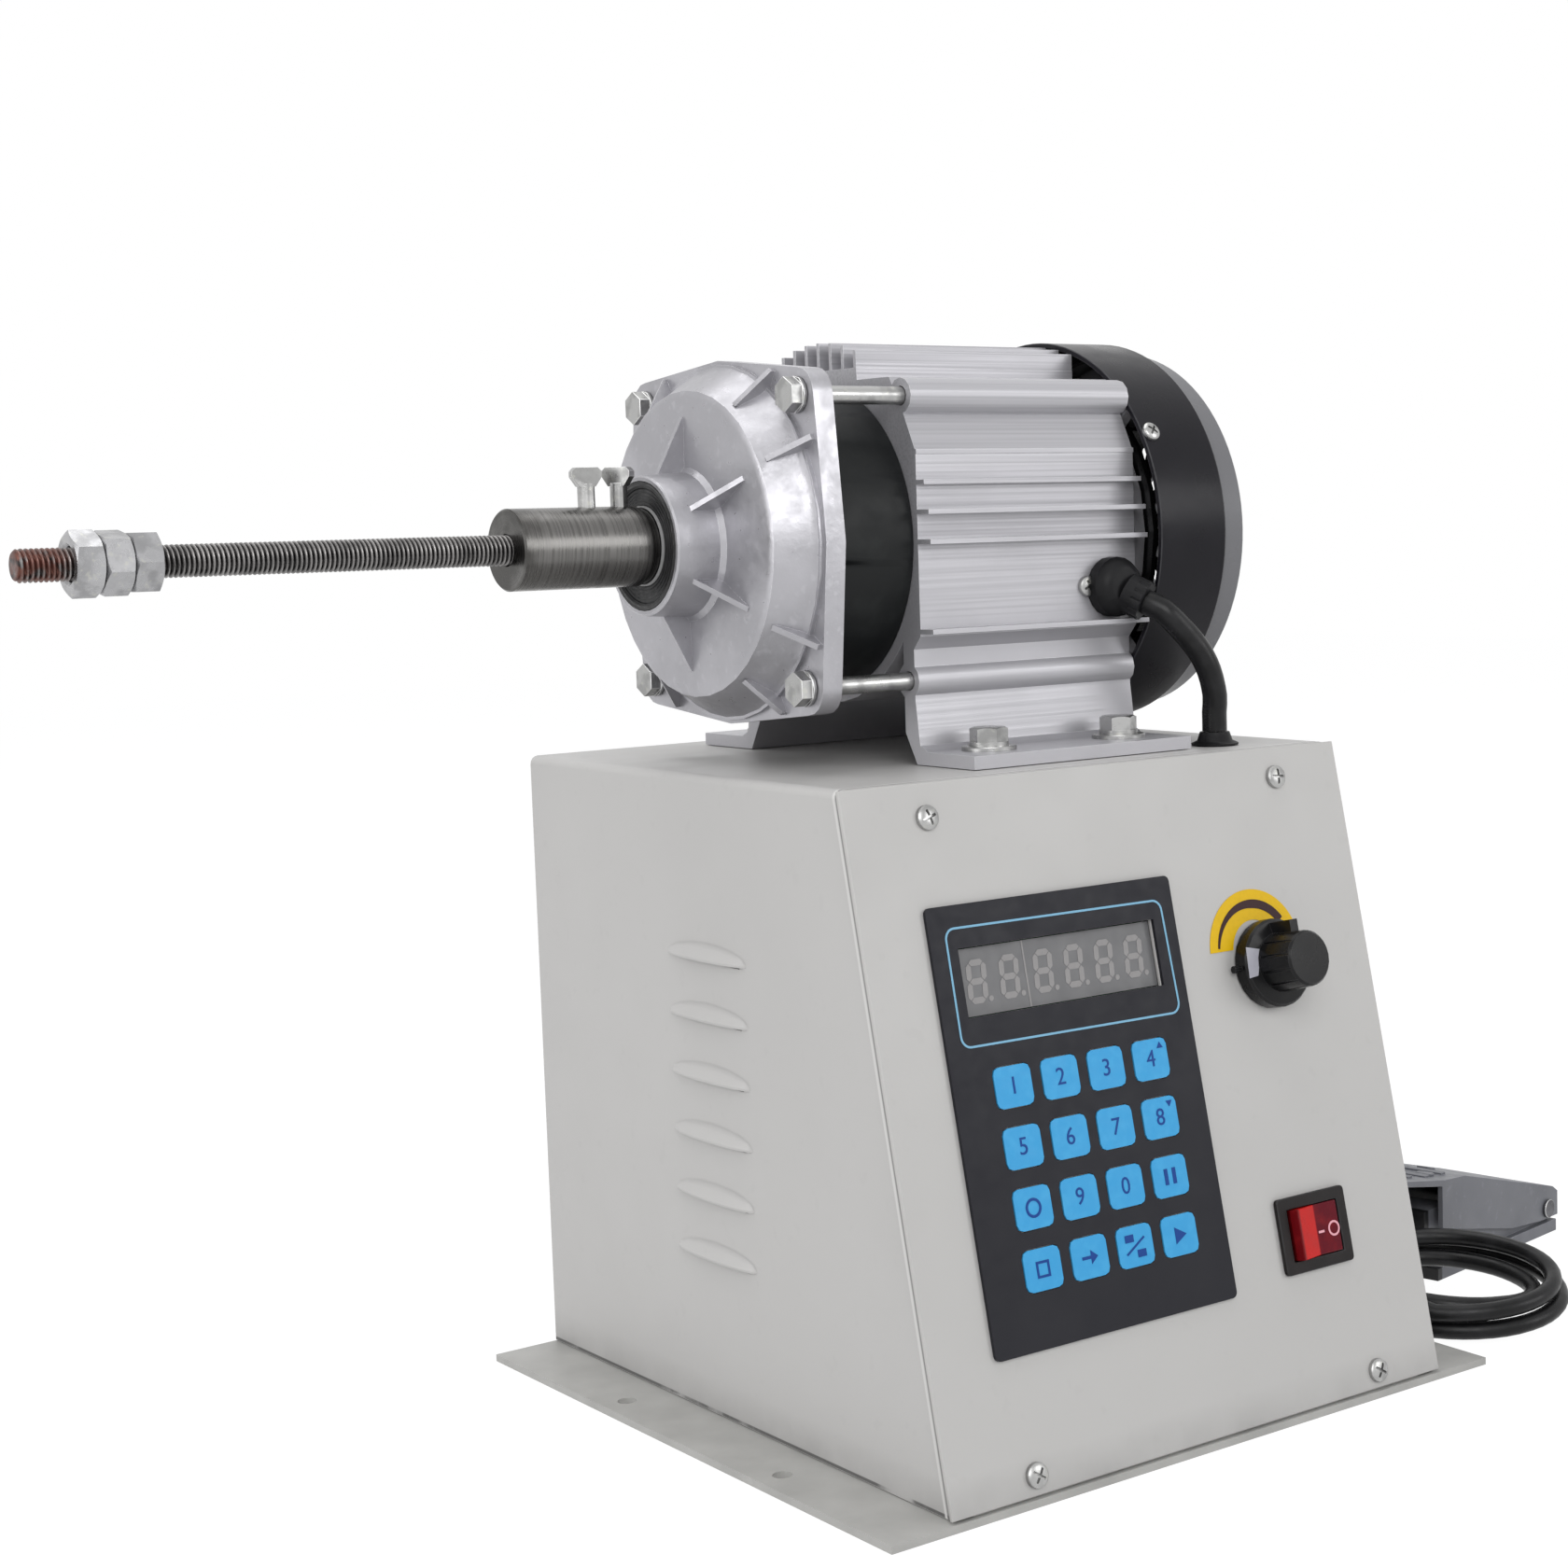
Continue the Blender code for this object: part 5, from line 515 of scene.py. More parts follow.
inks = {
    "lineBlue": (0.22, 0.47, 0.66),
    "digitBlue": (0.006, 0.055, 0.27),
    "segmentGrey": (0.31, 0.3, 0.3),
    "scaleYellow": (0.8, 0.5, 0.006),
    "scaleInk": (0.03, 0.006, 0.008),
    "markPale": (0.5, 0.5, 0.56),
    "markRose": (0.85, 0.42, 0.48),
}
finishes = [
    sheetPaint("bodyPaint", (0.54, 0.532, 0.522), seam=-0.1164, joint=0.003),
    sheetPaint("panelPaint", (0.54, 0.532, 0.52)),
    sheetPaint("flangePaint", (0.53, 0.525, 0.505)),
    backPaint("backPaint", (0.535, 0.528, 0.515)),
    plainFinish(
        "filmBlack", (0.018, 0.018, 0.023), 0.42, (50, 0.45, 0.7, 0.5, (0.024, 0.024, 0.029)),
        (200, 0.34, 0.5), 2600, 0.12, 2, 0.0001, gloss=0.15,
    ),
    plainFinish(
        "keyFilm", (0.045, 0.36, 0.71), 0.36, (260, 0.4, 0.7, 0.4, (0.075, 0.44, 0.78)),
        (300, 0.3, 0.45), 2600, 0.1, 2, 0.0001, gloss=0.25,
    ),
    plainFinish(
        "cordSheath", (0.0055, 0.0055, 0.006), 0.34, (90, 0.45, 0.65, 0.7, (0.016, 0.016, 0.0175)),
        (160, 0.26, 0.46), 1800, 0.1, 2, gloss=0.24,
    ),
    plainFinish(
        "blackenedSteel", (0.009, 0.01, 0.0105), 0.42, (70, 0.5, 0.68, 0.7, (0.016, 0.018, 0.018)),
        (90, 0.34, 0.52), 1100, 0.12, gloss=0.18,
    ),
    boardLaminate("boardLaminate", (0.02, 0.13, 0.05)),
    zincPlate("boltSteel", (0.42, 0.42, 0.415), 0.3),
    zincPlate("nutPlate", (0.4, 0.4, 0.41), 0.27),
    zincPlate("pinSteel", (0.13, 0.13, 0.14), 0.35),
    blackMoulding("knobPlastic", (0.0055, 0.0055, 0.006), 0.27, 0.1),
    blackMoulding("glandPlastic", (0.01, 0.01, 0.011), 0.42),
    blackMoulding("bezelPlastic", (0.014, 0.012, 0.012), 0.34),
    fanCoverPaint("fanCoverPaint", (0.007, 0.0065, 0.0095)),
    rockerLens("rockerLens", (0.6, 0.012, 0.01)),
    drawnAlloy("drawnAlloy", (0.47, 0.465, 0.49)),
    castAlloy("castAlloy", (0.43, 0.425, 0.45)),
    copperCoils("copperCoils", (0.42, 0.17, 0.07)),
    turnedSteel("spindleSteel", (0.125, 0.122, 0.118), (0.055, 0.053, 0.05)),
    turnedSteel("shaftSteel", (0.4, 0.39, 0.38), (0.2, 0.19, 0.18)),
    threadSteel("threadSteel", (0.018, 0.017, 0.017)),
    sealedBearing("sealedBearing", (0.01, 0.01, 0.011)),
    pedalPaint("pedalPaint", (0.172, 0.176, 0.195)),
    *(printInk(name, color) for name, color in inks.items()),
]
looks = {material.name: material for material in finishes}


def numbered(stem, count):
    return [stem % number for number in range(1, count + 1)]


nodeLooks = {
    "bodyPaint": ["body_shell"],
    "flangePaint": ["base_plate"],
    "panelPaint": ["front_panel"],
    "backPaint": ["back_panel"],
    "filmBlack": ["keypad_overlay"],
    "keyFilm": numbered("key_%02d", 16),
    "boardLaminate": ["control_board", "power_board"],
    "boltSteel": [
        "speed_pot", *numbered("planet_gear_%d", 3), *numbered("tie_bolt_%d", 4),
        *numbered("wing_screw_%d", 2),
    ],
    "nutPlate": numbered("rod_nut_%d", 3),
    "pinSteel": ["pedal_pin"],
    "knobPlastic": ["speed_knob", "fan"],
    "glandPlastic": ["motor_gland", "cable_boot", "cord_gland"],
    "bezelPlastic": ["rocker_bezel"],
    "fanCoverPaint": ["fan_cover"],
    "rockerLens": ["rocker"],
    "drawnAlloy": ["motor_housing"],
    "castAlloy": ["gear_cover", "rear_shield"],
    "copperCoils": ["stator"],
    "spindleSteel": ["spindle"],
    "shaftSteel": ["rotor"],
    "threadSteel": ["mandrel_rod"],
    "blackenedSteel": ["ring_gear"],
    "sealedBearing": ["spindle_bearing"],
    "pedalPaint": ["pedal_base", "pedal_treadle"],
    "cordSheath": ["motor_cable", "pedal_lead", "pedal_coil", "pedal_tail"],
}
lookOf = {node: look for look, nodes in nodeLooks.items() for node in nodes}
for node, look in lookOf.items():
    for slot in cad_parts[node].material_slots:
        slot.material = looks[look]
print("materials ready")


def shift(x, y, z):
    return Matrix.Translation((x, y, z))


def spin(degrees, axis):
    return Matrix.Rotation(math.radians(degrees), 4, axis)


def panelPlace(across, up, out=0.0):
    # X across the sloped panel, Y up it, Z out of it
    run = cabinet["depth"] - cabinet["topDepth"]
    slope = math.hypot(run, cabinet["height"])
    place = Matrix.Identity(4)
    place[1][1], place[2][1] = run / slope, cabinet["height"] / slope
    place[1][2], place[2][2] = -cabinet["height"] / slope, run / slope
    place.translation = (-cabinet["width"] / 2, -cabinet["depth"] / 2, 0)
    return place @ shift(across, up, out)


def axisPlace(x):
    # Z towards the rod's tip, X to the front, Y up
    turned = Matrix(((0, 0, -1, 0), (-1, 0, 0, 0), (0, 1, 0, 0), (0, 0, 0, 1)))
    return shift(x, axisLine["y"], axisLine["z"]) @ turned


def cleanMesh(mesh, smoothAngle=None):
    shape = bmesh.new()
    shape.from_mesh(mesh)
    bmesh.ops.remove_doubles(shape, verts=shape.verts, dist=0.0000005)
    bmesh.ops.recalc_face_normals(shape, faces=shape.faces)
    shape.to_mesh(mesh)
    shape.free()
    if smoothAngle:
        mesh.shade_smooth()
        mesh.set_sharp_from_angle(angle=math.radians(smoothAngle))
    return mesh


def evaluated(thing):
    # the object as a plain mesh; the object itself goes
    graph = bpy.context.evaluated_depsgraph_get()
    mesh = bpy.data.meshes.new_from_object(thing.evaluated_get(graph), depsgraph=graph)
    bpy.data.objects.remove(thing, do_unlink=True)
    return mesh


def flatPlate(outlines, thickness, bevel=0.0):
    # a plate on Z = 0 upwards from closed outlines
    curve = bpy.data.curves.new("plate", "CURVE")
    curve.dimensions = "2D"
    curve.fill_mode = "BOTH"
    curve.extrude = thickness / 2 - bevel
    curve.bevel_depth = bevel
    curve.bevel_resolution = 1 if bevel else 0
    curve.offset = -bevel
    for outline in outlines:
        line = curve.splines.new("POLY")
        line.points.add(len(outline) - 1)
        for point, (x, y) in zip(line.points, outline):
            point.co = (x, y, 0, 1)
        line.use_cyclic_u = True
    mesh = evaluated(helper("plate", curve))
    mesh.transform(shift(0, 0, thickness / 2))
    return cleanMesh(mesh)


def lettering(text, size, thickness):
    curve = bpy.data.curves.new("letters", "FONT")
    curve.body = text
    curve.size = size
    curve.extrude = thickness / 2
    curve.align_x = "CENTER"
    curve.align_y = "CENTER"
    curve.resolution_u = 3
    mesh = evaluated(helper("letters", curve))
    mesh.transform(shift(0, 0, thickness / 2))
    return cleanMesh(mesh)


def lathe(profile, sides):
    # (radius, height) points round Z, closed where they touch the axis
    shape = bmesh.new()
    rings = []
    for radius, height in profile:
        if radius == 0:
            rings.append([shape.verts.new((0, 0, height))])
            continue
        ring = []
        for side in range(sides):
            angle = 2 * math.pi * side / sides
            ring.append(shape.verts.new((radius * math.cos(angle), radius * math.sin(angle), height)))
        rings.append(ring)
    for first, second in zip(rings, rings[1:]):
        for side in range(sides):
            after = (side + 1) % sides
            corners = [first[side % len(first)], first[after % len(first)]]
            corners += [second[after % len(second)], second[side % len(second)]]
            kept = list(dict.fromkeys(corners))
            if len(kept) > 2:
                shape.faces.new(kept)
    return cleanMesh(meshFrom(shape, "lathe"), 35)


def carve(mesh, tool, operation="DIFFERENCE"):
    body = helper("carveBody", mesh)
    cutter = helper("carveTool", tool)
    step = body.modifiers.new("carve", "BOOLEAN")
    step.operation = operation
    step.solver = "EXACT"
    step.object = cutter
    made = evaluated(body)
    bpy.data.objects.remove(cutter, do_unlink=True)
    return made


def joined(meshes):
    shape = bmesh.new()
    for mesh in meshes:
        shape.from_mesh(mesh)
    return meshFrom(shape, "joined")


def finishPiece(name, mesh, look, body, place=None, node=None):
    # the mesh moves to its place and rides on a body; it may stand for a node
    if place is not None:
        mesh.transform(place)
    mesh.name = name
    mesh.materials.clear()
    mesh.materials.append(looks[look])
    piece = helper(name, mesh)
    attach(piece, body)
    if node:
        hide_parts(node)


# an arc's edges lie level, beyond a least radius, and turn between two limits in radians
coarseArc = {"level": 0.00002, "radius": 0.004, "least": 0.1, "most": 0.3}


def roundOut(shape, cuts):
    # coarse arcs round the spindle's axis get more corners, pushed out to their own circle
    reach = shape.verts.layers.float.new("reach")

    def away(vertex):
        return Vector((0, vertex.co.y - axisLine["y"], vertex.co.z - axisLine["z"]))

    for vertex in shape.verts:
        vertex[reach] = away(vertex).length
    coarse = []
    for edge in shape.edges:
        first, second = edge.verts
        uneven = max(abs(first.co.x - second.co.x), abs(first[reach] - second[reach]))
        turned = edge.calc_length() / first[reach] if first[reach] > coarseArc["radius"] else 0
        if uneven < coarseArc["level"] and coarseArc["least"] < turned < coarseArc["most"]:
            coarse.append(edge)
    made = bmesh.ops.subdivide_edges(shape, edges=coarse, cuts=cuts, use_grid_fill=True)
    for vertex in made["geom_inner"]:
        if isinstance(vertex, bmesh.types.BMVert):
            offset = away(vertex)
            vertex.co += offset * (vertex[reach] / offset.length - 1)
    shape.verts.layers.float.remove(reach)


def smoothCopy(node, body, slotName, angle, edge, cuts=0):
    # the node's own shape, its corners joined, its faces whole or its arcs rounder, its edges eased
    look = lookOf[node]
    shape = bmesh.new()
    shape.from_mesh(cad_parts[node].data)
    bmesh.ops.remove_doubles(shape, verts=shape.verts, dist=0.0000008)
    shape.normal_update()
    flats = shape.edges[:]
    corners = shape.verts[:]
    if cuts:
        flats = [side for side in flats if all(abs(face.normal.x) < 0.9 for face in side.link_faces)]
        corners = []
    bmesh.ops.dissolve_limit(shape, angle_limit=math.radians(1), verts=corners, edges=flats)
    if cuts:
        roundOut(shape, cuts)
    mesh = meshFrom(shape, node + "Copy")
    mesh.shade_smooth()
    mesh.set_sharp_from_angle(angle=math.radians(angle))
    mesh.polygons.foreach_set("material_index", [0] * len(mesh.polygons))
    mesh.materials.clear()
    for count in range(2):
        mesh.materials.append(looks[look])
    thing = helper(node + "Copy", mesh)
    if edge:
        ease = thing.modifiers.new("ease", "BEVEL")
        ease.width = edge
        ease.segments = 2
        ease.limit_method = "ANGLE"
        ease.angle_limit = math.radians(angle)
        ease.use_clamp_overlap = True
        ease.material = 1
    thing.modifiers.new("weights", "WEIGHTED_NORMAL").keep_sharp = True
    mesh = evaluated(thing)
    # the bevel faces are marked for the painted edge highlight
    marks = [float(face.material_index) for face in mesh.polygons]
    mesh.attributes.new("edgeSheenAndWear", "FLOAT", "FACE").data.foreach_set("value", marks)
    mesh.polygons.foreach_set("material_index", [0] * len(mesh.polygons))
    first, *others = node.split("_")
    name = first + "".join(word.capitalize() for word in others) + "Smooth"
    finishPiece(name, mesh, look, body, node=node)


def roundedOutline(width, height, radius, steps=6):
    points = []
    for quarter, (sideX, sideY) in enumerate(((1, 1), (-1, 1), (-1, -1), (1, -1))):
        for step in range(steps + 1):
            angle = (quarter + step / steps) * math.pi / 2
            x = sideX * (width / 2 - radius) + radius * math.cos(angle)
            y = sideY * (height / 2 - radius) + radius * math.sin(angle)
            points.append((x, y))
    return points


def arcPoints(radius, start, end, steps, centre=(0, 0)):
    points = []
    for step in range(steps + 1):
        angle = math.radians(start + (end - start) * step / steps)
        points.append((centre[0] + radius * math.cos(angle), centre[1] + radius * math.sin(angle)))
    return points


def closeTree(tree, shape, given, leave):
    real = addNode(tree, "GeometryNodeRealizeInstances", {"Geometry": shape})
    values = {"Geometry": real.outputs["Geometry"], "Material": given["Finish"]}
    finish = addNode(tree, "GeometryNodeSetMaterial", values)
    tree.links.new(finish.outputs["Geometry"], leave["Geometry"])
    return tree


def buildRepeatTree():
    # one piece on every point, turned at random by Turn Jitter at most and then made real
    inputs = {
        "Geometry": "NodeSocketGeometry", "Piece": "NodeSocketObject", "Size": 1.0, "Turn Jitter": 0.0,
        "Seed": 7, "Finish": "NodeSocketMaterial",
    }
    form = "NodeSocketGeometry"
    tree, given, leave = newTree("GeometryNodeTree", "repeatOnPoints", inputs, ["Geometry"], form)
    points = addNode(tree, "GeometryNodeMeshToPoints", {"Mesh": given["Geometry"]})
    info = addNode(tree, "GeometryNodeObjectInfo", {"Object": given["Piece"]})
    values = {2: maths(tree, "MULTIPLY", given["Turn Jitter"], -1), 3: given["Turn Jitter"]}
    jitter = addNode(tree, "FunctionNodeRandomValue", {**values, "Seed": given["Seed"]}, data_type="FLOAT")
    values = {
        "Points": points.outputs["Points"],
        "Instance": info.outputs["Geometry"],
        "Rotation": addNode(tree, "ShaderNodeCombineXYZ", {"Z": jitter.outputs[1]}).outputs[0],
        "Scale": given["Size"],
    }
    place = addNode(tree, "GeometryNodeInstanceOnPoints", values)
    return closeTree(tree, place.outputs["Instances"], given, leave)


def buildThreadTree():
    # a round bar whose surface is pressed in along a helix
    inputs = {
        "Length": 0.2, "Radius": 0.005, "Pitch": 0.0015, "Depth": 0.0008, "Sides": 20, "Rings": 800,
        "Finish": "NodeSocketMaterial",
    }
    form = "NodeSocketGeometry"
    tree, given, leave = newTree("GeometryNodeTree", "threadedBar", inputs, ["Geometry"], form)

    def calc(operation, *values):
        return maths(tree, operation, *values)

    tip = addNode(tree, "ShaderNodeCombineXYZ", {"Z": given["Length"]}).outputs[0]
    line = addNode(tree, "GeometryNodeCurvePrimitiveLine", {"End": tip}).outputs["Curve"]
    stations = addNode(tree, "GeometryNodeResampleCurve", {"Curve": line, "Count": given["Rings"]})
    values = {"Resolution": given["Sides"], "Radius": given["Radius"]}
    ring = addNode(tree, "GeometryNodeCurvePrimitiveCircle", values).outputs["Curve"]
    values = {"Curve": stations.outputs["Curve"], "Profile Curve": ring, "Fill Caps": True}
    tube = addNode(tree, "GeometryNodeCurveToMesh", values)
    place = addNode(tree, "GeometryNodeInputPosition").outputs[0]
    x, y, z = addNode(tree, "ShaderNodeSeparateXYZ", {0: place}).outputs
    turns = calc("DIVIDE", calc("ARCTAN2", y, x), 2 * math.pi)
    phase = calc("FRACT", calc("SUBTRACT", calc("DIVIDE", z, given["Pitch"]), turns))
    groove = calc("MULTIPLY", calc("ABSOLUTE", calc("SUBTRACT", phase, 0.5)), 2)
    flank = calc("MINIMUM", calc("MULTIPLY", groove, 1.25), 1)
    depth = calc("MULTIPLY", calc("SUBTRACT", 1, flank), given["Depth"])
    ends = calc("MINIMUM", z, calc("SUBTRACT", given["Length"], z))
    taper = calc("MAXIMUM", calc("SUBTRACT", given["Depth"], ends), 0)
    inward = calc("MULTIPLY", calc("MAXIMUM", depth, taper), -1)
    flat = addNode(tree, "ShaderNodeCombineXYZ", {"X": x, "Y": y}).outputs[0]
    values = {0: vectors(tree, "NORMALIZE", flat)[0], "Scale": inward}
    offset = addNode(tree, "ShaderNodeVectorMath", values, operation="SCALE").outputs[0]
    press = addNode(tree, "GeometryNodeSetPosition", {"Geometry": tube.outputs["Mesh"], "Offset": offset})
    return closeTree(tree, press.outputs["Geometry"], given, leave)


def applyTree(tree, base, values):
    holder = helper("treeHolder", base)
    step = holder.modifiers.new("build", "NODES")
    step.node_group = tree
    for item in tree.interface.items_tree:
        if item.item_type == "SOCKET" and item.in_out == "INPUT" and item.name in values:
            step[item.identifier] = values[item.name]
    return evaluated(holder)


repeatOnPoints = buildRepeatTree()
threadedBar = buildThreadTree()


def repeated(mesh, places, look, jitter=0.0):
    master = helper("master", mesh)
    base = bpy.data.meshes.new("places")
    base.from_pydata(places, [], [])
    values = {"Piece": master, "Size": 1.0, "Turn Jitter": jitter, "Seed": 7, "Finish": looks[look]}
    made = applyTree(repeatOnPoints, base, values)
    bpy.data.objects.remove(master, do_unlink=True)
    return made


print("building blocks ready")


pedalCord = {
    "radius": 0.00325,
    "clearance": 0.0003,
    "coilMiddle": (0.1587, -0.0749),
    "coilLong": 0.0455,
    "coilShort": 0.0355,
    "coilTurn": 128.3,
    "coilSlope": 0.19,
    "coilLean": 47.8,
    "coilStep": 0.0095,
    "coilLayer": 0.0073,
    "coilStart": -15.0,
    "coilEnd": 1003.0,
    "pointsPerTurn": 48,
    "leadSpacing": 0.004,
    "tailSpacing": 0.008,
    "flangeEdge": 0.1285,
    "flangeTop": 0.0028,
    "lead": [(0.1565, -0.0303, 0.0209)],
    "tail": [
        (0.1612, -0.0287, 0.0125),
        (0.1515, -0.0185, 0.0078),
        (0.1428, -0.0045, 0.0044),
        (0.139, 0.014, 0.0036),
        (0.1385, 0.05, 0.0036),
        (0.1375, 0.1, 0.0036),
        (0.1285, 0.138, 0.0036),
        (0.108, 0.161, 0.0045),
        (0.0855, 0.166, 0.0125),
        (0.0728, 0.1595, 0.0235),
        (0.07, 0.14385, 0.03),
        (0.07, 0.13735, 0.03),
    ],
}
pedal = {
    "corner": (0.2818, -0.0249),
    "turn": 10.9,
    "width": 0.054,
    "length": 0.092,
    "reliefLength": 0.014,
    "reliefHeight": 0.0214,
    "reliefInset": 0.018,
}
motorCable = {
    "radius": 0.0044,
    "clearance": 0.0003,
    "spacing": 0.003,
    "route": [(0.0607, -0.0522, 0.2555), (0.0662, -0.0535, 0.2465), (0.0696, -0.053, 0.237)],
    "boot": (0.0702, -0.052, 0.2241),
}
gland = {
    "x": 0.042,
    "wall": 0.0545,
    "drop": 0.0187,
    "length": 0.0095,
    "crown": 0.0062,
    "nutLength": 0.0058,
    "sideTilt": 28.0,
    "downTilt": 30.0,
}


def pedalPlace():
    # X from the hinge end to the toe, Y to the near side
    turn = math.radians(pedal["turn"])
    along = Vector((-math.cos(turn), -math.sin(turn), 0))
    far = Vector((-math.sin(turn), math.cos(turn), 0))
    place = Matrix.Identity(4)
    for row in range(3):
        place[row][0] = along[row]
        place[row][1] = -far[row]
    place.translation = Vector((*pedal["corner"], 0)) + pedal["width"] / 2 * far
    return place


def nozzlePlace():
    wall = shift(gland["x"], axisLine["y"] - gland["wall"], axisLine["z"] - gland["drop"]) @ spin(90, "X")
    crown = wall @ shift(0, 0, gland["length"] - gland["crown"])
    return crown @ spin(gland["downTilt"], "X") @ spin(gland["sideTilt"], "Y")


def coilPoint(degrees):
    # spirals in on the top layer and out again on the lower one
    cord = pedalCord
    middle = (cord["coilStart"] + cord["coilEnd"]) / 2
    reach = (cord["coilEnd"] - cord["coilStart"]) / 2 - abs(degrees - middle)
    inset = cord["coilStep"] * reach / 360
    angle, turn, lean = (math.radians(value) for value in (degrees, cord["coilTurn"], cord["coilLean"]))
    across = (cord["coilLong"] - inset) * math.cos(angle)
    aside = (cord["coilShort"] - inset) * math.sin(angle)
    dx = across * math.cos(turn) - aside * math.sin(turn)
    dy = across * math.sin(turn) + aside * math.cos(turn)
    away = dx * math.cos(lean) + dy * math.sin(lean)
    height = cord["radius"] + cord["clearance"] + cord["coilSlope"] * (cord["coilShort"] + away)
    x = cord["coilMiddle"][0] + dx
    if x >= cord["flangeEdge"] + cord["radius"]:
        floor = cord["radius"] + cord["clearance"]
    else:
        floor = cord["flangeTop"] + math.sqrt(cord["radius"] ** 2 - max(0, x - cord["flangeEdge"]) ** 2)
    share = min(1, max(0, (middle - degrees) / 180 + 0.5))
    layer = cord["coilLayer"] * share**2 * (3 - 2 * share)
    return Vector((x, cord["coilMiddle"][1] + dy, max(height, floor) + layer))


def smoothLine(places, spacing):
    # a straight leg at each end and an even smooth curve between
    places = [Vector(place) for place in places]
    fine, parts = [], 24
    for before, start, end, after in zip(places, places[1:], places[2:], places[3:]):
        for part in range(parts):
            t = part / parts
            bend = (2 * before - 5 * start + 4 * end - after) * t**2
            curl = (3 * start - before - 3 * end + after) * t**3
            fine.append((2 * start + (end - before) * t + bend + curl) / 2)
    fine.append(places[-2])
    reach = [0]
    for first, second in zip(fine, fine[1:]):
        reach.append(reach[-1] + (second - first).length)
    count = max(2, round(reach[-1] / spacing))
    picked = [places[0], fine[0]]
    at = 1
    for step in range(1, count):
        target = reach[-1] * step / count
        while reach[at] < target:
            at += 1
        share = (target - reach[at - 1]) / (reach[at] - reach[at - 1])
        picked.append(fine[at - 1].lerp(fine[at], share))
    return [*picked, fine[-1], places[-1]]


def cordPiece(name, points, radius):
    curve = bpy.data.curves.new(name, "CURVE")
    curve.dimensions = "3D"
    curve.bevel_depth = radius
    curve.bevel_resolution = 5
    curve.use_fill_caps = True
    line = curve.splines.new("POLY")
    line.points.add(len(points) - 1)
    for point, place in zip(line.points, points):
        point.co = (*place, 1)
    line.use_smooth = True
    curve.materials.append(looks["cordSheath"])
    return helper(name, curve)


def onward(first, second, reach):
    return second + (second - first).normalized() * reach


def buildCord(name, points, radius, nodes, digits, **facts):
    # digits is not used
    whole = cordPiece(name, points, radius)
    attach(whole, "cabinet")
    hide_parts(*nodes)


def buildPedalCord():
    cord = pedalCord
    diameter = 2 * cord["radius"]
    sweep = cord["coilEnd"] - cord["coilStart"]
    count = round(sweep / 360 * cord["pointsPerTurn"])
    coil = [coilPoint(cord["coilStart"] + sweep * step / count) for step in range(count + 1)]
    coil = [onward(coil[1], coil[0], diameter), *coil, onward(coil[-2], coil[-1], diameter)]
    tip = pedal["length"] + pedal["reliefLength"] + cord["clearance"]
    side = pedal["width"] / 2 - pedal["reliefInset"]
    start = pedalPlace() @ Vector((tip, side, pedal["reliefHeight"]))
    second = pedalPlace() @ Vector((tip + diameter, side, pedal["reliefHeight"]))
    last = onward(coil[1], coil[0], diameter)
    lead = smoothLine([start, second, *cord["lead"], last, coil[0]], cord["leadSpacing"])
    last = onward(coil[-2], coil[-1], diameter)
    tail = smoothLine([coil[-1], last, *cord["tail"]], cord["tailSpacing"])
    nodes = ("pedal_lead", "pedal_coil", "pedal_tail")
    points = lead[:-1] + coil + tail[1:]
    buildCord("pedalCord", points, cord["radius"], nodes, 3, stiffness="medium", lay="coiled")


def buildMotorCable():
    cable = motorCable
    leg = Vector((0, 0, 1.5 * cable["radius"]))
    out = Vector((0, 0, gland["crown"] + gland["nutLength"] + cable["clearance"]))
    boot = Vector(cable["boot"])
    places = [nozzlePlace() @ out, nozzlePlace() @ (out + leg), *cable["route"], boot + leg, boot]
    points = smoothLine(places, cable["spacing"])
    buildCord("motorCable", points, cable["radius"], ["motor_cable"], 4, stiffness="stiff", lay="loose")


buildPedalCord()
buildMotorCable()
print("cords ready")


rod = {"tip": -0.3151, "foot": -0.1116, "radius": 0.0049, "pitch": 0.0015, "depth": 0.00085}
nuts = {
    "flats": 0.017,
    "height": 0.0083,
    "bore": 0.0052,
    "chamfer": 0.00085,
    "list": [
        ("tipNut", "rod_nut_1", "tip_nut", -0.2959, 30),
        ("middleNut", "rod_nut_2", "middle_nut", -0.2874, 45),
        ("innerNut", "rod_nut_3", "inner_nut", -0.2789, 60),
    ],
}
hexShape = {"wide": 1.2, "crown": 0.97, "slope": 0.5, "over": 0.0005, "sides": 48}


def buildRod():
    base = bpy.data.meshes.new("rodBase")
    length = rod["foot"] - rod["tip"]
    values = {
        "Length": length,
        "Radius": rod["radius"],
        "Pitch": rod["pitch"],
        "Depth": rod["depth"],
        "Sides": 24,
        "Rings": round(length / rod["pitch"] * 6) + 1,
        "Finish": looks["threadSteel"],
    }
    mesh = cleanMesh(applyTree(threadedBar, base, values), 50)
    place = axisPlace(rod["foot"])
    finishPiece("threadedRod", mesh, "threadSteel", "rod", place, "mandrel_rod")


def hexHead(flats, height, lower=True):
    # a hexagon from Z = 0 upwards whose corners are turned off
    corner = flats / math.sqrt(3)
    over = hexShape["over"]
    hexagon = flatPlate([arcPoints(corner, 0, 300, 5)], height + 2 * over)
    hexagon.transform(shift(0, 0, -over))
    wide = corner * hexShape["wide"]
    flat = flats / 2 * hexShape["crown"]
    slope = (wide - flat) * hexShape["slope"]
    low = [(0, 0), (flat, 0), (wide, slope)] if lower else [(0, 0), (wide, 0), (wide, slope)]
    profile = [*low, (wide, height - slope), (flat, height), (0, height)]
    return carve(hexagon, lathe(profile, hexShape["sides"]), "INTERSECT")


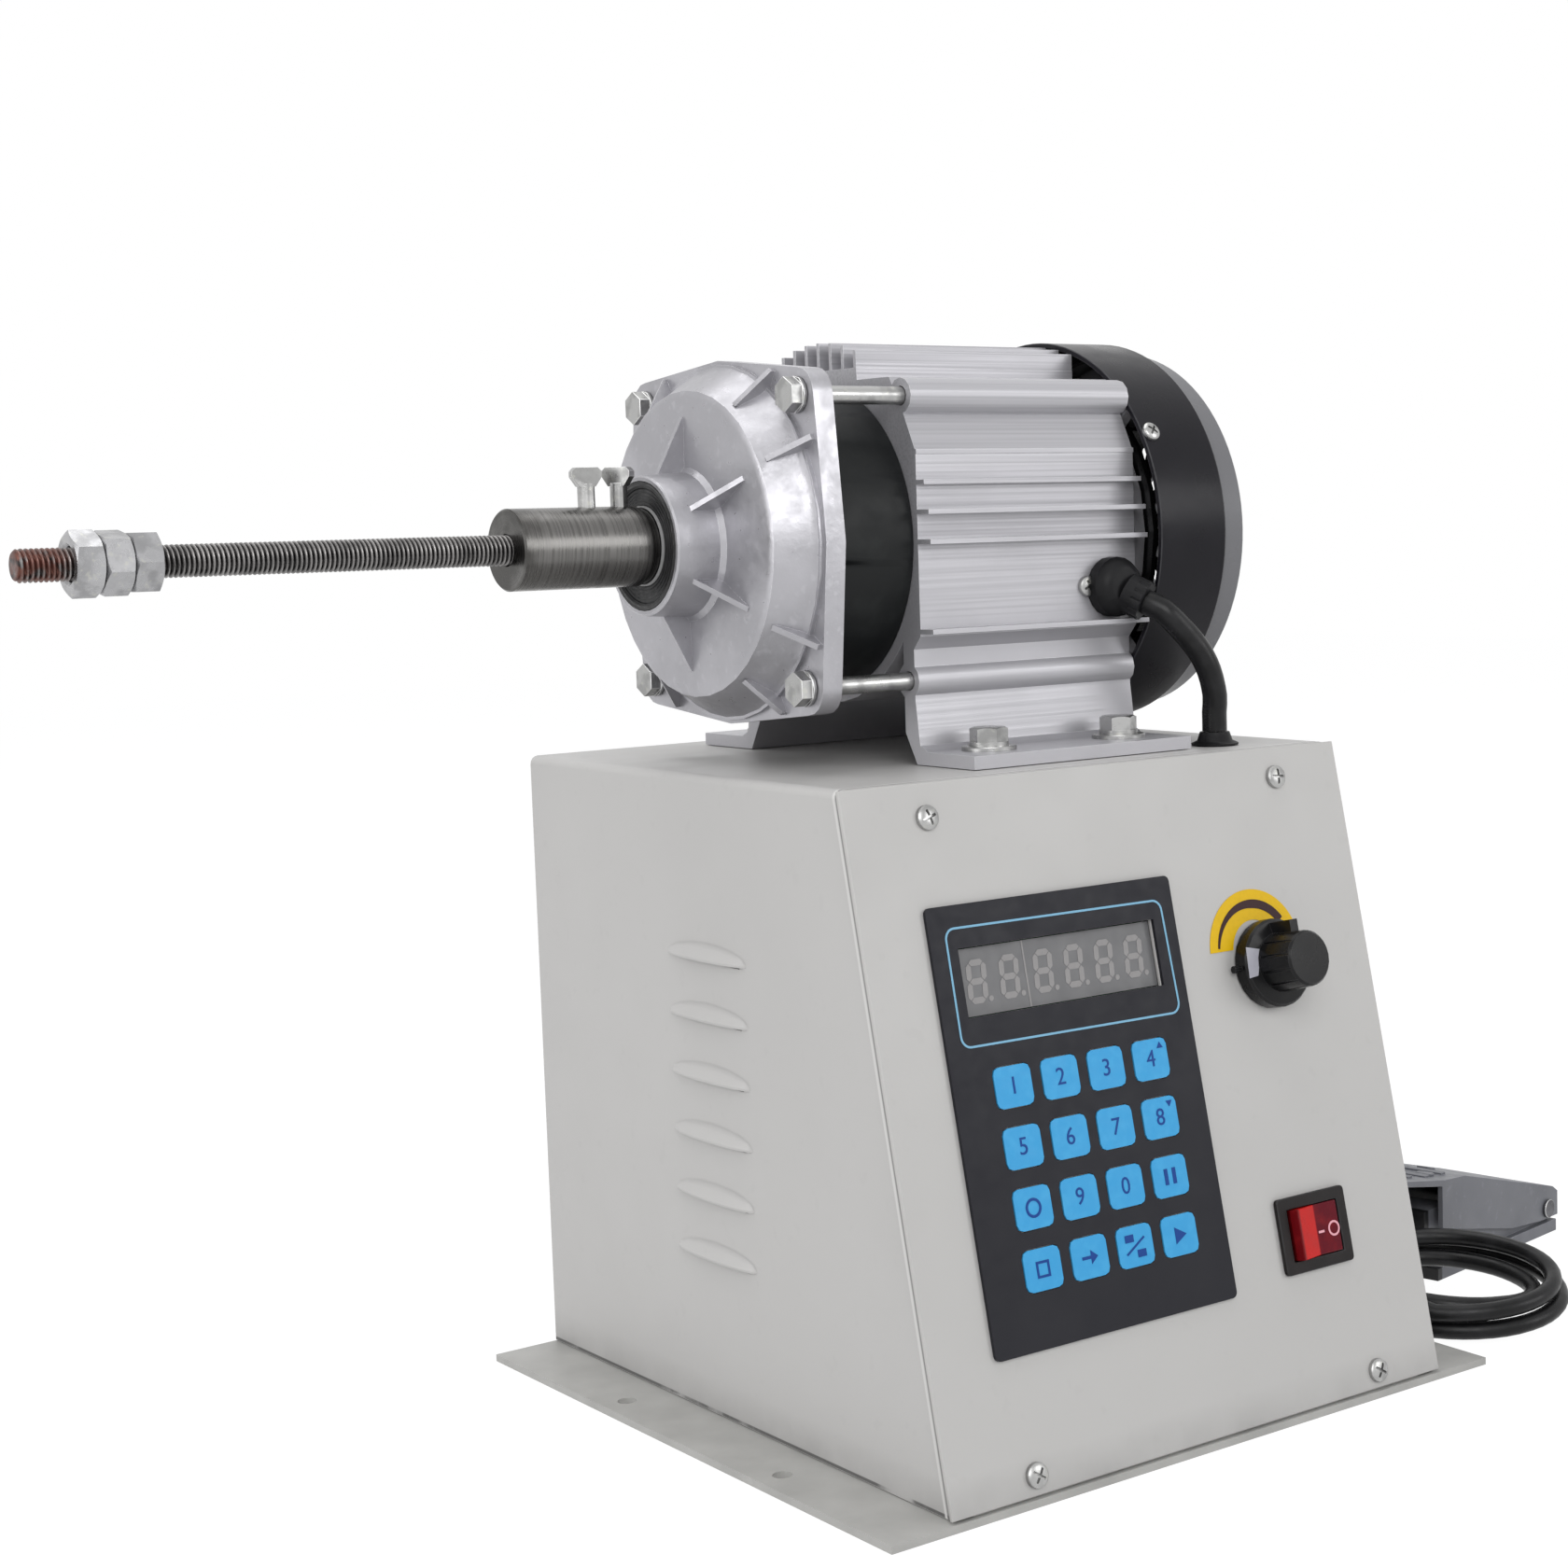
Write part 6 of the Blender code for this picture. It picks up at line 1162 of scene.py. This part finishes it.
def buildNuts():
    bore, height, over = nuts["bore"], nuts["height"], 0.0001
    wide = bore + nuts["chamfer"]
    slope = wide - bore
    profile = [
        (0, -over), (wide + over, -over), (bore, slope), (bore, height - slope), (wide + over, height + over),
        (0, height + over),
    ]
    for name, node, body, middle, start in nuts["list"]:
        tool = lathe(profile, hexShape["sides"])
        mesh = cleanMesh(carve(hexHead(nuts["flats"], height), tool), 25)
        mesh.transform(spin(start, "Z"))
        finishPiece(name, mesh, "nutPlate", body, axisPlace(middle + height / 2), node)


buildRod()
buildNuts()
print("rod and nuts ready")


# a screw's head is its radius and height, and its cross's length, width and depth
panelScrew = {
    "head": (0.004, 0.0022, 0.0052, 0.0009, 0.0014),
    "places": [(0.0297, 0.2133), (0.1791, 0.2139), (0.0315, 0.0097), (0.1802, 0.0094)],
    "out": 0.0001,
    "jitter": 0.7,
}
coverScrew = {
    "head": (0.0034, 0.0021, 0.0042, 0.0008, 0.0013),
    "x": 0.0578,
    "reach": 0.0687,
    "angles": (30, 150, 270),
}
earthScrew = {
    "head": (0.0036, 0.002, 0.0046, 0.0009, 0.0012),
    "place": (0.0314, -0.03035, 0.2759),
    "turn": 25,
}
backScrew = {
    "head": (0.0032, 0.0019, 0.0042, 0.0008, 0.0012),
    "y": 0.12285,
    "places": [(-0.093, 0.012), (0.093, 0.012), (-0.093, 0.205), (0.093, 0.205), (0, 0.012), (0, 0.205)],
    "jitter": 0.8,
}


def crossHead(radius, height, cross, blade, depth):
    # a rounded pan head on Z = 0 with a cross cut in its top
    straight, steps = 0.45, 6
    profile = [(0, 0), (radius, 0), (radius, height * straight)]
    for step in range(1, steps + 1):
        angle = step / steps * math.pi / 2
        reach = radius * math.cos(angle * 0.98) if step < steps else 0
        profile.append((reach, height * (straight + (1 - straight) * math.sin(angle))))
    bars = []
    for turned in (0, 90):
        bar = flatPlate([roundedOutline(cross, blade, blade * 0.2, 1)], height)
        bar.transform(spin(turned, "Z") @ shift(0, 0, height - depth))
        bars.append(bar)
    return cleanMesh(carve(lathe(profile, 36), carve(*bars, "UNION")), 30)


def finishBolts(name, mesh, place=None):
    finishPiece(name, mesh, "boltSteel", "cabinet", place)


def buildPanelScrews():
    places = [(across, up, panelScrew["out"]) for across, up in panelScrew["places"]]
    mesh = repeated(crossHead(*panelScrew["head"]), places, "boltSteel", panelScrew["jitter"])
    finishBolts("panelScrews", mesh, panelPlace(0, 0))


footBolt = {
    "flats": 0.0112,
    "height": 0.0048,
    "washer": 0.0092,
    "spring": 0.0066,
    "thickness": 0.0014,
    "top": 0.22375,
    "alongs": (-0.02135, 0.03515),
    "sides": (-0.04115, 0.08965),
    "jitter": 0.6,
}


def buildFootBolts():
    # a hexagon head on a spring washer and a flat one
    wide, narrow, thick = footBolt["washer"], footBolt["spring"], footBolt["thickness"]
    rim = [(wide, 0), (wide, thick * 0.8), (wide * 0.97, thick), (narrow, thick), (narrow, 2 * thick)]
    washer = lathe([(0, 0), *rim, (0, 2 * thick)], 40)
    head = hexHead(footBolt["flats"], footBolt["height"], False)
    head.transform(shift(0, 0, 2 * thick - 0.00002))
    whole = cleanMesh(carve(washer, head, "UNION"), 30)
    places = [(x, y, 0) for x in footBolt["alongs"] for y in footBolt["sides"]]
    mesh = repeated(whole, places, "boltSteel", footBolt["jitter"])
    finishBolts("footBolts", mesh, shift(0, 0, footBolt["top"]))


def buildCoverScrews():
    head = crossHead(*coverScrew["head"])
    parts = []
    for angle in coverScrew["angles"]:
        part = head.copy()
        rim = axisPlace(coverScrew["x"]) @ spin(angle, "Z") @ shift(coverScrew["reach"], 0, 0)
        part.transform(rim @ spin(90, "Y") @ spin(20 + angle, "Z"))
        parts.append(part)
    finishBolts("coverScrews", joined(parts))


def buildEarthScrew():
    place = shift(*earthScrew["place"]) @ spin(90, "X") @ spin(earthScrew["turn"], "Z")
    finishBolts("earthScrew", crossHead(*earthScrew["head"]), place)


def buildBackScrews():
    places = [(-x, z, 0) for x, z in backScrew["places"]]
    mesh = repeated(crossHead(*backScrew["head"]), places, "boltSteel", backScrew["jitter"])
    finishBolts("backScrews", mesh, shift(0, backScrew["y"], 0) @ spin(180, "Z") @ spin(90, "X"))


buildPanelScrews()
buildFootBolts()
buildCoverScrews()
buildEarthScrew()
buildBackScrews()
print("screws and bolts ready")


frameLine = {
    "corners": [(0.1175, 0.1781), (0.0284, 0.1785), (0.0282, 0.1408), (0.1184, 0.1401)],
    "radius": 0.0038,
    "stroke": 0.0007,
    "out": 0.00152,
    "thickness": 0.00012,
}


def buildFrameLine():
    outer, inner = [], []
    corners = frameLine["corners"]
    centre = Vector((sum(x for x, y in corners) / 4, sum(y for x, y in corners) / 4))
    for quarter, (x, y) in enumerate(corners):
        sideX = 1 if x > centre.x else -1
        sideY = 1 if y > centre.y else -1
        radius = frameLine["radius"]
        middle = (x - sideX * radius, y - sideY * radius)
        for reach, line in ((radius, outer), (radius - frameLine["stroke"], inner)):
            line += arcPoints(reach, 90 * quarter, 90 * quarter + 90, 8, middle)
    mesh = flatPlate([outer, inner], frameLine["thickness"])
    place = panelPlace(0, 0, frameLine["out"])
    finishPiece("frameLine", mesh, "lineBlue", "cabinet", place)


display = {
    "centres": (0.04, 0.0529, 0.0666, 0.0792, 0.0918, 0.1044),
    "middle": 0.1609,
    "width": 0.0078,
    "height": 0.0138,
    "bar": 0.002,
    "gap": 0.00015,
    "lean": 0.08,
    "dotAside": 0.0021,
    "out": -0.00118,
    "divider": 0.0596,
    "dividerSize": (0.0006, 0.0212),
    "thickness": 0.0001,
}


def segmentBar(x, y, length, upright):
    # a bar with pointed ends
    half, side = length / 2, display["bar"] / 2
    corners = [(half, 0), (half - side, side), (side - half, side)]
    corners += [(-half, 0), (side - half, -side), (half - side, -side)]
    if upright:
        corners = [(-b, a) for a, b in corners]
    return [(x + a, y + b) for a, b in corners]


def buildDisplay():
    half = display["width"] / 2 - display["bar"] / 2
    tall = display["height"] / 2 - display["bar"] / 2
    flat = 2 * half - 2 * display["gap"]
    high = tall - 2 * display["gap"]
    outlines = [segmentBar(0, level * tall, flat, False) for level in (-1, 0, 1)]
    for side in (-half, half):
        outlines += [segmentBar(side, level * tall / 2, high, True) for level in (-1, 1)]
    outlines.append(arcPoints(display["bar"] * 0.45, 0, 330, 11, (half + display["dotAside"], -tall)))
    outlines = [[(x + y * display["lean"], y) for x, y in outline] for outline in outlines]
    digit = flatPlate(outlines, display["thickness"])
    places = [(centre, display["middle"], 0) for centre in display["centres"]]
    digits = repeated(digit, places, "segmentGrey")
    line = flatPlate([roundedOutline(*display["dividerSize"], 0.0002, 1)], display["thickness"])
    line.transform(shift(display["divider"], display["middle"], 0))
    place = panelPlace(0, 0, display["out"])
    for name, mesh in (("displayDigits", digits), ("displayDivider", line)):
        finishPiece(name, mesh, "segmentGrey", "cabinet", place)


keys = {
    "left": 0.0455,
    "top": 0.127,
    "across": 0.0189,
    "down": 0.019,
    "out": 0.00182,
    "digit": 0.0078,
    "thickness": 0.00012,
    "marks": [*"12345678", "ring", *"90", "bars", "square", "arrow", "slash", "play"],
}


def boxOutline(x, y, width, height):
    left, right, low, high = x - width / 2, x + width / 2, y - height / 2, y + height / 2
    return [(left, low), (right, low), (right, high), (left, high)]


# outlines in millimetres; tipUp and tipDown are the small triangles beside 4 and 8
keyShapes = {
    "ring": [arcPoints(3.1, 0, 345, 23), arcPoints(2.2, 0, 345, 23)],
    "bars": [boxOutline(-1.7, 0, 1.5, 5.2), boxOutline(1.7, 0, 1.5, 5.2)],
    "square": [boxOutline(0, 0, 5.2, 5.2), boxOutline(0, 0, 3.6, 3.6)],
    "arrow": [[(-3.2, -0.5), (0.4, -0.5), (0.4, -2.2), (3.2, 0), (0.4, 2.2), (0.4, 0.5), (-3.2, 0.5)]],
    "slash": [
        [(-4.2, -2.1), (-3.7, -2.6), (4.2, 2.1), (3.7, 2.6)],
        boxOutline(-2.2, 2.6, 3.6, 2.4),
        boxOutline(2.2, -2.6, 3.6, 2.4),
    ],
    "play": [[(-2.0, -2.7), (2.8, 0), (-2.0, 2.7)]],
    "tipUp": [[(4.4, 5.2), (5.7, 3.2), (3.1, 3.2)]],
    "tipDown": [[(4.4, 3.0), (5.7, 5.0), (3.1, 5.0)]],
}
tipBeside = {"4": "tipUp", "8": "tipDown"}


def keyMark(mark):
    if mark in keyShapes:
        outlines = [[(x / 1000, y / 1000) for x, y in outline] for outline in keyShapes[mark]]
        return flatPlate(outlines, keys["thickness"])
    mesh = lettering(mark, keys["digit"], keys["thickness"])
    return joined([mesh, keyMark(tipBeside[mark])]) if mark in tipBeside else mesh


def buildKeyMarks():
    for count, mark in enumerate(keys["marks"]):
        across = keys["left"] + count % 4 * keys["across"]
        up = keys["top"] - count // 4 * keys["down"]
        number = "%02d" % (count + 1)
        body = "key_" + number + "_cap"
        place = panelPlace(across, up, keys["out"])
        finishPiece("keyMark" + number, keyMark(mark), "digitBlue", body, place)


dial = {
    "centre": (0.1573, 0.1563),
    "outer": 0.0207,
    "inner": 0.0103,
    "cut": 0.0012,
    "crescentOuter": 0.0172,
    "crescentThin": 0.0164,
    "crescentThick": 0.0142,
    "crescentFrom": 172,
    "crescentTo": 35,
    "crescentSteps": 36,
    "thickness": 0.00015,
    "out": 0.0001,
    "skirt": [(-0.0146, 0.0068), (-0.0084, 0.0054), (-0.0112, -0.0032), (-0.0152, -0.0036)],
    "skirtOut": 0.00712,
    "knob": (0.161, 0.151),
}


def buildDial():
    start, inside = (math.degrees(math.asin(dial["cut"] / dial[key])) for key in ("outer", "inner"))
    plate = arcPoints(dial["outer"], start, 180 - start, 40)
    plate += arcPoints(dial["inner"], 180 - inside, inside, 30)
    steps, turned = dial["crescentSteps"], dial["crescentTo"] - dial["crescentFrom"]
    crescent = arcPoints(dial["crescentOuter"], dial["crescentFrom"], dial["crescentTo"], steps)
    back = []
    for step in range(steps + 1):
        share = min(1, step / steps * 1.6)
        reach = dial["crescentThin"] + share * (dial["crescentThick"] - dial["crescentThin"])
        angle = math.radians(dial["crescentFrom"] + step / steps * turned)
        back.append((reach * math.cos(angle), reach * math.sin(angle)))
    plateFace = panelPlace(*dial["centre"], dial["out"])
    crescentFace = panelPlace(*dial["centre"], dial["out"] + dial["thickness"] + 0.00002)
    knobFace = panelPlace(*dial["knob"], dial["skirtOut"])
    for name, outline, look, body, slotName, place in (
        ("dialPlate", plate, "scaleYellow", "cabinet", "panel_paint", plateFace),
        ("dialCrescent", crescent + back[::-1], "scaleInk", "cabinet", "panel_paint", crescentFace),
        ("knobMark", dial["skirt"], "markPale", "knob", "black_plastic", knobFace),
    ):
        finishPiece(name, flatPlate([outline], dial["thickness"]), look, body, place)


rockerMarks = {
    "ring": (0.1692, 0.0598),
    "dash": (0.1634, 0.0596),
    "ringRadius": 0.0026,
    "ringStroke": 0.0007,
    "dashSize": (0.0026, 0.0008),
    "thickness": 0.00012,
    "lift": 0.00004,
}


def draped(mesh, node, place, lift):
    # drops a flat mesh along its own -Z onto a node, keeping its thickness
    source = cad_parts[node]
    corners = [source.matrix_world @ vertex.co for vertex in source.data.vertices]
    tree = BVHTree.FromPolygons(corners, [tuple(face.vertices) for face in source.data.polygons])
    down = (place.to_3x3() @ Vector((0, 0, -1))).normalized()
    for vertex in mesh.vertices:
        spot = place @ Vector((vertex.co.x, vertex.co.y, 0.02))
        hit = tree.ray_cast(spot, down)[0]
        vertex.co = (hit if hit else place @ vertex.co) - down * (vertex.co.z + lift)
    return mesh


def buildRockerMarks():
    marks = rockerMarks
    circles = [arcPoints(marks["ringRadius"] - inset, 0, 350, 35) for inset in (0, marks["ringStroke"])]
    ring = flatPlate(circles, marks["thickness"])
    dash = flatPlate([boxOutline(0, 0, *marks["dashSize"])], marks["thickness"])
    parts = []
    for mesh, spot in ((ring, marks["ring"]), (dash, marks["dash"])):
        parts.append(draped(mesh, "rocker", panelPlace(*spot), marks["lift"]))
    finishPiece("rockerMarks", joined(parts), "markRose", "power_rocker")


buildFrameLine()
buildDisplay()
buildKeyMarks()
buildDial()
buildRockerMarks()
print("operator panel ready")


pedalStud = {
    "long": 0.0078,
    "short": 0.0046,
    "height": 0.0011,
    "bevel": 0.0003,
    "above": 0.04,
    "sunk": 0.0001,
    "rows": [(0.0688, (-0.0075, 0.0075)), (0.0825, (-0.0155, 0.0, 0.0155)), (0.0945, (-0.0075, 0.0075)),
             (0.1075, (-0.0155, 0.0, 0.0155))],
}


def buildPedalStuds():
    outline = roundedOutline(pedalStud["short"], pedalStud["long"], pedalStud["short"] * 0.499, 5)
    stud = flatPlate([outline], pedalStud["height"], pedalStud["bevel"])
    places = [(along, aside, 0) for along, asides in pedalStud["rows"] for aside in asides]
    place = pedalPlace() @ shift(0, 0, pedalStud["above"])
    mesh = draped(repeated(stud, places, "pedalPaint"), "pedal_treadle", place, -pedalStud["sunk"])
    finishPiece("pedalStuds", mesh, "pedalPaint", "treadle")


inletPins = {
    "x": -0.06,
    "z": 0.045,
    "from": 0.1075,
    "to": 0.1195,
    "size": (0.002, 0.004),
    "corner": 0.0005,
    "pins": [(-0.007, -0.002), (0.007, -0.002), (0, 0.002)],
}


def buildInletPins():
    outline = roundedOutline(*inletPins["size"], inletPins["corner"], 2)
    pin = flatPlate([outline], inletPins["to"] - inletPins["from"])
    parts = []
    for x, z in inletPins["pins"]:
        part = pin.copy()
        part.transform(shift(inletPins["x"] + x, inletPins["from"], inletPins["z"] + z) @ spin(-90, "X"))
        parts.append(part)
    finishBolts("inletPins", joined(parts))


buildPedalStuds()
buildInletPins()
print("pedal and back ready")


# body, slot, crease angle in degrees, eased edge in metres and extra cuts in arcs, by node
smoothNodes = {
    "fan_cover": ("cabinet", "black_plastic", 32, 0.0004, 2),
    "ring_gear": ("cabinet", "gear_black", 32, 0, 2),
    "gear_cover": ("cabinet", "cast_aluminium", 32, 0.0008),
    "motor_housing": ("cabinet", "extruded_aluminium", 32, 0.00035),
    "spindle_bearing": ("cabinet", "gear_black", 32, 0, 2),
    **{node: ("cabinet", "bright_steel", 32, 0.0002) for node in numbered("tie_bolt_%d", 4)},
    "motor_gland": ("cabinet", "black_plastic", 34, 0),
    "cable_boot": ("cabinet", "black_plastic", 34, 0),
    "cord_gland": ("cabinet", "black_plastic", 34, 0.0003),
    "body_shell": ("cabinet", "painted_steel", 32, 0),
    "front_panel": ("cabinet", "panel_paint", 32, 0.0003),
    "rocker_bezel": ("cabinet", "black_plastic", 32, 0.0003),
    "pedal_base": ("cabinet", "pedal_grey", 32, 0.0003),
    "pedal_pin": ("cabinet", "bright_steel", 32, 0.0002),
    "pedal_treadle": ("treadle", "pedal_grey", 28, 0.0005),
    "spindle": ("output_spindle", "turned_steel", 32, 0.0003, 2),
    "wing_screw_1": ("wing_1", "bright_steel", 32, 0.0005),
    "wing_screw_2": ("wing_2", "bright_steel", 32, 0.0005),
    "speed_knob": ("knob", "black_plastic", 28, 0.0003),
    "rocker": ("power_rocker", "rocker_red", 32, 0.0003),
}
for node, values in smoothNodes.items():
    smoothCopy(node, *values)
print("smooth pieces ready")
